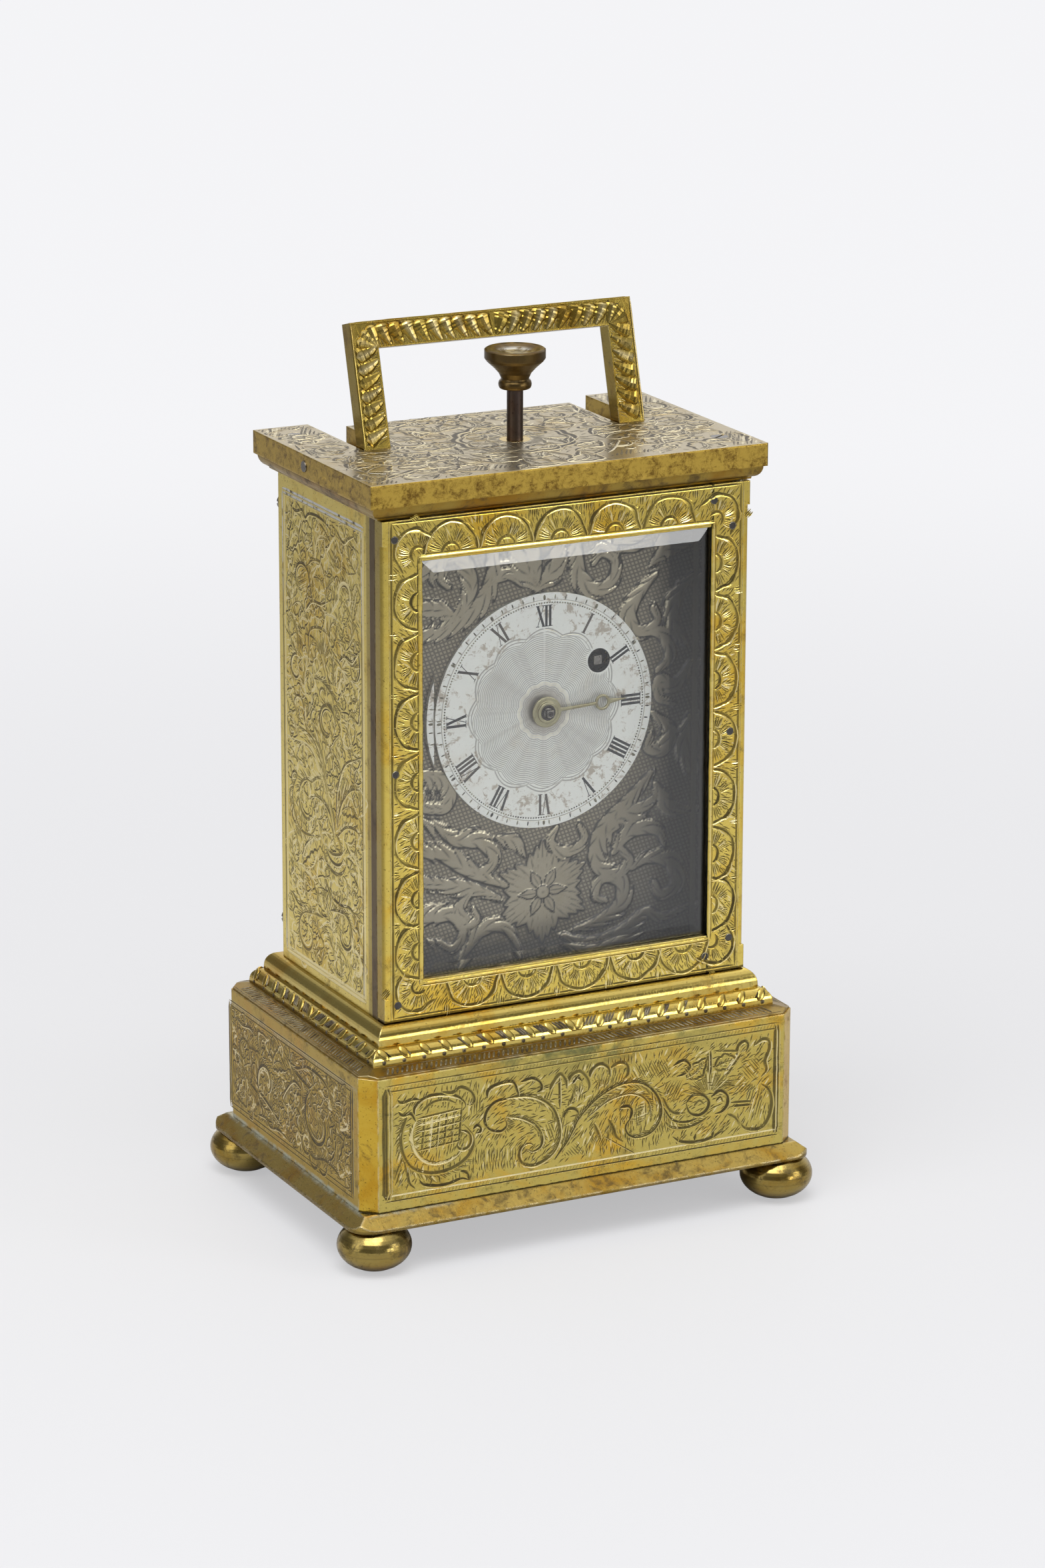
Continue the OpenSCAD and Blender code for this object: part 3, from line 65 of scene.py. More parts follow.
back = Vector((math.sin(CAMERA_TURN) * math.cos(CAMERA_HEIGHT),
               -math.cos(CAMERA_TURN) * math.cos(CAMERA_HEIGHT), math.sin(CAMERA_HEIGHT)))
right = Vector((math.cos(CAMERA_TURN), math.sin(CAMERA_TURN), 0.0))
right = (Matrix.Rotation(CAMERA_ROLL, 3, back) @ right).normalized()
lens = bpy.data.cameras.new("view")
lens.sensor_width = 36.0
lens.lens = FOCAL_PX / FRAME_PX * lens.sensor_width
lens.clip_start, lens.clip_end = 0.01, 20.0
camera = bpy.data.objects.new("view", lens)
camera.matrix_world = (Matrix.Translation(CAMERA_PLACE)
                       @ Matrix((right, back.cross(right), back)).transposed().to_4x4())
bpy.context.scene.collection.objects.link(camera)
bpy.context.scene.camera = camera
bpy.context.scene.view_settings.view_transform = "Standard"
print("lens", round(lens.lens, 2), "mm")

# %% [markdown]
# ## Node helpers
# A material is a small network. *Put* places a node and *wire* connects it. A
# *Signal* is a value inside the network that can be added and multiplied like a
# number, so a recipe reads as a formula.


# %% Helpers that place and wire nodes
def put(tree, kind, inputs=None, **settings):
    """Adds one node, sets its options and its input values or links."""
    node = tree.nodes.new(kind)
    for key, value in settings.items():
        setattr(node, key, value)
    for key, value in (inputs or {}).items():
        wire(tree, value, node.inputs[key])
    return node


def wire(tree, value, socket):
    """A signal, a node, a socket or a plain value goes into a socket."""
    if isinstance(value, Signal):
        value = value.socket
    if isinstance(value, bpy.types.Node):
        value = value.outputs[0]
    if isinstance(value, bpy.types.NodeSocket):
        tree.links.new(value, socket)
    elif isinstance(value, tuple) and len(value) == 3 and socket.type == "RGBA":
        socket.default_value = (*value, 1.0)
    else:
        socket.default_value = value


class Signal:
    """A value that varies over a surface; arithmetic on it places the nodes."""

    def __init__(self, tree, source, output=0):
        self.tree = tree
        self.socket = source.outputs[output] if isinstance(source, bpy.types.Node) else source

    def math(self, operation, other=0.0, last=False, clamp=False):
        """One step of arithmetic; last puts this signal second."""
        pair = {0: other, 1: self} if last else {0: self, 1: other}
        return Signal(self.tree, put(self.tree, "ShaderNodeMath", pair, operation=operation, use_clamp=clamp))

    def __add__(self, other):
        return self.math("ADD", other)

    def __sub__(self, other):
        return self.math("SUBTRACT", other)

    def __rsub__(self, other):
        return self.math("SUBTRACT", other, last=True)

    def __mul__(self, other):
        return self.math("MULTIPLY", other)

    def larger(self, other):
        """The larger of two values."""
        return self.math("MAXIMUM", other)

    def rise(self, low, high):
        """A smooth step: 0 below low, 1 above high."""
        return Signal(self.tree, put(self.tree, "ShaderNodeMapRange",
            {"Value": self, "From Min": low, "From Max": high}, interpolation_type="SMOOTHSTEP"))

    def fall(self, low, high):
        """A smooth step down: 1 below low, 0 above high."""
        return 1.0 - self.rise(low, high)

    def band(self, low, high, soft):
        """1 between low and high, falling off over a soft width."""
        return self.rise(low - soft, low + soft) * self.fall(high - soft, high + soft)

    def spread(self, low, high):
        """What ran from 0 to 1 runs from low to high."""
        return Signal(self.tree, put(self.tree, "ShaderNodeMapRange", {"Value": self, "To Min": low, "To Max": high}))


def split(tree, vector):
    """The X, Y and Z of a vector as three signals."""
    return [Signal(tree, part) for part in put(tree, "ShaderNodeSeparateXYZ", {"Vector": vector}).outputs]


def join(tree, **parts):
    """A vector from some of X, Y and Z; the others stay 0."""
    return put(tree, "ShaderNodeCombineXYZ", parts)


def length(tree, vector):
    """How long a vector is."""
    return Signal(tree, put(tree, "ShaderNodeVectorMath", {0: vector}, operation="LENGTH"), "Value")


def attribute(tree, name):
    """A number that the points of a mesh carry."""
    return Signal(tree, put(tree, "ShaderNodeAttribute", attribute_name=name), "Fac")


def place_of(tree):
    """Where the shaded point lies on its own piece, in metres."""
    return tree.nodes.new("ShaderNodeTexCoord").outputs["Object"]


def cloud(tree, vector, scale, detail=4.0, rough=0.55, twist=0.0):
    """Noise; scale is in patches per unit of the vector."""
    return Signal(tree, put(tree, "ShaderNodeTexNoise", {"Vector": vector, "Scale": scale, "Detail": detail,
        "Roughness": rough, "Distortion": twist}))


def blend_colour(tree, share, first, second):
    """Mixes two colours by a share from 0 to 1."""
    node = tree.nodes.new("ShaderNodeMix")
    node.data_type = "RGBA"
    for key, value in (("Factor", share), ("A", first), ("B", second)):
        wire(tree, value, node.inputs[key])
    return node.outputs["Result"]


def open_group(name, inputs, outputs):
    """A shader node group; returns its tree, its inputs as signals by name, and its output node."""
    tree = bpy.data.node_groups.new(name, "ShaderNodeTree")
    for label, value in inputs.items():
        kind = "Vector" if value is None else "Color" if isinstance(value, tuple) else "Float"
        socket = tree.interface.new_socket(label, in_out="INPUT", socket_type="NodeSocket" + kind)
        if value is not None:
            socket.default_value = value
    for label, kind in outputs.items():
        tree.interface.new_socket(label, in_out="OUTPUT", socket_type="NodeSocket" + kind)
    source = tree.nodes.new("NodeGroupInput")
    return tree, {label: Signal(tree, source, label) for label in inputs}, tree.nodes.new("NodeGroupOutput")


def use_group(tree, group, inputs):
    """Places a node group in a material and sets its inputs."""
    node = tree.nodes.new("ShaderNodeGroup")
    node.node_tree = group
    for key, value in inputs.items():
        wire(tree, value, node.inputs[key])
    return node


# %% [markdown]
# ## Shared effects
# *Patina* is what a century does to gilding: clean metal, warmer patches, brown
# tarnish and dark specks; it also darkens the cuts, grime with painted shade.
# *Edge wear and glint* finds where two faces meet, rounds the light there and paints
# the edge paler, rubbed metal with a painted highlight. *Fine scratches* are the wiping marks.
# Each effect is built once as a group, and every metal uses it with its own values.

# %% Patina group
patina, given, out = open_group("patina",
    {"Vector": None, "Clean": (0.6, 0.45, 0.15, 1), "Warm": (0.6, 0.35, 0.08, 1), "Tarnish": (0.2, 0.14, 0.05, 1),
     "Dark": (0.03, 0.025, 0.02, 1), "Warm Share": 0.4, "Tarnish Share": 0.3, "Specks": 0.5, "Patch Size": 1.0,
     "Groove": 0.0}, {"Color": "Color", "Tarnished": "Float", "Height": "Float"})
where = put(patina, "ShaderNodeVectorMath", {0: given["Vector"], 1: given["Patch Size"]}, operation="MULTIPLY")
broad = cloud(patina, where, 85.0, 6.0, 0.66, 0.5)
small = cloud(patina, where, 330.0, 6.0, 0.7, 0.4)
dust = cloud(patina, where, 2400.0, 2.0, 0.6)
low = 0.68 - given["Warm Share"] * 0.36 - 0.08
warm = broad.rise(low, low + 0.26)
mixed = small * 0.65 + Signal(patina, broad.socket.node, "Color") * 0.35
low = 0.66 - given["Tarnish Share"] * 0.34
brown = mixed.rise(low, low + 0.16)
speck = dust.rise(0.63, 0.72) * given["Specks"]
colour = given["Clean"]
# The groove share darkens the cuts: grime in them, with painted shade for the depth the flat strips lack.
for share, name in ((warm, "Warm"), (brown * 0.85, "Tarnish"), (speck, "Tarnish"), (given["Groove"] * 0.93, "Dark")):
    colour = blend_colour(patina, share, colour, given[name])
wire(patina, colour, out.inputs["Color"])
wire(patina, brown.larger(given["Groove"] * 0.8), out.inputs["Tarnished"])
wire(patina, mixed + dust * 0.25, out.inputs["Height"])
print("group", patina.name)

# %% Worn edges group
edge_wear_and_glint, given, out = open_group(
    "worn edges", {"Vector": None, "Radius": 0.00018, "Amount": 0.6}, {"Mask": "Float", "Normal": "Vector"})
rounded = put(edge_wear_and_glint, "ShaderNodeBevel", {"Radius": given["Radius"]}, samples=4)
flat = edge_wear_and_glint.nodes.new("ShaderNodeNewGeometry")
facing = put(edge_wear_and_glint, "ShaderNodeVectorMath", {0: rounded, 1: flat.outputs["Normal"]}, operation="DOT_PRODUCT")
edge = (1.0 - Signal(edge_wear_and_glint, facing, "Value")).rise(0.02, 0.2)
broken = cloud(edge_wear_and_glint, given["Vector"], 500.0).rise(0.38, 0.55)
# This mask paints edges paler in metal(): rubbed metal with a painted highlight.
wire(edge_wear_and_glint, edge * broken * given["Amount"], out.inputs["Mask"])
wire(edge_wear_and_glint, rounded, out.inputs["Normal"])
print("group", edge_wear_and_glint.name)

# %% Fine scratches group
scratches, given, out = open_group(
    "fine scratches", {"Vector": None, "Density": 1.0, "Turn": 0.0}, {"Height": "Float"})
total = 0.0
for angle, stretch in ((0.35, 14.0), (-0.9, 18.0)):
    turned = put(scratches, "ShaderNodeVectorRotate", {"Vector": given["Vector"], "Axis": (0.35, 0.8, 0.3),
        "Angle": given["Turn"] + angle})
    drawn = put(scratches, "ShaderNodeMapping", {"Vector": turned, "Scale": (stretch, 1.0, 1.0)})
    total = cloud(scratches, drawn, 330.0, 3.0, 0.6).rise(0.56, 0.7) + total
wire(scratches, total * given["Density"], out.inputs["Height"])
print("group", scratches.name)

# %% [markdown]
# ## The metals
# Gilt brass is one recipe with many settings: the plinth is a pale lemon gold, its ends
# a darker copy that paints the shade of faces turned from the light; the door is deep
# yellow, the side is olive with wear, and the top is a pale champagne that paints the
# reflection of the bright sky. The recipe reads an attribute named *groove*, which the
# engraved lines carry: above 0 the metal is dark, grime in the cut together with painted
# shade for a depth the flat strip lacks; below 0 it is painted bright, a highlight on the
# wall that faces the light.


# %% The metal recipe
def srgb(r, g, b):
    """A colour as a screen shows it, 0 to 255, turned into light."""
    return tuple((c / 255 / 12.92) if c < 10.3 else ((c / 255 + 0.055) / 1.055) ** 2.4 for c in (r, g, b))


# GLINT is the pale colour of painted highlights, on edges and on the lit walls of cuts.
GLINT = (1.0, 0.9, 0.6)
SWELL = 4.0


def metal(name, clean, warm, tarnish, warm_share=0.4, tarnish_share=0.3, specks=0.5, patch=1.0, dark=(38, 32, 28),
          rough=(0.24, 0.5), edge=0.8, edge_radius=0.28, bump=0.25, scratch=0.6, metallic=(1.0, 0.7)):
    """One worn metal. Colours are as seen on a screen, sizes in millimetres; pairs are for clean and tarnished."""
    material = bpy.data.materials.new(name)
    material.use_nodes = True
    tree = material.node_tree
    shader = tree.nodes["Principled BSDF"]
    place = place_of(tree)
    groove = attribute(tree, "groove")
    skin = use_group(tree, patina, {
        "Vector": place, "Clean": srgb(*clean), "Warm": srgb(*warm), "Tarnish": srgb(*tarnish), "Dark": srgb(*dark),
        "Warm Share": warm_share, "Tarnish Share": tarnish_share, "Specks": specks, "Patch Size": patch,
        "Groove": groove.math("MULTIPLY", 1.0, clamp=True)})
    wear = use_group(tree, edge_wear_and_glint, {"Vector": place, "Radius": edge_radius * MM, "Amount": edge})
    marks = use_group(tree, scratches, {"Vector": place, "Density": scratch})
    # Painted highlight: where the edge mask or a negative groove says so, the colour moves towards pale GLINT.
    shine = Signal(tree, wear, "Mask").larger(groove * -0.9)
    bright = blend_colour(tree, 0.6, srgb(*clean), GLINT)
    wire(tree, blend_colour(tree, shine, skin.outputs["Color"], bright), shader.inputs["Base Color"])
    tarnished = Signal(tree, skin, "Tarnished")
    wire(tree, tarnished.spread(*rough), shader.inputs["Roughness"])
    wire(tree, tarnished.spread(*metallic), shader.inputs["Metallic"])
    height = Signal(tree, skin, "Height") + cloud(tree, place, 190.0, 2.0, 0.5) * SWELL + Signal(tree, marks) * -0.4
    wire(tree, put(tree, "ShaderNodeBump", {"Height": height, "Strength": bump, "Distance": 0.06 * MM,
                                            "Normal": wear.outputs["Normal"]}), shader.inputs["Normal"])
    return material


# %% The gilt and brass finishes
# edge and edge_radius set how much paleness a finish's edges take: rubbed metal with a painted highlight.
PLINTH_GILT = metal("gilt plinth", (194, 176, 96), (210, 166, 56), (104, 93, 48), 0.42, 0.45, specks=0.9,
                    dark=(40, 34, 24), edge_radius=0.4)
# A darker copy of the plinth's gilt for its ends and back: painted shade of faces turned from the light.
END_GILT = metal("gilt plinth end", (176, 148, 62), (176, 138, 50), (84, 72, 36), 0.4, 0.45, specks=0.9,
                 dark=(44, 37, 26), rough=(0.3, 0.5), edge_radius=0.4)
HATCH_GILT = metal("hatched plate", (146, 124, 68), (146, 112, 46), (78, 64, 36), 0.45, 0.55, specks=0.9, patch=1.4,
                   rough=(0.32, 0.5))
CANT_GILT = metal("gilt corner", (206, 172, 66), (190, 146, 44), (104, 80, 34), 0.5, 0.4, specks=0.9, patch=1.3,
                  dark=(56, 44, 30))
DOOR_GILT = metal("gilt door", (220, 196, 100), (222, 180, 62), (118, 97, 44), 0.45, 0.42, specks=0.9,
                  dark=(30, 24, 16), rough=(0.2, 0.42))
SIDE_GILT = metal("gilt side", (230, 208, 118), (216, 182, 76), (124, 104, 50), 0.38, 0.42, specks=0.9,
                  dark=(54, 44, 28), rough=(0.3, 0.5))
# Its pale champagne paints the reflection of the bright sky; slab_rim gives its other faces gold.
TOP_GILT = metal("worn top", (186, 172, 140), (176, 152, 96), (94, 80, 54), 0.35, 0.42, dark=(40, 33, 26),
                 rough=(0.3, 0.5), edge=1.0, edge_radius=0.45)
RIM_GILT = metal("mottled rim", (150, 126, 60), (140, 104, 38), (74, 58, 28), 0.6, 0.6, rough=(0.3, 0.45))
BASE_GILT = metal("base gilt", (168, 144, 76), (160, 124, 46), (70, 57, 30), 0.45, 0.58, specks=1.0, patch=1.5,
                  rough=(0.22, 0.46), edge=1.6, edge_radius=0.55)
FOOT_GILT = metal("foot gilt", (158, 138, 78), (148, 118, 48), (66, 56, 32), 0.44, 0.52, rough=(0.18, 0.42))
BRIGHT_GILT = metal("bright moulding", (200, 178, 98), (190, 152, 60), (100, 84, 42), 0.4, 0.35, dark=(52, 44, 34),
                    rough=(0.13, 0.36), bump=0.15)
BAIL_GILT = metal("handle gilt", (168, 145, 68), (160, 126, 44), (86, 68, 32), 0.42, 0.42, dark=(30, 24, 18),
                  rough=(0.2, 0.42))
BROWN_BRASS = metal("browned brass", (98, 80, 48), (86, 66, 34), (54, 44, 28), 0.5, 0.45, rough=(0.28, 0.45),
                    edge=0.3)
MOVEMENT_BRASS = metal("movement brass", (214, 184, 104), (204, 168, 80), (150, 124, 66), 0.3, 0.12, specks=0.2,
                       rough=(0.22, 0.35))
STEEL = metal("steel", (128, 124, 120), (108, 100, 92), (62, 52, 46), 0.4, 0.35, rough=(0.25, 0.5), edge=0.4)
RUSTY_STEEL = metal("rusty steel", (84, 74, 70), (80, 58, 46), (46, 36, 32), 0.5, 0.5, specks=0.8,
                    rough=(0.3, 0.6), edge=0.5)
BLUED_STEEL = metal("blued steel", (44, 56, 108), (52, 44, 92), (30, 30, 44), 0.4, 0.2, specks=0.1,
                    rough=(0.15, 0.3), edge=0.2)
HAND_METAL = metal("hand", (160, 154, 124), (144, 134, 98), (92, 84, 64), 0.5, 0.3, rough=(0.28, 0.45))
BELL_METAL = metal("bell metal", (222, 208, 160), (208, 186, 120), (150, 132, 84), 0.3, 0.15, specks=0.2,
                   rough=(0.15, 0.3))
RIVET_STEEL = metal("rivet steel", (84, 82, 80), (70, 64, 58), (40, 34, 30), 0.4, 0.5, rough=(0.3, 0.5))
# Dark for cuts that are raised shapes here: grime in them with painted shade for their depth.
DARK_CUT = metal("grime in cuts", (74, 64, 50), (90, 74, 46), (50, 44, 38), 0.4, 0.5, rough=(0.4, 0.6),
                 metallic=(0.6, 0.4))


def graven(material):
    """The same metal for engraved lines, whose grooves are too fine for rounded edges."""
    copy = material.copy()
    copy.name = material.name + " engraved"
    for node in copy.node_tree.nodes:
        if node.type == "GROUP" and node.node_tree == edge_wear_and_glint:
            node.inputs["Radius"].default_value = 0.01 * MM
            node.inputs["Amount"].default_value = 0.3
    return copy


PLINTH_CUT, END_CUT, DOOR_CUT, SIDE_CUT, TOP_CUT, BAIL_CUT = (
    graven(m) for m in (PLINTH_GILT, END_GILT, DOOR_GILT, SIDE_GILT, TOP_GILT, BAIL_GILT))
print("metals:", len(bpy.data.materials))

# %% [markdown]
# ## Light, floor and background
# Polished metal shows whatever surrounds it, so a metal object is lit by its room.
# The room here is a plain pale studio: a white floor, a soft box overhead, a narrow
# one in front that the door mirrors, a weak one on each side, and a sky that is
# bright behind the clock and duller in front of it. The camera sees plain white.

# %% Room
world = bpy.data.worlds.new("studio")
bpy.context.scene.world = world
world.use_nodes = True
sky = world.node_tree
sky.nodes.clear()
light_path = sky.nodes.new("ShaderNodeLightPath")
x, y, z = split(sky, sky.nodes.new("ShaderNodeTexCoord").outputs["Generated"])
seen = (y.rise(-0.25, 0.45) * x.rise(-0.4, 0.2)).spread(0.2, 0.95) + z.rise(0.5, 0.85) * 0.9
mirrored = put(sky, "ShaderNodeCombineColor", {0: seen, 1: seen, 2: seen * 1.01})
tone = blend_colour(sky, light_path.outputs["Is Glossy Ray"], (0.52, 0.52, 0.53), mirrored)
direct = Signal(sky, light_path, "Is Camera Ray").larger(light_path.outputs["Is Transmission Ray"])
tone = blend_colour(sky, direct, tone, (0.9, 0.9, 0.925))
wire(sky, put(sky, "ShaderNodeBackground", {"Color": tone, "Strength": 1.0}),
     put(sky, "ShaderNodeOutputWorld").inputs["Surface"])


def lamp(name, place, aim, width, height, power):
    """A soft box that looks at a point."""
    data = bpy.data.lights.new(name, "AREA")
    data.shape, data.size, data.size_y, data.energy = "RECTANGLE", width, height, power
    box = bpy.data.objects.new(name, data)
    way = Vector(aim) - Vector(place)
    box.matrix_world = Matrix.Translation(place) @ way.to_track_quat("-Z", "Y").to_matrix().to_4x4()
    bpy.context.scene.collection.objects.link(box)


lamp("overhead", (-0.25, -0.35, 1.0), (0, 0, 0.06), 0.8, 0.7, 8.6)
lamp("window", (0.63, -1.354, 0.285), (0, -0.02, 0.117), 0.5, 0.16, 2.3)
lamp("left", (-1.0, -0.1, 0.55), (0, 0, 0.07), 0.5, 0.8, 2.2)
lamp("right", (0.9, -0.9, 0.5), (0, 0, 0.08), 0.4, 0.7, 3.0)

# %% Floor
FLOOR_HALF = 3.0
floor_mesh = bpy.data.meshes.new("floor")
corners = [(FLOOR_HALF * i, FLOOR_HALF * k, 0) for i, k in ((-1, -1), (1, -1), (1, 1), (-1, 1))]
floor_mesh.from_pydata(corners, [], [(0, 1, 2, 3)])
floor = bpy.data.objects.new("floor", floor_mesh)
bpy.context.scene.collection.objects.link(floor)
paper = bpy.data.materials.new("white paper")
paper.use_nodes = True
tree = paper.node_tree
shader = tree.nodes["Principled BSDF"]
ground = place_of(tree)
wire(tree, blend_colour(tree, cloud(tree, ground, 900.0) * 0.02, (0.62, 0.62, 0.63), (0.56, 0.56, 0.56)),
     shader.inputs["Base Color"])
shader.inputs["Roughness"].default_value = 0.6
shader.inputs["Specular IOR Level"].default_value = 0.2
light_path = tree.nodes.new("ShaderNodeLightPath")
reach = length(tree, ground)
glow = put(tree, "ShaderNodeEmission", {"Color": (0.92, 0.92, 0.94), "Strength": 1.0})
dim = put(tree, "ShaderNodeEmission", {"Color": (0.42, 0.42, 0.43), "Strength": 1.0})
direct = Signal(tree, light_path, "Is Camera Ray").larger(light_path.outputs["Is Transmission Ray"])
lit = put(tree, "ShaderNodeMixShader", {0: direct * reach.rise(0.1, 0.6).spread(0.5, 0.97), 1: shader, 2: glow})
mirrored = Signal(tree, light_path, "Is Glossy Ray") * reach.rise(0.2, 0.7)
wire(tree, put(tree, "ShaderNodeMixShader", {0: mirrored, 1: lit, 2: dim}),
     tree.nodes["Material Output"].inputs["Surface"])
floor_mesh.materials.append(paper)
print("floor", 2 * FLOOR_HALF, "m")

# %% [markdown]
# ## Finishes for the solids
# A CAD solid whose shape is right stays as it is and only gets its finish.

# %% Solids that keep their shape
FINISHES = {
    PLINTH_GILT: "plinth_front",
    HATCH_GILT: "plinth_top",
    END_GILT: "plinth_left plinth_back plinth_right",
    CANT_GILT: "plinth_corners",
    SIDE_GILT: "side_panel_left side_panel_right back_cover",
    BRIGHT_GILT: "leaf_moulding upper_moulding",
    BASE_GILT: "base_plate",
    FOOT_GILT: "bun_feet",
    DOOR_GILT: "door_face_plate door_frame case_pillars",
    RIM_GILT: "cornice_moulding",
    TOP_GILT: "top_slab",
    BAIL_GILT: "bail_handle",
    BROWN_BRASS: "push_button front_frame glass_retainer plunger_cage",
    MOVEMENT_BRASS: "front_plate rear_plate movement_pillars spring_barrel centre_wheel third_wheel fourth_wheel "
                    "minute_wheel hour_wheel balance_cock plunger_bush balance_wheel",
    STEEL: "base_screws back_screws top_screws bail_hinge_pins return_spring door_hinge_pins mask_screws cannon_pinion "
           "winding_arbor winding_click escape_wheel repeat_rack repeat_wheel repeat_hammer bell_post",
    RUSTY_STEEL: "plunger_stem",
    RIVET_STEEL: "door_rivets",
    BLUED_STEEL: "movement_screws balance_spring",
    HAND_METAL: "hour_hand",
    BELL_METAL: "bell",
}


def finish(node, material):
    """Gives every material slot of a CAD solid one finish."""
    slots = NODES[node].material_slots
    if not slots:
        NODES[node].data.materials.append(material)
    for slot in slots:
        slot.material = material


for material, names in FINISHES.items():
    for name in names.split():
        finish(name, material)
print("finished solids:", sum(len(n.split()) for n in FINISHES.values()))

# %% [markdown]
# ## Glass and the dial side
# The glass is a real plate with a bevel all round, so it bends what lies behind it
# as the real one does. It needs nothing but the right refraction.

# %% Glass and silvered finishes
GLASS = bpy.data.materials.new("door glass")
GLASS.use_nodes = True
tree = GLASS.node_tree
shader = tree.nodes["Principled BSDF"]
smear = cloud(tree, place_of(tree), 90.0, 5.0, 0.6, 0.8).rise(0.5, 0.8)
wire(tree, smear.spread(0.0, 0.02), shader.inputs["Roughness"])
shader.inputs["Base Color"].default_value = (0.97, 0.985, 0.98, 1)
shader.inputs["Transmission Weight"].default_value = 1.0
shader.inputs["IOR"].default_value = 1.5
finish("door_glass", GLASS)
SILVER = metal("silvered", (240, 240, 234), (230, 224, 212), (176, 170, 158), 0.3, 0.2, specks=0.3,
               dark=(150, 146, 140), rough=(0.42, 0.55), bump=0.15, scratch=0.3, metallic=(0.5, 0.3), edge_radius=0.1)
MASK_METAL = metal("mask", (158, 149, 129), (150, 140, 118), (118, 110, 95), 0.4, 0.25, specks=0.3, dark=(44, 42, 40),
                   rough=(0.34, 0.5), bump=0.2, scratch=0.3, metallic=(0.85, 0.7))
DIAL_INK = metal("dial ink", (36, 35, 38), (46, 44, 48), (60, 54, 50), 0.4, 0.3, specks=0.6, dark=(112, 102, 92),
                 rough=(0.5, 0.7), metallic=(0.0, 0.0))

# %% [markdown]
# ## Marks of use, and painted light
# Grime, dried polish and rubbed places are no part of the metal itself; some masks
# here instead paint shade, a reflection or a sheen into the colour. Each one is a
# mask, worked out from the place on the clock in millimetres, and a colour that is
# laid over the finish where the mask says so.

# %% Laying a colour over a finish
DIAL_Z = 86.9
WINDING_X, WINDING_Z, WINDING_BORE = 10.1, 94.29, 2.03
BUTTON_Y, DISH_Z = -1.7, 144.4


class Spot:
    """The shaded point of a finish: its place in millimetres and what can be asked about it."""

    def __init__(self, tree):
        self.tree = tree
        self.place = put(tree, "ShaderNodeVectorMath", {0: place_of(tree), 1: (1 / MM,) * 3}, operation="MULTIPLY")
        self.x, self.y, self.z = split(tree, self.place)

    def patches(self, scale, detail, rough, low, high, twist=0.0):
        """Ragged patches, 0 outside and 1 inside."""
        return cloud(self.tree, self.place, scale, detail, rough, twist).rise(low, high)

    def facing(self):
        """The direction in which the surface looks."""
        return split(self.tree, self.tree.nodes.new("ShaderNodeNewGeometry").outputs["True Normal"])

    def dial_polar(self):
        """Distance and angle from the middle of the dial."""
        up = self.z - DIAL_Z
        return (self.x * self.x + up * up).math("SQRT"), self.x.math("ARCTAN2", up)


def overlay(material, share_of, colour):
    """Lays a colour over a finish where a mask says so."""
    tree = material.node_tree
    base = tree.nodes["Principled BSDF"].inputs["Base Color"]
    under = base.links[0].from_socket
    wire(tree, blend_colour(tree, share_of(Spot(tree)), under, srgb(*colour)), base)


# %% Marks on the dial side
def silk_rays(spot):
    """Rays of light on the engine turning, strongest near the middle."""
    radius, angle = spot.dial_polar()
    turn = join(spot.tree, X=angle.math("SINE"), Y=angle.math("COSINE"))
    return cloud(spot.tree, turn, 3.2, 3.0, 0.6).rise(0.42, 0.66) * 0.4 * radius.fall(11.4, 12.6)


def hub_smudge(spot):
    """The dirty warm zone round the hand's boss."""
    return spot.dial_polar()[0].fall(2.4, 5.4) * 0.7


def flaking(spot):
    """Brownish flakes where the silvering of the hour ring has lifted."""
    return spot.patches(0.62, 7.0, 0.75, 0.53, 0.61, 0.6) * 0.75 * spot.dial_polar()[0].rise(12.8, 13.8)


def cross_hatch(spot):
    """The mask's ground: two sets of fine lines, only where the relief says ground."""
    lines = 0.0
    for angle in (0.35, 1.75):
        turned = put(spot.tree, "ShaderNodeVectorRotate",
                     {"Vector": spot.place, "Angle": angle, "Axis": (0.0, 1.0, 0.0)})
        wave = put(spot.tree, "ShaderNodeTexWave", {"Vector": turned, "Scale": 0.46, "Distortion": 0.6,
            "Detail": 1.0})
        lines = Signal(spot.tree, wave, "Fac").rise(0.45, 0.8).larger(lines)
    return attribute(spot.tree, "ground") * (lines * 0.55 + 0.12)


def bore_shade(spot):
    """Painted shade: the wall of the winding hole is made near black."""
    from_hole = join(spot.tree, X=spot.x - WINDING_X, Z=spot.z - WINDING_Z)
    return length(spot.tree, from_hole).fall(WINDING_BORE, WINDING_BORE + 0.07)


def arbor_end(spot):
    """The dark steel end of the centre arbor, in front of the dial."""
    return spot.y.fall(-12.3, -12.1)


def painted_mask_shade(spot):
    """Painted shade: the mask darkens towards its right and its foot, and falls near black in a strip at the right, in
    the shade of the door's frame.
    """
    lean = spot.x - (spot.z - 80.0) * 0.35
    return (lean.rise(6.0, 34.0) * 0.7).larger(spot.x.rise(23.0, 23.8) * 0.75)


# %% Marks on the case
def grey_dish(spot):
    """Pale grey patches in the hollow of the button, on its upper part."""
    inside = length(spot.tree, join(spot.tree, X=spot.x, Y=spot.y + -BUTTON_Y)).fall(2.6, 3.6)
    return spot.patches(0.7, 5.0, 0.7, 0.36, 0.56) * inside * spot.z.rise(DISH_Z, DISH_Z + 0.5)


def slab_rim(spot):
    """Painted reflection: the slab is pale champagne only where it looks up; the faces that don't look up are laid gold
    here.
    """
    return spot.facing()[2].fall(0.4, 0.8)


def rim_blotches(spot):
    """Brown blotches on the slab's edges."""
    return spot.patches(0.55, 9.0, 0.85, 0.45, 0.64, 0.3) * slab_rim(spot)


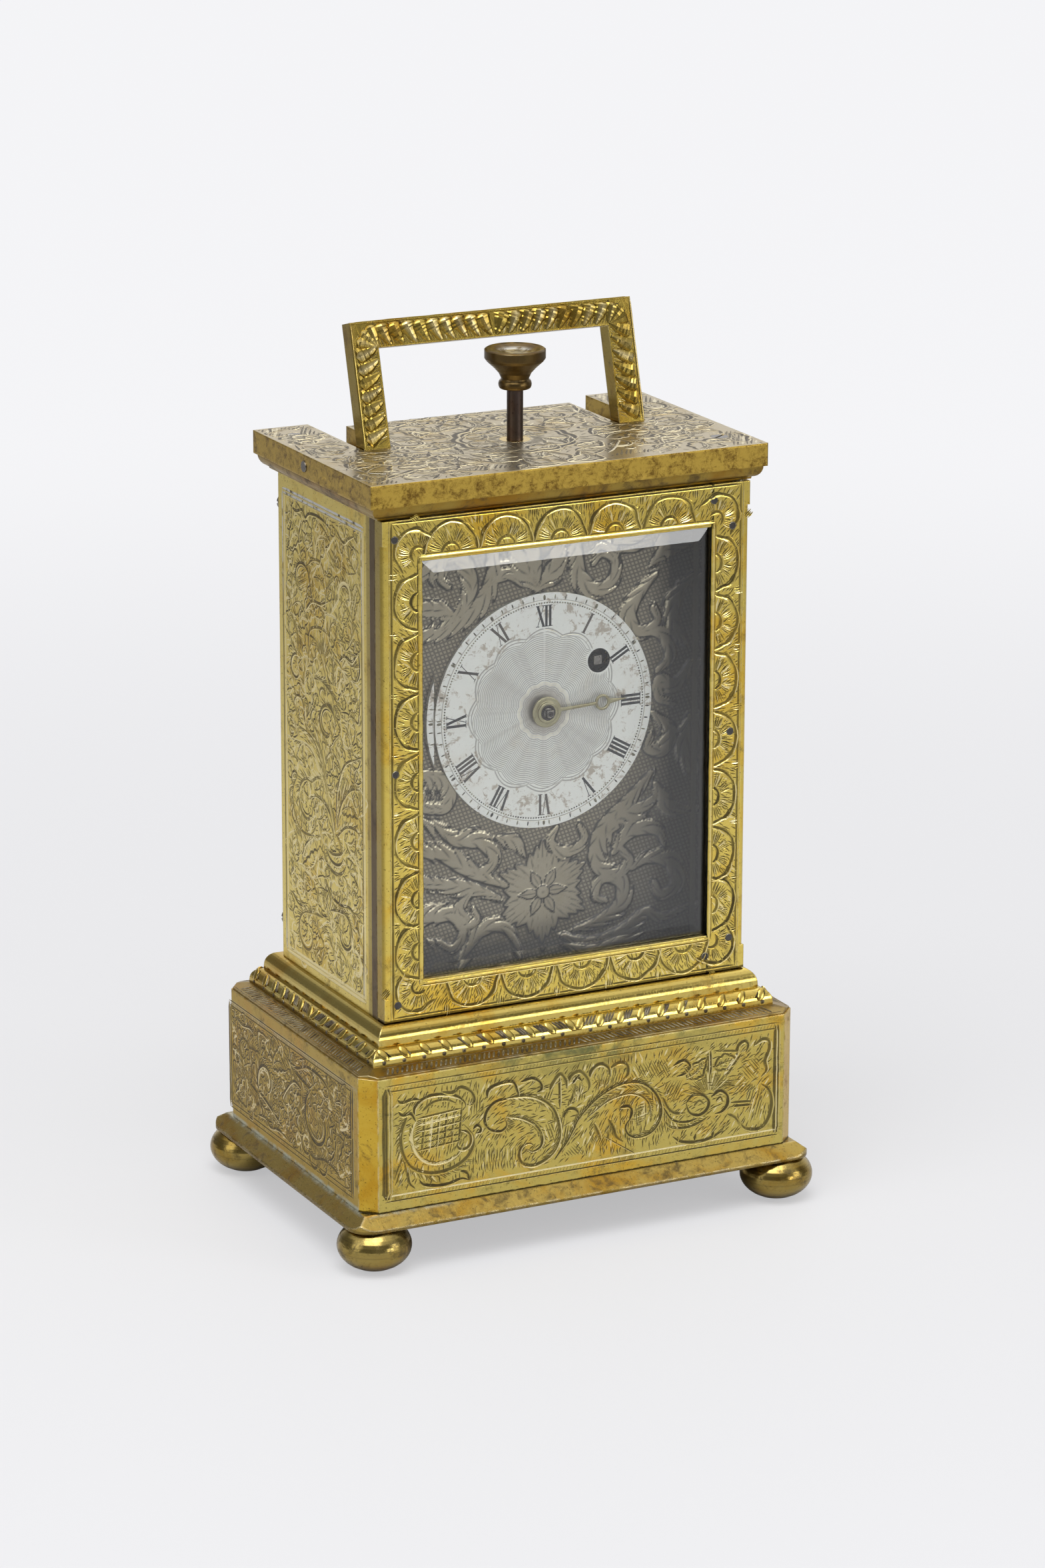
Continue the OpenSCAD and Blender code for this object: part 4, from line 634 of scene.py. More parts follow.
def left_edge_shade(spot):
    """Painted shade: the edges of the door and its frame that look left are darker."""
    return spot.facing()[0].fall(-0.9, -0.5) * 0.6


def reveal_shade(spot):
    """Painted shade: a dark band on the wall of the opening, as it looks through the right bevel."""
    return spot.x.band(26.2, 26.7, 0.05) * 0.9


def front_post_shade(spot):
    """Painted shade: the narrow post in front of the side panel, browner than the panel."""
    return spot.y.fall(-15.6, -14.9) * 0.6


def chalk_border(spot):
    """Dried white polish left in the border of the side, at the top and near the corners."""
    outer = spot.y.rise(16.0, 16.3).larger(spot.y.fall(-13.4, -13.1))
    ends = spot.z.rise(100.0, 112.0).larger(spot.z.fall(43.0, 50.0))
    where = spot.z.rise(120.4, 120.8).larger(outer * ends)
    return where * spot.patches(0.5, 5.0, 0.7, 0.36, 0.5) * attribute(spot.tree, "groove").rise(0.2, 0.6)


def old_joint(low, high, from_x, strength):
    """Pale verdigris and polish in a joint, strongest at the left end."""
    return lambda spot: (spot.z.band(low, high, 0.25) * spot.patches(0.35, 6.0, 0.7, 0.36, 0.56)
                         * (spot.x.fall(from_x - 12.0, from_x) * strength))


def dark_seam(low, high, strength=0.9):
    """Grime and shadow in a joint."""
    return lambda spot: ((spot.z + cloud(spot.tree, spot.place, 0.9, 4.0, 0.7) * 0.5)
                         .band(low + 0.25, high + 0.25, 0.1) * strength)


def olive_cloud(spot):
    """The greenish tarnish above the middle of the plinth's panel."""
    return spot.patches(0.12, 7.0, 0.7, 0.42, 0.6, 0.5) * spot.z.rise(27.0, 33.0) * spot.x.band(-18.0, 20.0, 10.0)


def turned_rings(spot):
    """Fine turning marks, level all round the feet."""
    return cloud(spot.tree, join(spot.tree, Z=spot.z), 2.2, 4.0, 0.8).rise(0.5, 0.62) * 0.45


# %% All marks, each one laid over those before it
for material, share_of, colour in (
        (MASK_METAL, painted_mask_shade, (52, 52, 56)), (BROWN_BRASS, grey_dish, (182, 178, 168)),
        (SILVER, bore_shade, (24, 22, 22)), (MASK_METAL, bore_shade, (20, 20, 20)),
        (TOP_GILT, slab_rim, (196, 164, 76)), (TOP_GILT, rim_blotches, (112, 84, 38)),
        (MOVEMENT_BRASS, arbor_end, (62, 56, 54)), (DOOR_GILT, left_edge_shade, (104, 86, 40)),
        (DOOR_GILT, reveal_shade, (24, 34, 28)), (DOOR_GILT, dark_seam(39.9, 40.5, 0.8), (48, 34, 18)),
        (SIDE_GILT, front_post_shade, (112, 92, 44)), (PLINTH_GILT, dark_seam(9.7, 10.25), (34, 28, 20)),
        (END_GILT, dark_seam(9.7, 10.2, 0.7), (52, 46, 34)), (CANT_GILT, dark_seam(9.7, 10.3), (40, 32, 18)),
        (END_GILT, old_joint(9.6, 10.7, 0.0, 0.85), (186, 192, 178)),
        (END_GILT, old_joint(30.2, 31.2, 0.0, 0.3), (176, 174, 158)),
        (BASE_GILT, old_joint(9.75, 10.4, -20.0, 0.7), (180, 184, 168)),
        (BASE_GILT, dark_seam(7.4, 8.1, 0.5), (78, 62, 30)), (PLINTH_GILT, olive_cloud, (112, 112, 72)),
        (SIDE_CUT, chalk_border, (206, 204, 196)), (FOOT_GILT, turned_rings, (72, 64, 46))):
    overlay(material, share_of, colour)
SILVER_CUT, MASK_CUT = graven(SILVER), graven(MASK_METAL)
for silver in (SILVER, SILVER_CUT):
    overlay(silver, silk_rays, (186, 182, 176))
    overlay(silver, hub_smudge, (150, 138, 124))
    overlay(silver, flaking, (164, 148, 126))
overlay(MASK_CUT, cross_hatch, (58, 54, 50))
finish("dial", SILVER)
finish("dial_mask", MASK_METAL)
print("marks laid over the finishes")

# %% [markdown]
# ## The graver
# Engraving is a line that the graver pushes through the metal. It can't be cut into
# the CAD solid, so each line is a narrow strip that lies on the face: a bottom painted
# dark, grime with painted shade for a depth the strip lacks, and beyond it one low wall
# on the side of the light, the upper left, painted bright as a highlight. A *groove*
# value on its points tells the metal which is which. Hatching uses a simpler strip,
# and a bead is a strip that stands up round, its crest painted bright and its feet dark.


# %% Lines on a flat sheet
def smooth(points, step=0.35):
    """A soft curve through a few points, given as x, y, x, y ... or as pairs, in millimetres."""
    points = np.asarray(points, float).reshape(-1, 2)
    if len(points) < 3:
        count = max(2, int(np.linalg.norm(points[-1] - points[0]) / 1.2) + 2)
        return points[0] + (points[-1] - points[0]) * np.linspace(0, 1, count)[:, None]
    ends = np.vstack([2 * points[0] - points[1], points, 2 * points[-1] - points[-2]])
    parts = []
    for a, b, c, d in zip(ends, ends[1:], ends[2:], ends[3:]):
        t = np.linspace(0, 1, max(2, int(np.linalg.norm(c - b) / step) + 1), endpoint=False)[:, None]
        parts.append(0.5 * (2 * b + (c - a) * t + (2 * a - 5 * b + 4 * c - d) * t ** 2 + (3 * b - a - 3 * c + d) * t ** 3))
    return np.vstack(parts + [points[-1:]])


def arc(x, y, radius, start, end, squash=1.0):
    """Part of a circle or an ellipse, angles in degrees."""
    a = np.radians(np.linspace(start, end, max(4, int(abs(end - start) * radius / 25) + 3)))
    return np.stack([x + radius * np.cos(a), y + radius * squash * np.sin(a)], 1)


def curl(x, y, radius, start, turn, tighten=0.35):
    """A spiral that winds in: it starts at an angle and turns by so many degrees."""
    t = np.linspace(0, 1, max(6, int(abs(turn) * radius / 30) + 4))
    a, r = np.radians(start + turn * t), radius * (1 - (1 - tighten) * t)
    return np.stack([x + r * np.cos(a), y + r * np.sin(a)], 1)


def ray(radians):
    """A step of 1 in a direction."""
    return np.array([math.cos(radians), math.sin(radians)])


FLAT_ENDS = (0.01, 0.01)


class Sheet:
    """Cuts collected on a flat drawing, before they are laid on a face."""

    def __init__(self, seed):
        self.dice = np.random.default_rng(seed)
        self.cuts = []

    def cut(self, points, width=0.3, taper=(0.15, 0.3), fine=True):
        """One line of the graver through a few points; taper is the share of it that swells and that fades."""
        line = smooth(points) if fine else np.asarray(points, float)
        if len(line) > 1:
            self.cuts.append((line, width, taper, False))
        return line

    def rule(self, points, width=0.36):
        """A straight line that keeps its width."""
        self.cut(points, width, FLAT_ENDS)

    def bead(self, points, width=0.4):
        """A fine raised line, such as the thread round an opening."""
        self.cuts.append((smooth(points), width, FLAT_ENDS, "bead"))

    def hair(self, a, b, width=0.19):
        """One light stroke of hatching."""
        middle = (np.asarray(a, float) + b) / 2 + self.dice.normal(0, 0.03, 2)
        self.cuts.append((np.array([a, middle, b], float), width, (0.3, 0.45), True))

    def comb(self, line, side=1, length=1.2, lean=40.0, pitch=0.42, width=0.19, start=0.0, end=1.0):
        """Hatching that springs from a line, all strokes leaning the same way."""
        steps = np.linalg.norm(np.diff(line, axis=0), axis=1)
        along = np.concatenate([[0], np.cumsum(steps)])
        for s in np.arange(start * along[-1], end * along[-1], pitch * 1.2):
            p, q = (np.array([np.interp(at, along, line[:, i]) for i in (0, 1)]) for at in (s, s + 0.1))
            way = ray(math.atan2(*(q - p)[::-1]) + math.radians(lean + self.dice.normal(0, 4)) * side)
            fade = math.sin(math.pi * min(1, 0.25 + 0.75 * s / along[-1])) ** 0.4
            reach = length * self.dice.uniform(0.65, 1.2) * fade
            self.hair(p + 0.12 * way, p + 0.12 * way + reach * way, width)

    def plume(self, points, width, side, length, lean=40.0, pitch=0.42):
        """A line with a comb on it."""
        self.comb(self.cut(points, width), side, length, lean, pitch)

    def fan(self, x, y, start, end, near, far, count, width=0.14, drop=False):
        """Strokes that radiate from a point; drop adds a tear-shaped cut at each end."""
        for a in np.radians(np.linspace(start, end, count) + self.dice.normal(0, 1.5, count)):
            way, reach = ray(a), far * self.dice.uniform(0.82, 1.08)
            self.hair((x, y) + near * way, (x, y) + reach * way, width)
            if drop:
                self.cut([(x, y) + reach * 0.8 * way, (x, y) + reach * 1.08 * way], 0.34, (0.7, 0.3))

    def patch(self, outline, angle, pitch=0.5, width=0.17):
        """Parallel hatching inside an outline."""
        c, s = ray(math.radians(angle))
        turned = np.asarray(outline, float).reshape(-1, 2) @ np.array([[c, -s], [s, c]])
        for v in np.arange(turned[:, 1].min() + pitch / 2, turned[:, 1].max(), pitch * 1.15):
            v += self.dice.normal(0, 0.04)
            hits = sorted(a[0] + (v - a[1]) / (b[1] - a[1]) * (b[0] - a[0])
                          for a, b in zip(turned, np.roll(turned, -1, 0)) if (a[1] <= v) != (b[1] <= v))
            for u0, u1 in zip(hits[::2], hits[1::2]):
                if u1 - u0 > 0.25:
                    ends = np.array([[u0, v], [u1, v]]) @ np.array([[c, s], [-s, c]])
                    self.hair(*ends, width)

    def fill(self, box, flow, sizes, strokes, near=9.0, width=0.26):
        """Crowds what is still empty: lobed leaves of falling size, then short strokes."""
        x0, y0, x1, y1 = box
        step, window = 0.25, 10
        gx, gy = np.meshgrid(np.arange(x0, x1, step), np.arange(y0, y1, step))
        free = np.minimum.reduce([gx - x0, x1 - gx, gy - y0, y1 - gy]) + 0.3

        def mark(line):
            for px, py in line:
                i, k = int((px - x0) / step), int((py - y0) / step)
                if i + window + 1 > 0 and k + window + 1 > 0:
                    near_by = np.s_[max(0, k - window):k + window + 1, max(0, i - window):i + window + 1]
                    free[near_by] = np.minimum(free[near_by], np.hypot(gx[near_by] - px, gy[near_by] - py))

        def spot(gap, most=99.0):
            where = np.flatnonzero((free > gap) & (free < most))
            if not len(where):
                return None
            k = where[self.dice.integers(len(where))]
            return np.array([gx.flat[k], gy.flat[k]])

        for line, *_ in list(self.cuts):
            mark(line)
        for size, count in sizes:
            for _ in range(count):
                middle = spot(0.3 * size)
                if middle is None:
                    break
                a = flow(*middle) + self.dice.normal(0, 0.35)
                way = size * self.dice.uniform(0.85, 1.15) / 2 * ray(a)
                before = len(self.cuts)
                bend = self.dice.choice((-1, 1)) * self.dice.uniform(0.1, 0.3)
                self.leaf(middle - way, middle + way, bend, 0.8, 3, width, size > 1.9)
                for line, *_ in self.cuts[before:]:
                    mark(line)
        for _ in range(strokes):
            middle = spot(0.3, near)
            if middle is None:
                break
            a = flow(*middle) + 1.0 + self.dice.normal(0, 0.15)
            way = self.dice.uniform(0.4, 0.95) * ray(a)
            self.hair(middle - way, middle + way)
            mark([middle + share * way for share in (-1, -0.5, 0, 0.5, 1)])

    def leaf(self, base, tip, bend=0.25, fat=0.32, lobes=4, width=0.28, veins=True):
        """An acanthus leaf: two lobed edges, a curved midrib and its veins."""
        base, tip = np.asarray(base, float), np.asarray(tip, float)
        way = tip - base
        size, normal = np.linalg.norm(way), np.array([-way[1], way[0]]) / np.linalg.norm(way)
        t = np.linspace(0, 1, 4 * lobes + 1)
        spine = base + way * t[:, None] + normal * (bend * size * np.sin(math.pi * t))[:, None]
        swell = np.sin(math.pi * t ** 0.8) * fat * size * 0.5 * (1 + 0.28 * np.abs(np.sin(math.pi * lobes * t)))
        for side in (-1, 1):
            self.cut(spine + normal * (side * swell)[:, None], width, (0.1, 0.15), fine=False)
        self.cut(spine[: int(len(spine) * 0.85)], width * 0.8, (0.1, 0.7), fine=False)
        if veins:
            for side in (-1, 1):
                self.comb(spine, side, fat * size * 0.3, 35, 0.5, start=0.15, end=0.85)

    def scroll(self, x, y, radius, start, turn, tail=None, lobes=3, width=0.32, feather=1.3):
        """A curling stem: a double spiral, feathering outside it and lobes on its back."""
        line = curl(x, y, radius, start, turn)
        if tail is not None:
            middle = (np.asarray(tail, float) + line[0]) / 2 + self.dice.normal(0, 0.3, 2)
            line = np.vstack([smooth([tail, middle, line[0]]), line[1:]])
        self.cut(line, width, (0.1, 0.25), fine=False)
        self.cut(curl(x, y, radius * 0.76, start + turn * 0.12, turn * 0.7), width * 0.6, (0.3, 0.4), fine=False)
        self.comb(line, -1 if turn > 0 else 1, feather, 38, 0.4, end=0.75)
        self.fan(x, y, 0, 330, 0.1 * radius, 0.32 * radius, 7, 0.2)
        for k in range(lobes):
            a = math.radians(start + turn * (0.16 + 0.42 * k / lobes))
            p, middle = (x, y) + 1.28 * radius * ray(a), math.degrees(a)
            self.cut(arc(*p, 0.3 * radius, middle - 100, middle + 100), width * 0.8, (0.2, 0.2), fine=False)


# %% [markdown]
# The drawing is still flat. *Carve* lays it on a face: it builds the strip of every
# line, gives each point its height above the face and its groove value, and hands
# back one mesh piece that rides on the body that the face belongs to.

# %% From lines to metal
# Each row is a point across the strip: its place from -1 to 1, its height and its groove value.
# Positive groove values darken, grime with painted shade; negative ones paint a highlight on a cut's lit wall and a
# bead's crest.
CUT_SHAPE = np.array([[-1, 0, 0.6], [-0.75, 0.01, 1], [-0.22, 0, 1], [0.22, 0.01, 1], [0.75, 0.065, -0.85],
                      [1, 0, -0.3]])
HAIR_SHAPE = np.array([[-1, 0.01, 0.9], [-0.35, 0.01, 1], [0.35, 0.02, 0.75], [1, 0.02, -0.6]])
BEAD_SHAPE = np.array([[-1, 0, 0.6], [-0.6, 0.14, 0], [0, 0.2, -0.3], [0.6, 0.14, 0], [1, 0, 0.6]])
STROKE_WIDTH = 1.75
# BRIGHT_WALL: the flat direction the light comes from; the wall on that side of each cut is raised and painted bright.
BRIGHT_WALL = np.array([0.6, -0.8])


def make_piece(name, points, faces, material, body, groove=None, soft=False):
    """A mesh piece at the origin, in metres, that rides on a body."""
    mesh = bpy.data.meshes.new(name)
    mesh.from_pydata((np.asarray(points) * MM).tolist(), [], faces if isinstance(faces, list) else faces.tolist())
    if groove is not None:
        mesh.attributes.new("groove", "FLOAT", "POINT").data.foreach_set("value", np.asarray(groove, np.float32))
    mesh.materials.append(material)
    if soft:
        mesh.shade_smooth()
    piece = bpy.data.objects.new(name, mesh)
    bpy.context.scene.collection.objects.link(piece)
    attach(piece, body)
    return piece


def strips(cuts, bright):
    """Flat points, heights, groove values and faces of all the lines; a share of the fine ones is painted bright as a
    highlight.
    """
    dice = np.random.default_rng(1)
    flat, high, deep, faces, first = [], [], [], [], 0
    for line, width, taper, kind in cuts:
        shape = BEAD_SHAPE if kind == "bead" else HAIR_SHAPE if kind else CUT_SHAPE
        n, k = len(line), len(shape)
        way = np.gradient(line, axis=0)
        way /= np.maximum(np.linalg.norm(way, axis=1), 1e-9)[:, None]
        side = np.stack([-way[:, 1], way[:, 0]], 1)
        t = np.linspace(0, 1, n)
        swell = np.minimum(1, t / taper[0] + 0.12) ** 0.7 * np.minimum(1, (1 - t) / taper[1] + 0.08) ** 0.7
        half = STROKE_WIDTH * width / 2 * swell * (1 + dice.normal(0, 0.06, n))
        flat.append((line[:, None, :] + side[:, None, :] * (shape[None, :, 0] * half[:, None])[..., None]).reshape(-1,
            2))
        lift = 0.004 + 0.004 * dice.random()
        # lit: how far each point's side faces BRIGHT_WALL; the painted highlight wall goes to that side.
        lit = np.clip(0.5 + 0.9 * side @ BRIGHT_WALL, 0, 1)[:, None]
        profile = shape[None, :, 1:] * lit[..., None] + shape[None, ::-1, 1:] * (1 - lit[..., None])
        high.append((profile[..., 0] * 2 * half[:, None] + lift).ravel())
        values = profile[..., 1] * dice.uniform(0.8, 1.0)
        # Negative values paint highlights of varied strength; a share of fine strokes is painted bright all across.
        values = np.where(values < 0, values * dice.choice((0.2, 0.8, 2.2)), values)
        deep.append((-abs(values) if width < 0.4 and dice.random() < bright else values).ravel())
        grid = first + np.arange(n * k).reshape(n, k)
        faces.append(np.stack([grid[:-1, :-1], grid[1:, :-1], grid[1:, 1:], grid[:-1, 1:]], -1).reshape(-1, 4))
        first += n * k
    return np.vstack(flat), np.concatenate(high), np.concatenate(deep), np.vstack(faces)


def carve(name, sheet, origin, across, upward, material, body="case", mirror=False, bright=0.1):
    """Lays a drawing on a flat face, given by its origin and two directions."""
    flat, high, deep, faces = strips(sheet.cuts, bright)
    across, upward = np.asarray(across, float), np.asarray(upward, float)
    out = np.cross(across, upward)
    if mirror:
        flat, faces = flat * (-1, 1), faces[:, ::-1]
    points = np.asarray(origin, float) + flat[:, :1] * across + flat[:, 1:] * upward + high[:, None] * out
    return make_piece(name, points, faces, material, body, deep)


def trim(sheet, keep):
    """Splits the lines of a drawing where they leave the metal."""
    kept = []
    for line, *rest in sheet.cuts:
        fine = line
        if len(line) <= 6:
            count = max(3, int(np.linalg.norm(line[-1] - line[0]) / 0.4) + 2)
            t = np.linspace(0, len(line) - 1, count)
            fine = np.stack([np.interp(t, range(len(line)), line[:, i]) for i in (0, 1)], 1)
        edges = np.flatnonzero(np.diff(np.concatenate([[0], keep(fine).astype(int), [0]])))
        kept += [(fine[a:b], *rest) for a, b in zip(edges[::2], edges[1::2]) if b - a > 1]
    sheet.cuts = kept


def milled(sheet, x0, x1, y, high=0.8, pitch=0.62, lean=0.35):
    """A level border line: a row of short slanting nicks between two fine lines."""
    for x in np.arange(x0 + 0.3, x1 - 0.3, pitch):
        sheet.cuts.append((np.array([[x, y - high / 2], [x + lean, y + high / 2]]), 0.2, (0.2, 0.2), True))
    for edge_y in (y - 0.6 * high, y + 0.6 * high):
        sheet.rule([(x0, edge_y), (x1, edge_y)], 0.16)


RIGHT, LEFT, REAR, FRONT, UP = (1, 0, 0), (-1, 0, 0), (0, 1, 0), (0, -1, 0), (0, 0, 1)
print("graver ready")

# %% [markdown]
# ## The plinth's front
# The long panel carries the clock's best engraving: a big C-shaped cartouche round
# a lattice, two running scrolls with lobed leaves above them, and a fan with
# pointed rays at the right. The curves below are drawn in millimetres from
# the middle of the panel and from the floor, and the feathering follows them.

# %% Plinth front drawing
PLINTH_FACE = 28.0
front = Sheet(11)
big_c = front.cut([-32.6,26.1, -33.5,24, -33.7,22, -33.2,19.5, -31.9,17.3, -30,16.1, -27.8,15.5, -25.4,15.6,
                  -23.2,16.3, -21.5,17.5, -20.6,19.1, -20.6,20.6, -21.1,21.7, -22.4,23.2], 0.42, (0.05, 0.2))
front.comb(big_c, -1, 2, 32, 0.32, end=0.72)
inner = front.cut([-30.9,25.2, -31.8,23, -31.4,20.4, -30,18.2, -27.8,17.1, -25.2,17.2, -23.2,18.2, -22.3,19.8], 0.3)
front.comb(inner, 1, 1.1, 30, 0.3, start=0.1)
front.comb(inner, -1, 0.9, 150, 0.3, start=0.1)
front.cut([-31.2,26, -31.2,27.3, -30.2,28.4, -28.3,29, -25.5,28.8, -23.3,28, -22.1,26.9, -21.9,26], 0.4)
front.cut([-29.9,26.6, -28,27.8, -25.6,27.9, -23.6,27], 0.3)
front.cut([-26.4,29.4, -24.4,28.9, -22.9,29.6, -21,28.6, -20.3,27.1, -20.9,26.3, -21.8,26.6], 0.4)
front.cut([-34.4,29.3, -33.5,28.6, -31.6,28.9, -30.2,28.6], 0.4)
front.cut([-34.2,27.2, -33.4,26.4, -31.9,26.4, -31,25], 0.45)
front.cut([-32.6,17.4, -32.2,14.6, -31.2,13.4], 0.35)
front.cut([-30.5,14.9, -29.6,13.8, -27.4,13.2, -25.1,13.2, -22.8,13.7, -21.4,13.3], 0.4)
front.cut([-23,15.1, -21.7,14.5, -21.3,13.3], 0.35)
front.cut(curl(-22.6, 20, 2.1, 100, -300), 0.35)
front.patch([-21.8,15.9, -12.8,15.4, -12.6,17.6, -19.4,18.4], 88, 0.42)
for k in range(6):
    front.cut([(-30 + 1.35 * k, 19.2 + 0.08 * k), (-29.4 + 1.35 * k, 25.6 + 0.16 * k)], 0.24, (0.1, 0.1))
for k in range(6):
    front.cut([(-30.8, 19.9 + 1.1 * k), (-22.6, 20.5 + 1.1 * k)], 0.24, (0.1, 0.1))
for i in range(5):
    for k in range(5):
        p = np.array([-29.2 + 1.36 * i + 0.1 * k, 20.5 + 1.1 * k + 0.08 * i])
        front.cut([p - (0.14, 0.14), p + (0.16, 0.18)], 0.42, (0.4, 0.4))
front.patch([-30.6,19.4, -29.6,25.6, -31,25, -31.6,22], 20, 0.3)
front.cut([-18,27, -17.7,28.4, -15.8,29.1, -13.3,29, -12.4,27.2, -12.2,26.4], 0.45)
front.cut([-13.7,26.3, -16.4,26.1, -18,24.8, -18.4,22.9, -17.5,21.4, -15.6,20.8, -14.4,21.7, -14.9,23], 0.35)
front.fan(-15.2, 22, -70, 60, 0.6, 2.4, 12)
s_curve = front.cut([-14.6,26.4, -11,26.3, -8.3,25.3, -6,23.4, -4.9,20.9, -4.6,18.2, -5.5,15.9, -7.4,14.4, -9.6,13.8,
                    -11.5,14.5, -12.1,16.1, -11.6,17.5, -10.1,17.8, -9.1,16.9], 0.42, (0.1, 0.2))
front.comb(s_curve, -1, 2, 30, 0.3, end=0.62)
front.comb(s_curve, 1, 1.3, 28, 0.33, start=0.1, end=0.55)
s_inner = front.cut([-14.6,23.2, -11.9,22.6, -9.3,21, -7.9,18.8, -8.1,17, -9.6,16.3, -10.8,17], 0.35)
front.comb(s_inner, 1, 1.1, 35, 0.33)
front.comb(s_inner, -1, 1.3, 30, 0.33, end=0.6)
front.cut([-11.9,28.8, -9.8,29.1, -8.3,28.2, -8,27, -9,26.5], 0.4)
front.cut([-20.6,22, -19.9,22.5, -19.2,22, -19.3,21.3, -20.2,21.2], 0.35)
front.cut([-6.5,26.5, -5.9,27.7, -4.6,29, -3.5,27.7, -3.3,26.3], 0.45)
front.cut([-4.7,28.6, -4.6,23], 0.3)
front.cut([-3.3,27, -2.5,28.5, -1,28.9, 0.2,27.9, 0.9,26.4, 0.6,25.3], 0.45)
front.cut([-2.3,27, -1.4,27.9, -0.4,27.1], 0.3)
front.cut([0.8,27.4, 1.4,28.9, 2.9,29.6, 4.4,28.7, 4.8,27.1], 0.45)
front.cut([4.7,28.6, 6.4,29.3, 7.9,28.7, 8.1,27.1, 7,26.2], 0.45)
front.fan(-1.2, 24.3, 60, 125, 0.4, 2.4, 10, drop=True)
front.fan(3.2, 25, 50, 120, 0.5, 2.6, 9, drop=True)
front.plume([-3.2,23.2, -2.3,24.6, -1.7,26.4], 0.3, -1, 1)
arch = front.cut([-5.6,14.2, -3.4,16.9, -2.2,18.9, -1,20.9, 2.2,23.7, 6.2,25.4, 9.7,25.4, 12.3,24, 14.1,21.3,
                 14.3,18.6, 12.8,16.3, 10.1,15.6, 8.3,16.3, 7.7,17.7, 8.4,18.9, 9.7,18.8], 0.42, (0.1, 0.2))
front.comb(arch, -1, 2.3, 30, 0.28, start=0.2, end=0.85)
front.comb(arch, 1, 1.5, 32, 0.3, start=0.05, end=0.7)
front.plume([0.4,20.6, 4.2,22.9, 8,23.6, 10.6,22.8, 12.2,20.9, 12.3,18.8], 0.28, 1, 1.6, 32, 0.28)
front.cut([1.7,19.5, 2.5,17.7, 3.1,16.2], 0.5, (0.3, 0.3))
front.cut([4.4,19.8, 5.4,17.9, 6,16.3, 7.2,15.3], 0.45)
front.cut([6.6,21.4, 8.3,21.3, 8.9,20.2, 8.3,18.6], 0.4)
front.cut([-4,21.4, -3.1,22.6, -1.6,22.3, -0.9,21], 0.38)
for x, y in ((5.6, 23.4), (6.5, 23.2), (-9, 23.6), (-8.4, 24.1), (12, 20.9), (12.1, 19.9), (-16.2, 18.9),
        (-12.2, 24.8), (16.8, 21.2)):
    front.cut([(x - 0.15, y - 0.4), (x + 0.15, y + 0.4)], 0.42, (0.5, 0.3))
front.patch([0.4,16, 4.2,14.8, 3.4,18.6, 1,18.2], 60, 0.36)
front.patch([-4.4,14.6, 0.2,14.2, -1.4,16.9], 130, 0.36)
front.patch([9,20.2, 11.2,22.4, 12,19.4, 9.8,17.2], 92, 0.3)
front.patch([9,20.2, 11.2,22.4, 12,19.4, 9.8,17.2], 12, 0.32)
front.patch([8.4,26.2, 16.2,25.2, 15.4,28.8, 9,28.6], 118, 0.38)
front.patch([-8.2,13.6, -20,14.6, -18.8,16.2, -12.6,15.4], 96, 0.45)
front.cut([16.6,27.2, 18.6,27.8, 19.8,26.6, 18.6,25.4, 17.2,25.2], 0.42)
front.cut([14.6,22, 15.9,19.6, 17.3,18.6, 19,18.5], 0.4)
front.cut([14.9,17.8, 16.4,16.3, 19,15.8, 21.6,16.3, 23.4,17.2], 0.34)
front.plume([14.6,20.4, 16.6,17.6, 19.4,16.8, 22.4,17.6], 0.3, -1, 1.7, 30, 0.3)
front.cut([19.1,20.2, 20.4,21.3, 22.4,21, 23.5,19.6, 22.9,18.2, 21.4,17.6, 19.8,18.4, 19.1,20.2], 0.4)
front.cut([20.6,19.4, 21.6,20.2, 22.6,19.4], 0.28)
front.cut([23.9,20.5, 25.5,21.3, 26.9,20.4, 27.1,18.8, 26,17.6, 24.6,17.4], 0.42)
front.cut([24.8,19.6, 25.6,20.2, 26.2,19.3], 0.28)
front.fan(23.4, 20.8, 18, 164, 1.1, 4.9, 34, 0.17)
for a, b in (((23.2, 28.8), (23.3, 24.4)), ((23.7, 28.8), (23.8, 24.4)), ((29.6, 27.4), (26.6, 23.6)),
        ((29.2, 27.9), (26.2, 24)), ((18.6, 26.6), (20.6, 24)), ((27.4, 18.9), (32, 18.5)),
        ((27.4, 18.2), (32, 17.9)), ((24.2, 28.6), (29.4, 27.8))):
    front.cut([a, b], 0.3, (0.1, 0.1))
front.leaf((24.4, 25.6), (29, 26.2), 0.1, 0.5, 3, 0.3)
front.leaf((19.2, 24.6), (22.9, 27.6), -0.1, 0.5, 3, 0.3)
front.cut([28.7,27.2, 29,28.8, 30.2,29.4, 30.9,28.6, 30.4,27.4], 0.4)
front.cut([32,28.4, 33.6,29.2, 34.8,28.8, 35,27.4, 34.2,25.4, 34.5,23.7, 33.4,22.6], 0.45)
front.cut([33.4,21.4, 35,20, 35.6,17.7, 35,15, 33.4,13.4, 30.8,13.7, 29.4,15.2, 29,16.8], 0.45)
front.cut([27,17, 28.6,16, 29.8,14.2], 0.35)
front.patch([30.2,21.8, 33.6,21.2, 34.2,16, 31.2,14.6], 74, 0.45)
front.patch([29.4,25.8, 33,26.4, 33.2,22.6, 30,22.4], 130, 0.4)
front.cut([16.6,14.6, 18.3,13.4, 20.9,12.9, 23.5,13.1, 25.7,14, 26.5,15], 0.42)
for x in (17.4, 20.8, 24.2):
    front.cut([(x, 13.2), (x + 0.2, 14.5)], 0.36, (0.3, 0.3))
front.cut([3.6,16.8, 9.8,12.6], 0.14, (0.1, 0.3))
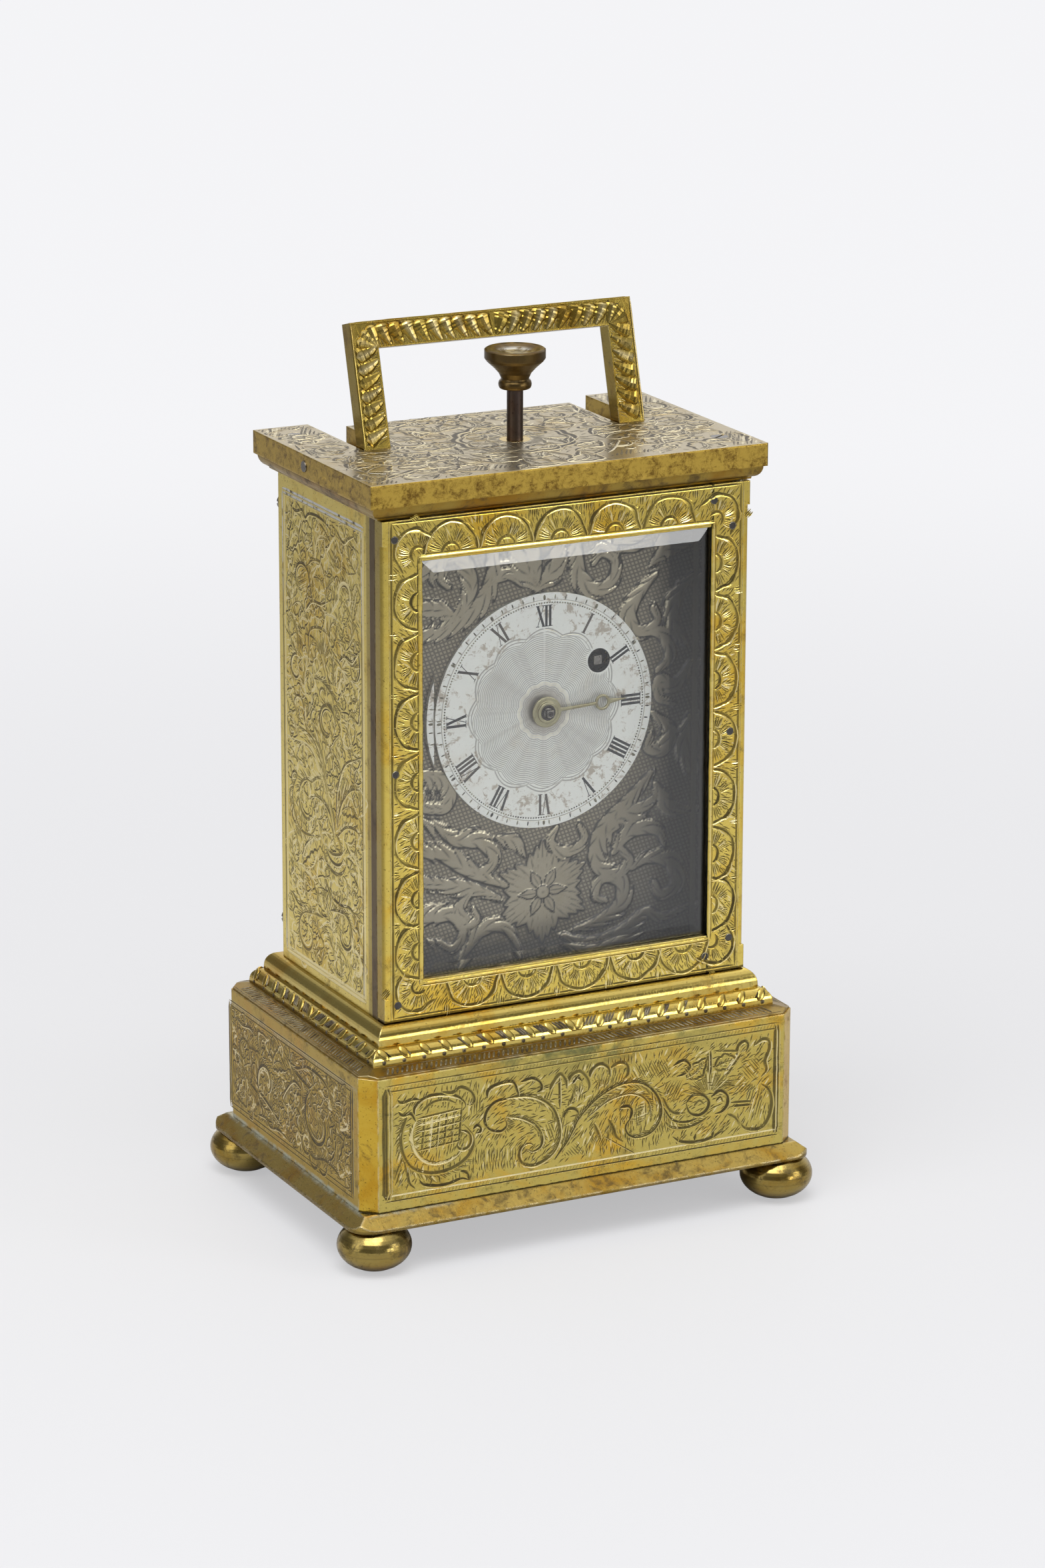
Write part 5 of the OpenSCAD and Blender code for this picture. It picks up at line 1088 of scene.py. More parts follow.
for x0, width in ((-36.4, 0.7), (-35.9, 0.7), (36.1, 0.42), (36.6, 0.42)):
    front.rule([(x0, 12.2), (x0, 31.4)], width)
for y0 in (12.3, 31.3):
    milled(front, -36.6, 36.8, y0)
for outline, angle, pitch in (((-31,28, -24,26.6, -21.4,21, -24.6,26.2), 60, 0.5),
        ((-21.6,24.4, -18.8,24.8, -18.8,27.6, -21.4,27.6), 85, 0.42),
        ((-12,25.9, -6.4,24.6, -5.8,27, -8,25.8), 70, 0.42), ((-4.6,15.6, -2.6,18.6, -4,23, -4.8,20), 80, 0.4),
        ((-3.6,23, 0.6,24.2, -1.8,26.6), 80, 0.4), ((1.2,24.8, 8,26, 7,27.6, 3,27.2), 75, 0.42),
        ((14.4,24.6, 18.6,24.4, 18,20.4, 15.4,21), 60, 0.42), ((12.6,15.8, 18,15.6, 15,18.4), 100, 0.42),
        ((28,20, 33,20.4, 29,24.6), 40, 0.42), ((-35,15, -33.4,14, -34,24), 70, 0.5),
        ((-18.4,19.6, -14,19.4, -16,21), 60, 0.4), ((-9,19, -6,22, -5.4,17), 110, 0.4)):
    front.patch(outline, angle, pitch, 0.19)
front.fill((-34.8, 13.6, 35, 30), lambda x, y: 0.5 * math.sin(x / 5) + 0.4 * math.cos(y / 2.5) - 0.2, (), 800, 1.1)
BOLDER = 1.18
front.cuts = [(line, width if kind else BOLDER * width, taper, kind) for line, width, taper, kind in front.cuts]
carve("plinth_front_engraving", front, (0, -PLINTH_FACE, 0), RIGHT, UP, PLINTH_CUT)
print("plinth front:", len(front.cuts), "lines")

# %% [markdown]
# ## The door's face
# The door plate carries one motif over and over: a shell with a small half-round at
# its foot, rays in bunches, and tears between them. It runs round the glass with its
# foot to the opening. The motif is drawn once, upright at the origin, and each
# place turns it and changes it a little, as the engraver's hand did.

# %% One shell
SHELL_ARCH = ((-4.85, 0), (-4.35, 1.6), (-3.8, 3), (-2.3, 4.3), (-0.2, 4.85), (2, 4.4), (3.6, 3.3), (4.25, 1.8),
              (4.85, 0))
SHELL_RAYS = ((13, 33, 4), (50, 74, 5), (106, 131, 5), (148, 167, 4))


def shell(sheet, foot, turn, wide=1, tall=1):
    """One shell of the border; turn is in degrees, 0 points up."""
    c, s = math.cos(math.radians(turn)), math.sin(math.radians(turn))
    dice = sheet.dice

    def at(u, v):
        return foot[0] + c * u * wide - s * v * tall, foot[1] + s * u * wide + c * v * tall

    nudge = dice.normal(0, 0.1, (len(SHELL_ARCH), 2)) * ([[0, 0]] + [[1, 1]] * (len(SHELL_ARCH) - 2) + [[0, 0]])
    line = [at(u + a, v + b) for (u, v), (a, b) in zip(SHELL_ARCH, nudge)]
    sheet.cut(line, 0.44, (0.05, 0.05))
    sheet.cut(line[1:4], 0.62, (0.3, 0.4))
    sheet.cut(line[5:8], 0.62, (0.3, 0.4))
    sheet.cut([at(1.6 * math.cos(a), 1.5 * math.sin(a)) for a in np.radians(np.linspace(182, -2, 9))], 0.46,
              (0.05, 0.35), fine=False)
    for low, high, count in SHELL_RAYS:
        for a in np.radians(np.linspace(low, high, count) + dice.normal(0, 1.2, count)):
            reach = 3.7 + 0.5 * abs(math.cos(a)) + dice.normal(0, 0.12)
            sheet.cut([at(1.95 * math.cos(a), 1.95 * math.sin(a)), at(reach * math.cos(a), reach * math.sin(a))],
                      0.27, (0.2, 0.4))
    for a in np.radians([41, 90, 139]):
        for r, size in ((3.15, 0.34), (3.95, 0.46)):
            sheet.cut([at((r - size / 2) * math.cos(a), (r - size / 2) * math.sin(a)),
                      at((r + size / 2) * math.cos(a), (r + size / 2) * math.sin(a))],
                      0.5, (0.6, 0.3))
    for u in (4.3, 4.7, 5.1, 5.5):
        high = 5.5 + dice.normal(0, 0.15)
        sheet.cut([at(u, 3.9 + 0.6 * abs(u - 4.9)), at(u, high)], 0.24, (0.3, 0.2))


# %% Shells round the door
DOOR_FACE, HALF_OPENING, OPENING_LOW, OPENING_HIGH = 21.3, 26.9, 45.95, 117.95
DOOR_MIDDLE = 82.0
door = Sheet(21)
for x in (-21.2, -11.3, -1.5, 8.4, 18.5):
    shell(door, (x, OPENING_HIGH), 0, 1, 1.06)
for x in (-17.4, -7.4, 2.8, 12.8, 21.8):
    shell(door, (x, OPENING_LOW), 180, 1, 1.02)
for z in (110.4, 100.5, 90.5, 80.4, 70.4, 60.5, 51.6):
    shell(door, (-HALF_OPENING, z), 90, 0.98, 0.92)
    shell(door, (HALF_OPENING, z + 0.4), -90, 0.98, 0.92)
for x, z, turn in ((-26.9, 118.1, 45), (27, 118.1, -45), (-27, 45.8, 135), (27, 45.8, 225)):
    shell(door, (x, z), turn, 0.8, 0.98)
for x in (-HALF_OPENING + 0.2, HALF_OPENING - 0.2):
    door.bead([(x, OPENING_LOW), (x, OPENING_HIGH)], 0.45)
    door.rule([(1.014 * x, OPENING_LOW), (1.014 * x, OPENING_HIGH)], 0.22)
for z, side in ((OPENING_LOW, -1), (OPENING_HIGH, 1)):
    door.bead([(-HALF_OPENING, z - 0.2 * side), (HALF_OPENING, z - 0.2 * side)], 0.45)
    door.rule([(-HALF_OPENING, z + 0.2 * side), (HALF_OPENING, z + 0.2 * side)], 0.22)
for x in (-31.75, 31.75):
    door.rule([(x, 40.6), (x, 123.8)], 0.3)
for z in (40.75, 123.75):
    door.rule([(-31.7, z), (31.7, z)], 0.26)
for box in ((-31.4, 41.4, -27.5, 123.2), (27.5, 41.4, 31.4, 123.2), (-27.5, 118.4, 27.5, 123.4),
        (-27.5, 41.2, 27.5, 45.4)):
    door.fill(box, lambda x, y: math.atan2(y - DOOR_MIDDLE, x) - 1, (), 240, 0.8)
carve("door_face_engraving", door, (0, -DOOR_FACE, 0), RIGHT, UP, DOOR_CUT, "door")
print("door face:", len(door.cuts), "lines")

# %% [markdown]
# ## The sides
# Each side panel is covered with leaves and scrolls inside a double border. A sheaf
# of curved leaves springs from a cup low on the panel, with a round scroll above it.
# The right side, which the photograph does not show, mirrors the left one, as on most
# such cases.

# %% Side drawing
# Across is from back to front in millimetres, up is from the floor.
SIDE_FACE, SIDE_GLINT = 33.4, 0.35
side = Sheet(31)
for u in (-17.3, -16.6, 13.5, 14.2):
    side.rule([(u, 41.6), (u, 121.7)])
for z in (41.6, 42.3, 121, 121.7):
    side.rule([(-17.4, z), (14.3, z)])
side.cut([-14.5,119.6, -12,118.9, -9.5,119.6, -8.2,118.6, -6.8,119.5, -3.5,119.8, 0,119.3, 2.5,118.2], 0.4)
side.cut([3.5,119.3, 6.5,117.6, 8.5,118.6, 11,119.6], 0.42)
for k in range(7):
    side.cut([(-13.8 + 0.42 * k, 117.6 - 0.28 * k), (-13 + 0.42 * k, 116.3 - 0.28 * k)], 0.3, (0.2, 0.4))
    side.cut([(0.9 + 0.33 * k, 115 - 0.4 * k), (1.7 + 0.33 * k, 114 - 0.4 * k)], 0.28, (0.2, 0.4))
    side.cut([(5.6 + 0.4 * k, 113.8 - 0.3 * k), (6.4 + 0.4 * k, 112.9 - 0.3 * k)], 0.28, (0.2, 0.4))
    side.cut([(11.4 + 0.1 * k, 118.4 - 0.9 * k), (12.6 + 0.05 * k, 118 - 0.9 * k)], 0.22, (0.2, 0.4))
side.leaf((-4.5, 112), (1.8, 116.6), 0.35, 0.7, 3, 0.34)
side.leaf((-14.6, 112.4), (-9.6, 114.4), 0.3, 0.6, 3, 0.34)
side.plume([-7.4,110.8, -5.4,112.1, -2.4,112.3, -0.4,110.4], 0.36, -1, 1.4, 35, 0.33)
side.cut([-9.6,118, -10.8,114.6, -10,111.4], 0.32)
side.scroll(-10, 107.6, 3.4, 30, 300, (-5.4, 104.2), 3, 0.42, 1.8)
side.patch([-12.6,106, -8.4,105.6, -7.6,108.4, -12.2,108.6], 25, 0.34)
side.scroll(7.4, 108.6, 3, 200, -310, (1.6, 104.6), 3, 0.36, 1.6)
side.patch([7.4,112.2, 12,111.4, 12.6,105.4, 9.4,105.8], 70, 0.36)
side.patch([3.4,111.4, 6,112, 5,107.4, 3.6,107.8], 60, 0.36)
side.cut([-8.4,103, -5.8,105, -2.4,105.3, 0.6,106.4], 0.4)
side.cut([-7.4,96, -7,99.6, -4,101, -0.4,101, 2.6,99.8], 0.4)
side.fan(-1.8, 96, 30, 150, 1, 4, 17, 0.22)
side.leaf((1.2, 99), (4.8, 104), 0.3, 0.7, 3, 0.34)
side.plume([-14.6,101.2, -12.6,99.4, -11.4,97, -12.2,95.2], 0.36, 1, 2.2, 40, 0.32)
side.scroll(-12.4, 92, 2.6, 80, 300, (-15, 97.4), 2, 0.36, 1.4)
side.cut([4.4,97, 6.6,98.6, 9.6,98.4, 12,100.2, 12.6,97.6, 11.6,95.7, 9.6,95.4], 0.42)
side.fan(9.8, 97.2, 20, 160, 0.7, 3.2, 17, 0.2)
side.fan(5.4, 96.2, -60, 60, 0.6, 3, 12, 0.2)
side.leaf((4, 91.6), (8.6, 94.6), 0.3, 0.6, 3, 0.34)
side.leaf((8, 90), (12.4, 92.8), -0.25, 0.6, 3, 0.34)
side.plume([-5.4,92, -2.6,92.4, 0.4,91.6, 3,90.4, 5,89.4], 0.42, 1, 1.6, 30, 0.32)
side.scroll(-0.4, 85.2, 3.9, 20, 330, None, 4, 0.5, 2)
side.cut([-0.6,88.9, 1.6,88.3, 3.2,86.6], 0.7, (0.3, 0.4))
for k in range(5):
    side.cut([(2.2 + 0.45 * k, 82.2 + 0.3 * k), (2.7 + 0.45 * k, 83.8 + 0.3 * k)], 0.3, (0.3, 0.3))
side.plume([-8.6,84.4, -6.6,86.6, -5,89], 0.36, 1, 2, 35, 0.32)
side.scroll(-11.8, 85.6, 2.6, -20, 280, (-8, 81.8), 2, 0.36, 1.6)
for tip, bow in (((-14.4, 79.6), (-6.2, 79.4)), ((-12.8, 82.6), (-5, 80.8)), ((-9.2, 84), (-3.4, 80.4)),
        ((-4.6, 83.6), (-1.8, 78))):
    stem = side.cut([(2.3, 66.6), (0.4, 71.8), bow, tip], 0.34, (0.1, 0.6))
    side.comb(stem, 1, 2.4, 22, 0.32, start=0.35)
side.comb(side.cut([2.3,66.6, 1.2,69.6, -1.6,71.6, -5.2,71.9, -7.6,70.6], 0.5, (0.1, 0.4)), -1, 1.2, 28, 0.3)
side.cut([2.6,66.8, 2.2,70, 0.6,72.8], 0.4)
side.scroll(-8.2, 69.6, 4.6, 70, 300, (-1.4, 75.6), 4, 0.46, 2.6)
side.plume([-12.2,73.8, -14.2,70.6, -13.6,66.8, -10.8,64.4, -6.6,64.6, -3.4,65.6], 0.36, -1, 2.4, 30, 0.3)
side.plume([3.4,67.2, 6.8,69.6, 10.2,70.2, 12.8,69.6], 0.4, 1, 2, 30, 0.3)
side.plume([3.2,68.2, 5,73, 8.6,76.4, 12.8,77.6], 0.4, 1, 2.4, 25, 0.3)
side.plume([3,69.2, 3.6,75, 6.6,80.2, 12.4,82.8], 0.36, -1, 2.2, 25, 0.32)
side.leaf((5, 72), (11.8, 72.4), 0.2, 0.4, 4, 0.36)
side.patch([4.2,72.6, 8.6,72.8, 8.2,79, 4.6,78.6], 65, 0.36)
side.cut(arc(2.4, 64, 4.4, 190, 350, 0.8), 0.5)
side.cut(arc(2.4, 64.4, 3.3, 185, 350, 0.7), 0.42)
side.cut([-1.8,64.6, 1.2,63.6, 4.6,64.4, 6.6,66], 0.42)
side.fan(2.4, 65, 200, 340, 3, 4.6, 16, 0.2)
side.leaf((7, 64.6), (11.4, 60.8), 0.25, 0.6, 3, 0.38)
side.plume([8.2,66.2, 10.6,64.8, 12.6,62.2, 12.8,58.6], 0.36, 1, 1.8, 30, 0.3)
side.leaf((-4.4, 62.4), (-10.8, 58.4), 0.2, 0.45, 4, 0.38)
side.plume([-5.6,65, -9.2,62.4, -11,59.2], 0.36, 1, 2, 35, 0.32)
side.cut([-15.6,58.4, -14.4,57, -15.2,55.6], 0.6, (0.3, 0.3))
side.plume([-1.8,59, 0.6,56.4, 4.2,55.6, 8.6,56, 11.6,53.4], 0.4, -1, 1.6, 35, 0.32)
side.scroll(6, 50.8, 3.8, 100, -310, (0.4, 53.6), 4, 0.46, 2)
side.fan(0.6, 49.6, 20, 110, 0.5, 3.4, 14, 0.2)
side.scroll(-8.8, 46.6, 4, 100, 320, (-2.6, 51.4), 4, 0.42, 2)
side.plume([-15,52.6, -12.4,51.2, -9.4,51.4], 0.42, 1, 1.8, 35, 0.33)
side.scroll(10.6, 46.8, 2.6, 120, -300, (8.6, 51.6), 2, 0.38, 1.5)
side.cut([0.6,45, 2,43.6, 4.4,43.2, 6.4,44.6], 0.5)
for k in range(6):
    side.cut([(1.4 + 0.5 * k, 46 + 0.62 * k), (2 + 0.5 * k, 46.6 + 0.62 * k)], 0.42, (0.4, 0.4))
side.fill((-16, 42.9, 13, 120.4), lambda x, y: 1.4 + 0.9 * math.sin(x / 5 + y / 17) + 0.8 * math.cos(y / 7),
          ((7, 8), (5.6, 16), (4.4, 28), (3.2, 40), (2.3, 50)), 900)
carve("side_engraving_left", side, (-SIDE_FACE, 0, 0), FRONT, UP, SIDE_CUT, bright=SIDE_GLINT)
carve("side_engraving_right", side, (SIDE_FACE, 0, 0), REAR, UP, SIDE_CUT, mirror=True, bright=SIDE_GLINT)
print("sides:", len(side.cuts), "lines each")

# %% [markdown]
# ## The plinth's sides and back
# The left end has a large punched scroll towards the front and a smaller one behind
# it. The right end mirrors it. The back repeats the front's drawing.

# %% Plinth sides and back
PLINTH_END = 40.3
end = Sheet(41)
for u in (-26.4, -25.7, 22.9, 23.6):
    end.rule([(u, 11.7), (u, 30.8)], 0.4)
for z in (12.1, 30.5):
    milled(end, -26.5, 23.7, z, 0.7)
end.scroll(9.8, 20.4, 5.6, 120, 330, (-0.6, 26.6), 5, 0.5, 2.4)
for k in range(60):
    a, r = end.dice.uniform(0, 2 * math.pi), 4.6 * math.sqrt(end.dice.uniform(0.02, 1))
    x, y = r * ray(a)
    end.cut([(9.8 + x - 0.1, 20.4 + y), (9.8 + x + 0.12, 20.5 + y)], 0.42, (0.5, 0.5))
end.plume([-3.4,28.2, 1,27.2, 6,28.8, 12,28.4, 16,26], 0.42, -1, 2.4, 26, 0.33)
end.plume([3.4,24, 0.4,24.6, -2.4,22.6, -4.4,20, -2,18.8], 0.42, 1, 2.2, 34, 0.33)
end.plume([15.6,24.4, 17,20.8, 16.2,16.8, 13.2,14.2], 0.38, 1, 2.2, 26, 0.33)
end.plume([4.6,14.6, 8.2,13.6, 12.4,14.6, 16.6,14.2, 19,13.2], 0.42, 1, 1.6, 40, 0.36)
end.leaf((17, 16), (20.6, 20.4), 0.3, 0.6, 3, 0.38)
end.leaf((18.4, 22), (21.6, 27), -0.3, 0.6, 3, 0.38)
end.scroll(-11.2, 20.6, 3.8, 220, -320, (-4.4, 14.8), 4, 0.46, 2)
end.plume([-18.6,18.6, -15,17.6, -12.4,16, -8,16.4], 0.42, -1, 1.8, 30, 0.34)
end.leaf((-8.6, 24.6), (-2.8, 25.4), 0.2, 0.5, 4, 0.38)
end.leaf((-13.4, 25), (-10.2, 28.6), 0.3, 0.6, 3, 0.36)
end.scroll(-20.4, 23.4, 2.6, 30, 300, (-15, 24.8), 3, 0.4, 1.5)
end.leaf((-20, 18.4), (-24.4, 14.6), 0.3, 0.6, 3, 0.38)
end.plume([-23.6,28.6, -20.8,28, -17.6,28.4, -15,27.2], 0.4, 1, 1.2, 30, 0.36)
end.cut([-14.8,13.8, -11.6,14.2, -9.6,13.2, -6,13.8, -2,13.2], 0.42)
end.fill((-25.2, 13, 22.4, 29.6), lambda x, y: 0.8 * math.sin(x / 4) + 0.9 * math.cos(y / 3),
         ((3.4, 10), (2.8, 16), (2.2, 26), (1.7, 30)), 620)
carve("plinth_left_engraving", end, (-PLINTH_END, 0, 0), FRONT, UP, END_CUT)
carve("plinth_right_engraving", end, (PLINTH_END, 0, 0), REAR, UP, END_CUT, mirror=True)
carve("plinth_back_engraving", front, (0, PLINTH_FACE, 0), LEFT, UP, END_CUT)
print("plinth end:", len(end.cuts), "lines")

# %% [markdown]
# The photograph does not show the back. It is a plain removable plate on such clocks,
# so it gets the side's leaves twice, mirrored about the middle, inside its border, as
# a left and a right half.

# %% Back cover drawing
BACK_FACE = 20.6
for half_name, way in (("left", 1), ("right", -1)):
    half_sheet = Sheet(51)
    for line, *rest in side.cuts:
        if (line > (-16.4, 42.4)).all() and (line < (13.4, 120.9)).all():
            half_sheet.cuts.append(((line + (16.4, 0)) * (0.93 * way, 1), *rest))
    for x in (29, 29.6):
        half_sheet.rule([(way * x, 41.8), (way * x, 121.8)])
    for z in (41.8, 42.4, 121.2, 121.8):
        half_sheet.rule([(0, z), (way * 29.7, z)])
    carve("back_engraving_" + half_name, half_sheet, (0, BACK_FACE, 0), LEFT, UP, SIDE_CUT, bright=SIDE_GLINT)
    print("back", half_name, len(half_sheet.cuts), "lines")

# %% [markdown]
# ## The top
# The top slab is coloured a pale champagne, a painted reflection of the bright sky, with dark
# lines. A scalloped ring lies round the button, with flowers to the left and right.
# Lines that would hang over the handle's notches are trimmed away.

# %% Top drawing
SLAB_TOP, FLOWER_Y = 130.5, -7.4
NOTCH_IN, NOTCH_OUT, NOTCH_FRONT, TONGUE_REAR = 20.6, 26.2, 1.3, 19.2


def on_slab(p):
    """True where the slab has metal under a point of the drawing."""
    x, y = abs(p[:, 0]), p[:, 1]
    inside = (x < 35.4) & (y > -22.2) & (y < np.where(x > NOTCH_OUT, 22.9, TONGUE_REAR))
    screws = (np.hypot(x - 31, y + 14.8) > 1.8) & (np.hypot(x - 31, y - 19) > 1.8)
    notch = (x > NOTCH_IN) & (x < NOTCH_OUT) & (y > NOTCH_FRONT)
    return inside & screws & ~notch & (np.hypot(x, y - BUTTON_Y) > 2.4)


top = Sheet(61)
RING = [(0, BUTTON_Y) + (9.4 + 0.75 * abs(math.sin(6 * a))) * ray(a) for a in np.linspace(0.3, 0.3 + 2 * math.pi, 97)]
top.cut(RING, 0.5, FLAT_ENDS, fine=False)
top.cut([(0.88 * x, BUTTON_Y + 0.88 * (y - BUTTON_Y)) for x, y in RING], 0.3, FLAT_ENDS, fine=False)
top.fan(0, BUTTON_Y, 5, 365, 3, 5.6, 46, 0.2)
top.fan(0, BUTTON_Y, 0, 360, 10.6, 12.2, 60, 0.2)
for x in (-22.6, 23.4):
    for radius, width in ((1.3, 0.4), (0.6, 0.3)):
        top.cut(arc(x, FLOWER_Y, radius, 0, 360), width, FLAT_ENDS, fine=False)
    for a in range(10, 370, 60):
        top.leaf((x, FLOWER_Y) + 1.5 * ray(math.radians(a)), (x, FLOWER_Y) + 5.6 * ray(math.radians(a + 14)),
                 0.1, 0.85, 2, 0.42)
for bend, tip in ((0, (0, -12)), (0.3, (-5.4, -14.4)), (-0.3, (5.4, -14.4))):
    top.leaf((0, -20.6), tip, bend, 0.5, 3, 0.42)
for x, y, r, start, turn, tail in ((-31.2, 14.6, 2.2, 40, 300, (-28.6, 17.6)),
        (-31.4, 10.6, 2, 200, -300, (-34, 13.6)), (-30.8, 3.2, 3.4, 100, 290, (-33.4, 8.4)),
        (31.8, 10.4, 3, 60, -310, (29.6, 15.4)), (31.2, 0.6, 3.9, 120, -300, (28.4, 6.6)),
        (-12.6, 12.2, 2.6, 30, 320, (-7, 9)), (14.2, 12, 3.1, 100, 330, (9.4, 16)),
        (-16.6, 3, 2.6, 200, 300, (-19.2, 7.6)), (17, 2.6, 2.6, -20, -300, (19.4, 7)),
        (-13.2, -12.6, 2.6, 120, 320, (-9.2, -17.6)), (13.4, -12.2, 2.6, 60, -320, (9, -17.4)),
        (-28.6, -17.6, 2.4, 200, -280, (-24, -14.6)), (28.4, -17.8, 2.4, -20, 280, (24.2, -14.8)),
        (-32.4, -3.6, 2.2, -80, 280, (-29.6, -1)), (32.2, -7.4, 2.2, 260, -280, (29.4, -4.4)),
        (-3.8, 13.6, 2, 200, -280, (-7.4, 16.6)), (4.8, 13.2, 2, -20, 280, (8, 16.8)),
        (-20, -19, 1.8, 20, 280, (-16.4, -19.6)), (19.4, -19, 1.8, 160, -280, (15.8, -19.4))):
    top.scroll(x, y, r, start, turn, tail, 3, 0.44, 1.4)
for base, tip, bend in (((-8.4, 9.4), (-3.6, 9.8), 0.3), ((8.2, 9.4), (4, 10.2), -0.3),
        ((-16, 15.6), (-10, 17.2), 0.2), ((16, 16.6), (10.4, 17.6), -0.2), ((-18.6, -1.6), (-12.4, -3.6), 0.2),
        ((18.8, -2.6), (13, -4.4), -0.2), ((-14, 6.8), (-9.6, 8.6), 0.3), ((13.4, 6.4), (10, 7.6), -0.3),
        ((-26.4, -12.6), (-20.4, -15), 0.2), ((26.4, -13), (20.4, -15.6), -0.2), ((-6.4, -10.8), (-11.6, -8.4), 0.2),
        ((6.6, -11), (11.8, -8.6), -0.2), ((-33.6, -9.4), (-27.8, -8.2), 0.2), ((28.6, 5), (33.4, 5.6), 0.2),
        ((-34, -14), (-33.4, -20.6), 0.1), ((33.8, -13.4), (33.2, -20.6), -0.1), ((0.2, 17.8), (0.2, 11.6), 0.05),
        ((-33.8, 20.4), (-28.4, 21.8), 0.1), ((33.6, 17), (29.4, 21.6), 0.2)):
    top.leaf(base, tip, bend, 0.55, 3, 0.4)
for outline, angle in (((-35.2,16, -27,16, -27,22.8, -35.2,22.8), 62), ((27,12, 35.2,12, 35.2,22.8, 27,22.8), 62),
        ((-35.2,-22, -30,-22, -33,-15, -35.2,-15), 60), ((30,-22, 35.2,-22, 35.2,-12, 33,-12), 60),
        ((-20,10, -17,16, -20,18.8), 65), ((-35,0, -33.6,8, -35,12), 80), ((8,-20, 18,-20, 14,-16), 60),
        ((-18,-20, -8,-20, -12,-16), 55), ((18.4,4, 20.4,4, 20.4,16, 18.4,14), 80)):
    top.patch(outline, angle, 0.62, 0.2)
top.cuts = [(line, 1.45 * width, *rest) for line, width, *rest in top.cuts]
top.fill((-35, -22, 35, 22.6), lambda x, y: 1.5 * math.sin(x / 6) + 1.4 * math.cos(y / 5),
         ((8.5, 8), (6.8, 16), (5.2, 24), (3.8, 20)), 260, width=0.5)
trim(top, on_slab)
carve("top_engraving", top, (0, 0, SLAB_TOP), RIGHT, REAR, TOP_CUT, bright=0.2)
print("top:", len(top.cuts), "lines")

# %% [markdown]
# ## The handle
# The handle is chased like a feather: lobes that start thin at the inner edge, swing
# outwards and end round, with a dark slot between two lobes. From the middle of the bar
# they fall away to both sides and run on down the legs, so one half is drawn and the
# other mirrors it. Each lobe is a real raised strip, so the handle's edge looks carved.

# %% Handle drawing
HANDLE_HALF, ARM, HANDLE_HIGH, BAR, LEAN = 25.75, 4.7, 22.3, 4.45, math.radians(15.6)
HINGE_Y, HINGE_Z, FRONT_DEEP = 3, 128.5, 2
LOBE_ENDS = (0.95, 0.12)
feather = Sheet(71)


def lobe(at):
    """One lobe and the slot beside it; at(s, v) maps along and across the arm, v 0 inside to 1 outside."""
    dice = feather.dice
    wave = dice.normal(0, 0.06, 3)
    line = smooth([at(-1.3, 0.06), at(-0.55 + wave[0], 0.36), at(0.05, 0.68), at(0.35 + wave[1], 0.93)])
    feather.cuts.append((line, 1.75, LOBE_ENDS, "bead"))
    feather.cut([at(-0.1, 0.34), at(0.75 + wave[2], 0.62), at(1.2, 0.93)], 0.42, (0.5, 0.12))
    for k in range(4):
        middle = (-0.62 + 0.5 * k, 0.26 + 0.05 * dice.random())
        top_end = (-0.1 + 0.5 * k, 0.42 + 0.08 * dice.random())
        feather.cut([at(-1 + 0.5 * k, 0.05), at(*middle), at(*top_end)], 0.11, (0.15, 0.5))


for way in (-1, 1):
    for k in range(9):
        lobe(lambda s, v: (way * (1.7 + 2.3 * k + s), HANDLE_HIGH - BAR + 0.12 + v * (BAR - 0.3)))
    for k in range(7):
        lobe(lambda s, v: (way * (HANDLE_HALF - ARM + 0.12 + v * (ARM - 0.4)), HANDLE_HIGH - 5.4 - 2.25 * k - s))
    corner, flip = np.array([way * (HANDLE_HALF - ARM), HANDLE_HIGH - BAR]), np.array([way, 1])
    for a in (20, 45, 70):
        line = smooth([corner + r * flip * ray(math.radians(a)) for r in (0.4, 2.2, 4)])
        feather.cuts.append((line, 1.5, LOBE_ENDS, "bead"))
        feather.cut([corner + r * flip * ray(math.radians(a + 12)) for r in (1.6, 2.8, 4.2)], 0.5, (0.5, 0.2))
    feather.bead([(way * (HANDLE_HALF - 0.14), 1.6), (way * (HANDLE_HALF - 0.14), HANDLE_HIGH)], 0.24)
feather.bead([(-HANDLE_HALF, HANDLE_HIGH - 0.14), (HANDLE_HALF, HANDLE_HIGH - 0.14)], 0.24)
lean_up = (0, math.sin(LEAN), math.cos(LEAN))
face_origin = (0, HINGE_Y - FRONT_DEEP * math.cos(LEAN), HINGE_Z + FRONT_DEEP * math.sin(LEAN))
carve("handle_chasing", feather, face_origin, RIGHT, lean_up, BAIL_CUT, "bail")
print("handle:", len(feather.cuts), "strokes")

# %% [markdown]
# ## Rows that follow a moulding
# The leaf moulding has a row of raised seeds with three slanting nicks between them,
# and the sloping band below it is hatched all round. Geometry Nodes set such rows: the
# input is a rail, a plain chain of edges that knows which way is out, and the tree puts
# one small shape at every step of the rail, turned to it. Each rail starts in the
# middle of a side, so the pattern leans both ways from there.


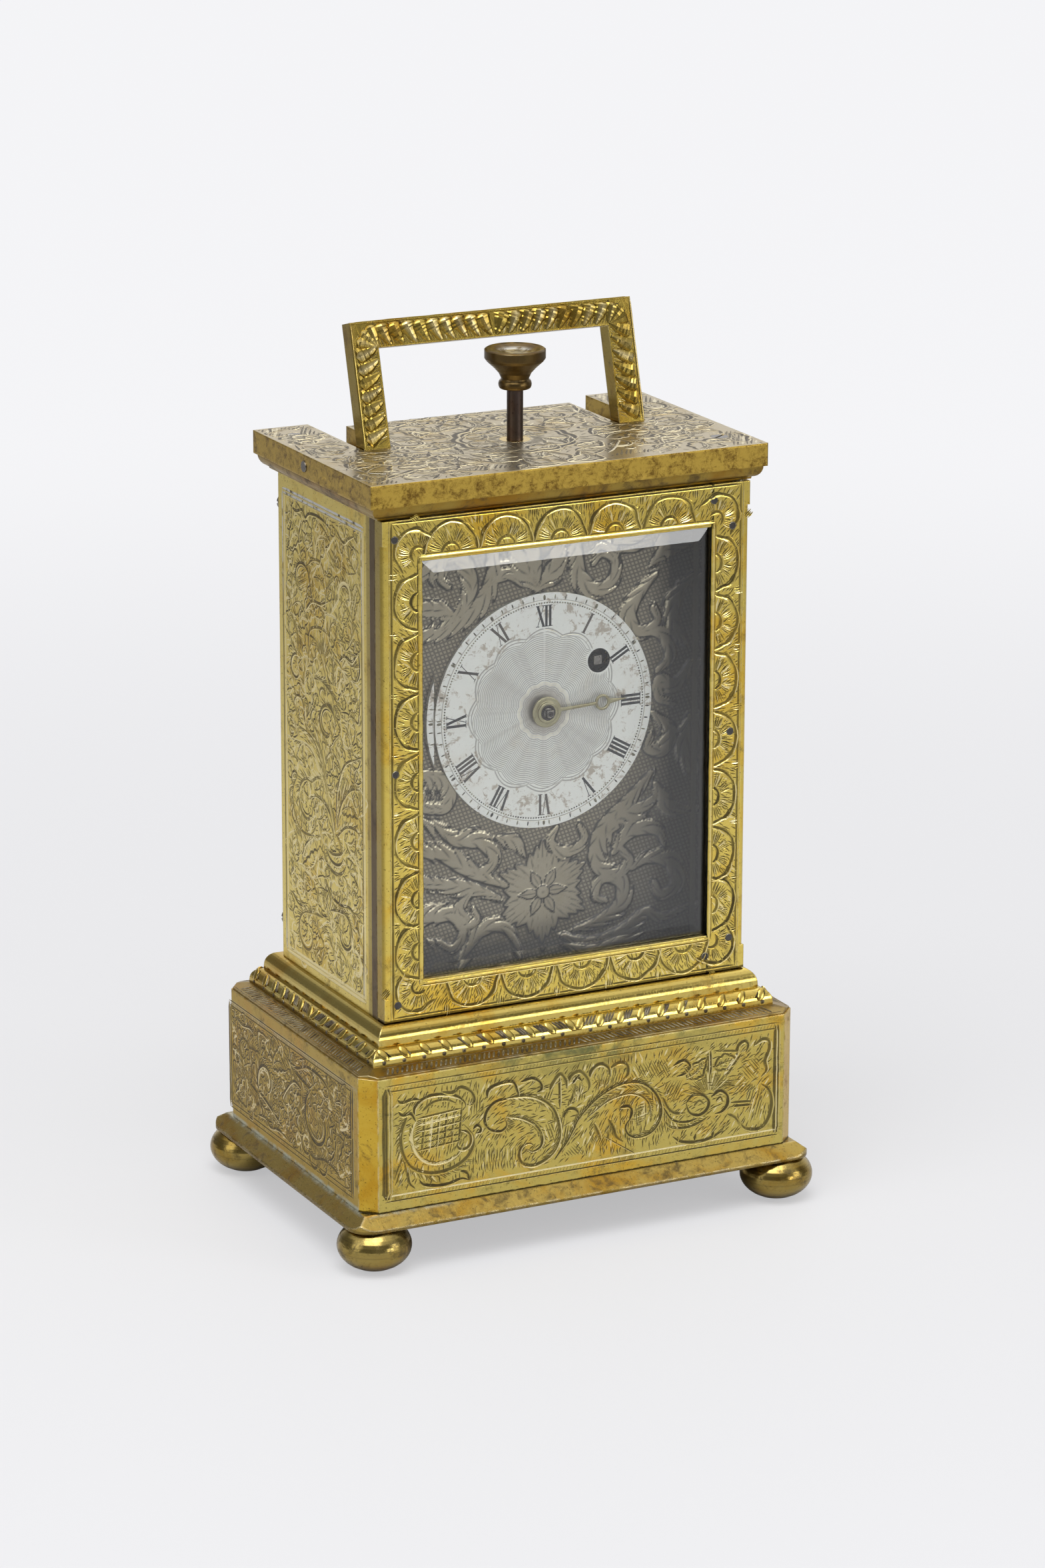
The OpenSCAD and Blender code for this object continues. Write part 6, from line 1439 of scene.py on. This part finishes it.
# %% The row tree
def make_row_tree():
    """Geometry Nodes: one small shape at every step of a rail."""
    tree = bpy.data.node_groups.new("row along a rail", "GeometryNodeTree")
    face = tree.interface
    face.new_socket("Geometry", in_out="INPUT", socket_type="NodeSocketGeometry")
    for label, value in (("Step", 0.0034), ("Long", 0.001), ("Wide", 0.0005), ("High", 0.0002), ("Turn", 0.3)):
        face.new_socket(label, in_out="INPUT", socket_type="NodeSocketFloat").default_value = value
    face.new_socket("Material", in_out="INPUT", socket_type="NodeSocketMaterial")
    face.new_socket("Geometry", in_out="OUTPUT", socket_type="NodeSocketGeometry")
    into, out = tree.nodes.new("NodeGroupInput"), tree.nodes.new("NodeGroupOutput")
    curve = put(tree, "GeometryNodeMeshToCurve", {"Mesh": into.outputs["Geometry"]})
    steps = tree.nodes.new("GeometryNodeResampleCurve")
    steps.mode = "LENGTH"
    wire(tree, curve, steps.inputs["Curve"])
    wire(tree, into.outputs["Step"], steps.inputs["Length"])
    outward = put(tree, "GeometryNodeInputNamedAttribute", {"Name": "outward"}, data_type="FLOAT_VECTOR")
    lean = put(tree, "GeometryNodeInputNamedAttribute", {"Name": "lean"}, data_type="FLOAT")
    along = put(tree, "FunctionNodeAlignRotationToVector", {"Vector": tree.nodes.new("GeometryNodeInputTangent")},
                axis="X")
    facing = put(tree, "FunctionNodeAlignRotationToVector", {"Rotation": along, "Vector": outward}, axis="Z",
                 pivot_axis="X")
    about = put(tree, "FunctionNodeAxisAngleToRotation",
                {"Axis": (0.0, 0.0, 1.0), "Angle": Signal(tree, lean) * into.outputs["Turn"]})
    turned = put(tree, "FunctionNodeRotateRotation", {"Rotation": facing, "Rotate By": about}, rotation_space="LOCAL")
    seed = put(tree, "GeometryNodeMeshIcoSphere", {"Radius": 0.5, "Subdivisions": 2})
    size = join(tree, X=into.outputs["Wide"], Y=into.outputs["Long"], Z=into.outputs["High"])
    row = put(tree, "GeometryNodeInstanceOnPoints", {"Points": steps, "Instance": seed, "Rotation": turned,
        "Scale": size})
    real = put(tree, "GeometryNodeRealizeInstances", {"Geometry": row})
    done = put(tree, "GeometryNodeSetMaterial", {"Geometry": real, "Material": into.outputs["Material"]})
    wire(tree, done, out.inputs["Geometry"])
    return tree


ROW_TREE = make_row_tree()
print("tree", ROW_TREE.name, len(ROW_TREE.nodes), "nodes")

# %% [markdown]
# A rail piece is made in three steps: the chain of edges with its outward direction,
# the modifier with its inputs set by their identifiers, and the plain mesh that comes
# out of it.


# %% From rail to piece
def grow_row(rails, step, long, wide, high, turn, material):
    """Runs the row tree over rails and returns the mesh; sizes in millimetres."""
    points, edges, outward, lean = [], [], [], []
    for rail in rails:
        first = len(points)
        if isinstance(rail, np.ndarray):
            count = len(rail)
            points += (rail * MM).tolist()
            edges += [(first + k, first + (k + 1) % count) for k in range(count)]
            outward += [(0, -1, 0)] * count
            lean += [0.0] * count
            continue
        start, end, out, sign = rail
        points += [tuple(MM * c for c in start), tuple(MM * c for c in end)]
        edges.append((first, first + 1))
        outward += [out, out]
        lean += [sign, sign]
    mesh = bpy.data.meshes.new("rails")
    mesh.from_pydata(points, edges, [])
    mesh.attributes.new("outward", "FLOAT_VECTOR", "POINT").data.foreach_set("vector",
        np.array(outward, np.float32).ravel())
    mesh.attributes.new("lean", "FLOAT", "POINT").data.foreach_set("value", np.array(lean, np.float32))
    rail = bpy.data.objects.new("rails", mesh)
    bpy.context.scene.collection.objects.link(rail)
    modifier = rail.modifiers.new("row", "NODES")
    modifier.node_group = ROW_TREE
    sizes = {"Step": step * MM, "Long": long * MM, "Wide": wide * MM, "High": high * MM,
             "Turn": math.radians(turn), "Material": material}
    for item in ROW_TREE.interface.items_tree:
        if item.item_type == "SOCKET" and item.in_out == "INPUT" and item.name in sizes:
            modifier[item.identifier] = sizes[item.name]
    grown = bpy.data.meshes.new_from_object(rail.evaluated_get(bpy.context.evaluated_depsgraph_get()))
    bpy.data.objects.remove(rail)
    return grown


def join_meshes(name, meshes, material):
    """Puts several grown meshes into one piece on the case."""
    points, faces, first = [], [], 0
    for mesh in meshes:
        flat = np.empty(3 * len(mesh.vertices), np.float32)
        mesh.vertices.foreach_get("co", flat)
        points.append(flat.reshape(-1, 3) / MM)
        faces += [tuple(first + v for v in polygon.vertices) for polygon in mesh.polygons]
        first += len(mesh.vertices)
    return make_piece(name, np.vstack(points), faces, material, "case", soft=True)


# %% Rails round the plinth
LEAF_IN, LEAF_RUN, LEAF_LOW, LEAF_HIGH = 3.1, 1.9, 34.1, 36.8
TOP_LOW, TOP_SLOPE, TOP_RISE = 33.4, 0.2414, math.radians(76.4)
CORNER_CUT, SEED_STEP = 2.5, 3.45
BEAD_POINTS = 42


def rails_round(inset, z, rise, gap=0.8, shift=0.0):
    """Rails from the middle of each side both ways, inset from the plinth's outline."""
    half, deep, out = PLINTH_END - inset, PLINTH_FACE - inset, math.cos(rise)
    rails = []
    for way in (-1, 1):
        rails.append(((way * shift, -deep, z), (way * (half - gap), -deep, z), (0, -out, math.sin(rise)), -way))
        rails.append(((way * shift, deep, z), (way * (half - gap), deep, z), (0, out, math.sin(rise)), way))
        rails.append(((-half, way * shift, z), (-half, way * (deep - gap), z), (-out, 0, math.sin(rise)), way))
        rails.append(((half, way * shift, z), (half, way * (deep - gap), z), (out, 0, math.sin(rise)), -way))
    return rails


def on_leaf(degrees):
    """Inset, height and rise of a line on the quarter-round of the leaf moulding."""
    c, s = math.cos(math.radians(degrees)), math.sin(math.radians(degrees))
    low = LEAF_LOW + 0.5
    return LEAF_IN + LEAF_RUN * (1 - c), low + (LEAF_HIGH - low) * s, math.atan2(s / (LEAF_HIGH - low), c / LEAF_RUN)


seeds = grow_row(rails_round(*on_leaf(40), 1.6, 0.9), SEED_STEP, 2.7, 1.45, 0.34, 34, BRIGHT_GILT)
join_meshes("leaf_moulding_seeds", [seeds], BRIGHT_GILT)
nicks = [grow_row(rails_round(*on_leaf(46), 2.0, 2.15 + 0.62 * k), SEED_STEP, 2.3, 0.4, 0.24, 40, DARK_CUT)
         for k in range(3)]
nicks.append(grow_row(rails_round(*on_leaf(4), 2.0, 2.6), SEED_STEP, 0.75, 0.75, 0.16, 0, DARK_CUT))
join_meshes("leaf_moulding_nicks", nicks, DARK_CUT)
hatch = grow_row(rails_round(1.65, 33.77, TOP_RISE, CORNER_CUT + 0.9, 0.3), 0.86, 2.0, 0.42, 0.1, -28, DARK_CUT)
join_meshes("plinth_top_hatching", [hatch], DARK_CUT)
for inset in (0.55, 2.75):
    height = TOP_LOW + TOP_SLOPE * (inset - 0.2) + 0.01
    lines = grow_row(rails_round(inset, height, TOP_RISE, CORNER_CUT + 0.2), 0.5, 0.12, 0.62, 0.07, 0, DARK_CUT)
    join_meshes("plinth_top_line_%d" % (10 * inset), [lines], DARK_CUT)
print("seeds", len(seeds.vertices) // BEAD_POINTS, "hatching", len(hatch.vertices) // BEAD_POINTS)

# %% [markdown]
# The return spring of the button shortens when the button is pressed, while its foot
# stays on the cage. The imported solid of the spring can't do that. A finer coil of the
# same wire stands in its place, wound at rest.

# %% The return spring
COIL_FOOT, COIL_LOW, COIL_HIGH = 112.2, 112.5, 122.6
COIL_R, WIRE_R, COIL_TURNS, BUTTON_TRAVEL = 2.05, 0.3, 6, 6.5
RINGS_A_TURN, WIRE_SIDES = 28, 10

turn = np.arange(COIL_TURNS * RINGS_A_TURN + 1)[:, None] / RINGS_A_TURN
round_wire = math.tau * np.arange(WIRE_SIDES)[None, :] / WIRE_SIDES
reach = COIL_R + WIRE_R * np.cos(round_wire)
coil = np.stack([reach * np.cos(math.tau * turn), BUTTON_Y + reach * np.sin(math.tau * turn),
                 COIL_LOW + (COIL_HIGH - COIL_LOW) * turn / COIL_TURNS + WIRE_R * np.sin(round_wire)], 2)
ring_count = len(turn)
skin = [(i + k, i + WIRE_SIDES + k, i + WIRE_SIDES + (k + 1) % WIRE_SIDES, i + (k + 1) % WIRE_SIDES)
        for i in range(0, (ring_count - 1) * WIRE_SIDES, WIRE_SIDES) for k in range(WIRE_SIDES)]
skin.append(tuple(range(WIRE_SIDES)))
skin.append(tuple((ring_count - 1) * WIRE_SIDES + k for k in reversed(range(WIRE_SIDES))))
wound_spring = make_piece("return_spring_coil", coil.reshape(-1, 3), skin, STEEL, "case", soft=True)
outward = bmesh.new()
outward.from_mesh(wound_spring.data)
bmesh.ops.recalc_face_normals(outward, faces=outward.faces)
outward.to_mesh(wound_spring.data)
outward.free()
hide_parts("return_spring")
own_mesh(wound_spring)

# %% [markdown]
# ## The dial
# A silvered disc with engine turning: rings that wave twelve times round, so light
# runs over them in rays. Round it stand the hours, printed black and partly worn to
# brown, then a string of fine dots and the minute strokes. The numerals are plain
# Roman ones with their feet to the centre, each built from bars and thin serifs.

# %% Engine turning
DIAL_FACE = -12.1
turning = Sheet(81)
ROUND = np.linspace(0, 2 * math.pi, 241)
EVEN = (0.001, 0.001)


def waved(radius, depth, shift=0.0):
    """A ring with twelve lobes, its crests on the hours."""
    r = radius + depth * np.abs(np.cos(6 * ROUND + shift))
    return np.stack([r * np.sin(ROUND), r * np.cos(ROUND)], 1)


for k in range(30):
    radius = 3.3 + 0.31 * k
    turning.cuts.append((waved(radius, 0.07 * radius, 0.02 * k), 0.1, EVEN, True))
for radius, depth, width in ((12.85, 1.05, 0.2), (12.35, 1.0, 0.13), (18.78, 0.0, 0.12)):
    turning.cuts.append((waved(radius, depth), width, EVEN, False))
trim(turning, lambda p: np.hypot(p[:, 0] - WINDING_X, p[:, 1] - WINDING_Z + DIAL_Z) > WINDING_BORE + 0.12)
carve("dial_engine_turning", turning, (0, DIAL_FACE, DIAL_Z), RIGHT, UP, SILVER_CUT)
print("rings:", len(turning.cuts))

# %% Hour numerals
FOOT_R, NUMERAL_HIGH = 14.35, 3.5
THICK, THIN, SERIF = 0.44, 0.13, 0.42
WIDE = {"I": 0.7, "V": 1.4, "X": 1.4}
HOURS = "XII I II III IIII V VI VII VIII IX X XI".split()
HOUR_WEAR = {1: 0.65, 6: 0.6, 7: 0.15, 8: 0.5, 10: 0.3, 11: 0.65}


def strokes_of(text):
    """Bars (u0, v0, u1, v1, width) of a Roman numeral, centred, v 0 at its foot."""
    bars, u = [], -sum(WIDE[c] for c in text) / 2
    for c in text:
        m, h = u + WIDE[c] / 2, NUMERAL_HIGH
        if c == "I":
            bars += [(m, 0, m, h, THICK), (m - SERIF, 0, m + SERIF, 0, THIN), (m - SERIF, h, m + SERIF, h, THIN)]
        else:
            low = 0.0 if c == "V" else 0.55
            bars += [(m - 0.55, h, m + low, 0, THICK), (m + 0.55, h, m - low, 0, THIN)]
            ends = [(m - 0.55, h), (m + 0.55, h)] + ([(m - 0.55, 0), (m + 0.55, 0)] if c == "X" else [])
            bars += [(a - SERIF * 0.75, b, a + SERIF * 0.75, b, THIN) for a, b in ends]
        u += WIDE[c]
    return bars


points, faces, worn = [], [], []
for hour, text in enumerate(HOURS):
    a = math.radians(30 * hour)
    outward, across = np.array([math.sin(a), math.cos(a)]), np.array([math.cos(a), -math.sin(a)])
    for u0, v0, u1, v1, width in strokes_of(text):
        way = np.array([u1 - u0, v1 - v0])
        normal = np.array([-way[1], way[0]]) / np.linalg.norm(way) * width / 2
        first = len(points)
        for u, v in ((u0, v0) + normal, (u0, v0) - normal, (u1, v1) - normal, (u1, v1) + normal):
            flat = outward * (FOOT_R + v) + across * u
            points.append((flat[0], DIAL_FACE - 0.012 - 0.0004 * (len(faces) % 9), DIAL_Z + flat[1]))
            worn.append(HOUR_WEAR.get(hour, 0.0))
        faces.append((first, first + 1, first + 2, first + 3))
make_piece("dial_numerals", points, faces, DIAL_INK, "case", worn)
print("numeral bars:", len(faces))


# %% Dots and minute strokes
def ring_rail(radius, edges=180):
    """A closed chain of points round the dial."""
    a = np.linspace(0, 2 * math.pi, edges, endpoint=False)
    return np.stack([radius * np.sin(a), np.full(edges, DIAL_FACE), DIAL_Z + radius * np.cos(a)], 1)


def grow_ring(radius, count, long, wide, high, material):
    """The row tree on a ring."""
    loop = ring_rail(radius)
    way_round = sum(np.linalg.norm(loop - np.roll(loop, -1, 0), axis=1))
    return grow_row([loop], way_round / count, long, wide, high, 0, material)


rings = [grow_ring(*row, DIAL_INK) for row in (
    (18.32, 240, 0.28, 0.28, 0.04), (19.26, 60, 0.8, 0.24, 0.03), (19.2, 12, 0.95, 0.46, 0.03))]
join_meshes("dial_minutes", rings, DIAL_INK)
print("dots and strokes:", sum(len(m.vertices) for m in rings) // BEAD_POINTS)

# %% [markdown]
# ## The mask
# The plate round the dial is chased: flat leaves and scrolls stand out of a finely
# cross-hatched ground, and a flower sits below the dial. It is made as a relief. Every
# leaf is a stroke of a round brush that swells and narrows, and each point of a fine
# grid takes the height of the strokes above it. Two values travel with the points:
# *groove* for the dark outlines, grime with painted shade, and for the painted highlights
# on slopes that face the light, *ground* for the hatched field.

# %% Brush strokes of the mask
MASK_FACE, STEP, HIGH = -11.5, 0.2, 0.2
FLOWER = np.array([0, 55.5])
strokes = []


def brush(points, start, middle, end, high=HIGH, lift=0.0, lobed=0):
    """A leaf: three half-widths along a soft curve, in millimetres; lobed is the side with the lobes."""
    line = smooth(points, 0.5)
    t = np.linspace(0, 1, len(line))
    strokes.append((line, np.interp(t, (0, 0.45, 1), (start, middle, end)), high, lift, lobed))


for degrees in (90, 27, -28, -90, -150, 152):
    a = math.radians(degrees)
    for spread, reach, fat in ((-0.36, 7, 1.7), (0.36, 7, 1.7), (-0.14, 7.8, 1.7), (0.14, 7.8, 1.7), (0, 8.7, 1.5)):
        brush([FLOWER + 1.6 * ray(a), FLOWER + 4.8 * ray(a + spread), FLOWER + reach * ray(a + spread * 0.9)],
              0.6, fat, 0.35, 0.14)
    brush([FLOWER + r * ray(a + math.pi / 6) for r in (0.9, 2.6, 4.6)], 0.4, 1, 0.1, 0.1, 0.15)
brush([-0.1,55.5, 0.1,55.5], 1.2, 1.2, 1.2, 0.2, 0.2)
# Each row: a curve, its half-widths at the start, the middle and the end, and the lobed side.
SCROLLS = (
    ([-8.8,119, -9.3,112, -11.5,106.8, -17,103.2, -23,101.3, -28,100.4], 0.8, 1.2, 0.5, 1),
    ([-18.5,102.8, -14.2,106, -12.9,110, -14.6,113.4, -17.6,113.6, -18.8,111.2, -17.4,109.6], 0.5, 1.1, 0.55, 1),
    ([-15.5,104.4, -19.8,106.8, -23.4,105.4], 0.5, 1.2, 0.2, 1),
    ([-28,112.6, -22,111.6, -18.8,114.6, -19.6,118.5], 0.5, 0.9, 0.5, -1),
    ([-27.8,107.6, -24.6,108.6, -22.6,107], 0.4, 0.9, 0.2, 1),
    ([-1,107.6, -3.6,111.6, -6.2,114.8], 0.5, 1.4, 0.2, 1),
    ([-1,107.6, -1.6,113, -1.2,117.4], 0.5, 1.5, 0.2, 1),
    ([-1,107.6, 2,111.2, 4.2,114.6], 0.5, 1.4, 0.2, -1),
    ([-10,109, -6.6,110.4, -4,108.4], 0.3, 0.9, 0.3, 1),
    ([4.5,119, 6.4,113.2, 6.9,109.2, 9.5,106.6, 12.5,107.6, 13,110.6, 10.9,112.1, 9.3,110.6], 0.6, 1.2, 0.5, -1),
    ([12,119, 13.6,113.6, 12.6,110.2], 0.4, 0.8, 0.3, 1),
    ([13.6,112.4, 17,112.8, 19.2,114.6, 19.4,118.5], 0.5, 1.2, 0.3, 1),
    ([20,109.6, 23,112.2, 27.6,112.4], 0.5, 1.2, 0.3, -1),
    ([21,107.6, 18,104.6, 16.2,101.4, 17.8,98.4, 21,99.6, 20.2,102], 0.5, 1.2, 0.6, -1),
    ([18.2,98, 22,97.2, 23.4,93.4, 21.2,91.2], 0.6, 1.1, 0.5, 1),
    ([27.8,106.6, 25,103.4, 24.4,99, 26.6,95.4], 0.5, 1.2, 0.5, -1),
    ([27.6,92, 24.8,88.6, 21.6,89.6, 21.4,86.4, 24.4,84.8], 0.5, 1.1, 0.5, 1),
    ([20.6,84, 24.2,80.6, 22.6,77, 19.4,77.8, 20,80.2], 0.5, 1.2, 0.6, -1),
    ([27.6,82.4, 26.6,77.6, 27.4,73], 0.5, 1.1, 0.5, -1),
    ([20.2,73.6, 15.8,69.4, 11.6,65.6, 9.8,61.6, 10.4,58.2, 14,56.4, 16.6,58.6, 14.8,61.2], 0.6, 1.4, 0.6, 1),
    ([12,63.8, 14.6,67, 18.8,68, 22.6,70.4], 0.5, 1.3, 0.3, -1),
    ([13.4,60.4, 17,63.8, 21.4,63.2, 22.8,60.6], 0.5, 1.3, 0.4, 1),
    ([21.2,71.6, 24,67.6, 27.8,66.4], 0.5, 1.3, 0.4, -1),
    ([16.8,57.2, 20,58.4, 24,57.4, 25.2,53.6, 22.6,52.2, 21.2,54.4], 0.5, 1.2, 0.6, 1),
    ([6.2,48.2, 10.6,49.2, 14.6,51.6, 14.4,55.2, 11.2,56, 10.2,53.4, 12,52.4], 0.5, 1.2, 0.5, -1),
    ([4,47.4, 9,45.6, 15,46.6, 19.4,49.4, 23,48, 28,49.6], 0.5, 1.1, 0.4, -1),
    ([-7,57.4, -13,60.4, -19.6,64.8, -28,66.4], 0.5, 1.2, 0.4, -1),
    ([-8,55.6, -13,58.2, -18.6,59.6, -25,63.2], 0.5, 1.1, 0.4, 1),
    ([-13.4,57.2, -15.8,54.6, -14.8,51.4, -12,52.2, -12.6,54.2], 0.5, 1.1, 0.5, 1),
    ([-27.8,47.2, -22.4,52.2, -17.6,53.8, -14.8,51, -16.6,48.2, -19,49.6], 0.5, 1.2, 0.5, 1),
    ([-27.8,56.6, -24,57, -20.4,54.6], 0.4, 1.1, 0.3, -1),
    ([-15.2,45.6, -11,50.2, -7,50, -4.4,46], 0.5, 1.1, 0.4, 1),
    ([-24.6,76.8, -20.4,78.4, -16.9,76.2, -17.6,72.4, -20.8,72.6, -20.4,75], 0.5, 1.2, 0.6, -1),
    ([-28,84.6, -25,82, -22.8,78], 0.4, 1.2, 0.4, -1),
    ([-28,94, -24.6,92, -22.6,88.4, -24.8,86.6], 0.5, 1.1, 0.5, 1),
    ([-20.4,70.4, -16.4,66.6, -11.6,65.6, -9.2,62.4, -11.6,60.8, -13.4,62.6], 0.5, 1.2, 0.5, 1),
    ([-8.4,66.2, -4.8,65, -3.2,62.2], 0.4, 1.1, 0.3, -1),
    ([2.8,66.4, 1.8,63.8, 4.6,62, 7.6,63.6, 6.8,66], 0.4, 0.9, 0.5, -1),
    ([-28,71.6, -24.2,70.6, -22,67.4], 0.4, 1.2, 0.3, -1))
dice = np.random.default_rng(91)
for line, start, middle, end, lobed in SCROLLS:
    brush(line, 1.3 * start, 1.45 * middle, 1.2 * end, HIGH, 0.05 * dice.random(), lobed)
print("brush strokes:", len(strokes))

# %% Relief from the strokes
GRID_X, GRID_Z = np.arange(-28, 28.01, STEP), np.arange(44.4, 119.61, STEP)
gx, gz = np.meshgrid(GRID_X, GRID_Z)
height, nearest, vein = np.zeros_like(gx), np.full_like(gx, 9), np.zeros_like(gx)
for line, half, high, lift, lobed in strokes:
    reach = half.max() * 1.5 + 0.6
    i0, i1 = np.searchsorted(GRID_X, (line[:, 0].min() - reach, line[:, 0].max() + reach))
    k0, k1 = np.searchsorted(GRID_Z, (line[:, 1].min() - reach, line[:, 1].max() + reach))
    if i1 - i0 < 2 or k1 - k0 < 2:
        continue
    part = np.s_[k0:k1, i0:i1]
    x, z = gx[part], gz[part]
    best, far, base, along, hand = (np.full_like(x, v) for v in (99, 9, 1, 0, 1))
    run = np.concatenate([[0], np.cumsum(np.linalg.norm(np.diff(line, axis=0), axis=1))])
    for (ax, az), (bx, bz), ra, rb, sa, sb in zip(line, line[1:], half, half[1:], run, run[1:]):
        square = max((bx - ax) ** 2 + (bz - az) ** 2, 1e-9)
        t = np.clip(((x - ax) * (bx - ax) + (z - az) * (bz - az)) / square, 0, 1)
        d = np.hypot(x - ax - t * (bx - ax), z - az - t * (bz - az))
        r = ra + (rb - ra) * t
        nearer = d / r < best
        side = np.sign((bx - ax) * (z - az) - (bz - az) * (x - ax))
        best, far, base, along, hand = (np.where(nearer, new, old) for new, old in (
            (d / r, best), (d, far), (r, base), (sa + (sb - sa) * t, along), (side, hand)))
    if lobed:
        outer = hand == lobed
        lobes = max(2, round(run[-1] / 2.8))
        phase = lobes * along / run[-1] - 1.15 * best
        notch = np.abs(np.sin(math.pi * phase))
        edge_at = base * np.where(outer, 0.6 + 0.85 * notch ** 0.6, 0.62 + 0.1 * notch)
        rib = np.exp(-(notch / 0.3) ** 2) * np.clip((best - 0.05) / 0.25, 0, 1)
    else:
        edge_at, rib = base, 0.8 * np.exp(-(best / 0.12) ** 2) * (half.max() > 0.7)
    gap = far - edge_at
    dome = np.where(gap < 0, high * (1 - 0.35 * (far / edge_at) ** 2) + lift - 0.03 * rib, 0)
    above = dome > height[part]
    # Dark outlines at each leaf's edge: grime with painted shade where the leaf meets the ground.
    edge = 1.5 * np.exp(-(gap / 0.18) ** 2)
    vein[part] = np.where(above, np.maximum(edge, 0.9 * rib), np.maximum(vein[part], edge * (height[part] <= 0)))
    height[part] = np.maximum(height[part], dome)
    nearest[part] = np.minimum(nearest[part], gap)
slope_z, slope_x = np.gradient(height, STEP)
# Painted highlight: leaf slopes that face the upper left get negative groove values, so they are painted bright.
glint = np.clip((0.55 * slope_x - 0.83 * slope_z - 0.12) / 0.4, 0, 1)
vein -= 1.1 * glint * (vein < 1)
ground = np.clip((nearest - 0.05) / 0.2, 0, 1)
keep = np.hypot(gx, gz - DIAL_Z) > 19
index = np.full(gx.shape, -1)
quad = keep[:-1, :-1] & keep[1:, :-1] & keep[1:, 1:] & keep[:-1, 1:]
used = np.zeros_like(keep)
for a, b in ((0, 0), (1, 0), (1, 1), (0, 1)):
    used[a:a + quad.shape[0], b:b + quad.shape[1]] |= quad
index[used] = np.arange(used.sum())
faces = np.stack([index[:-1, :-1][quad], index[:-1, 1:][quad], index[1:, 1:][quad], index[1:, :-1][quad]], 1)
points = np.stack([gx[used], MASK_FACE - 0.02 - height[used], gz[used]], 1)
mask = make_piece("mask_chasing", points, faces, MASK_CUT, "case", vein[used], soft=True)
mask.data.attributes.new("ground", "FLOAT", "POINT").data.foreach_set("value", ground[used].astype(np.float32))
print("mask faces:", len(faces))
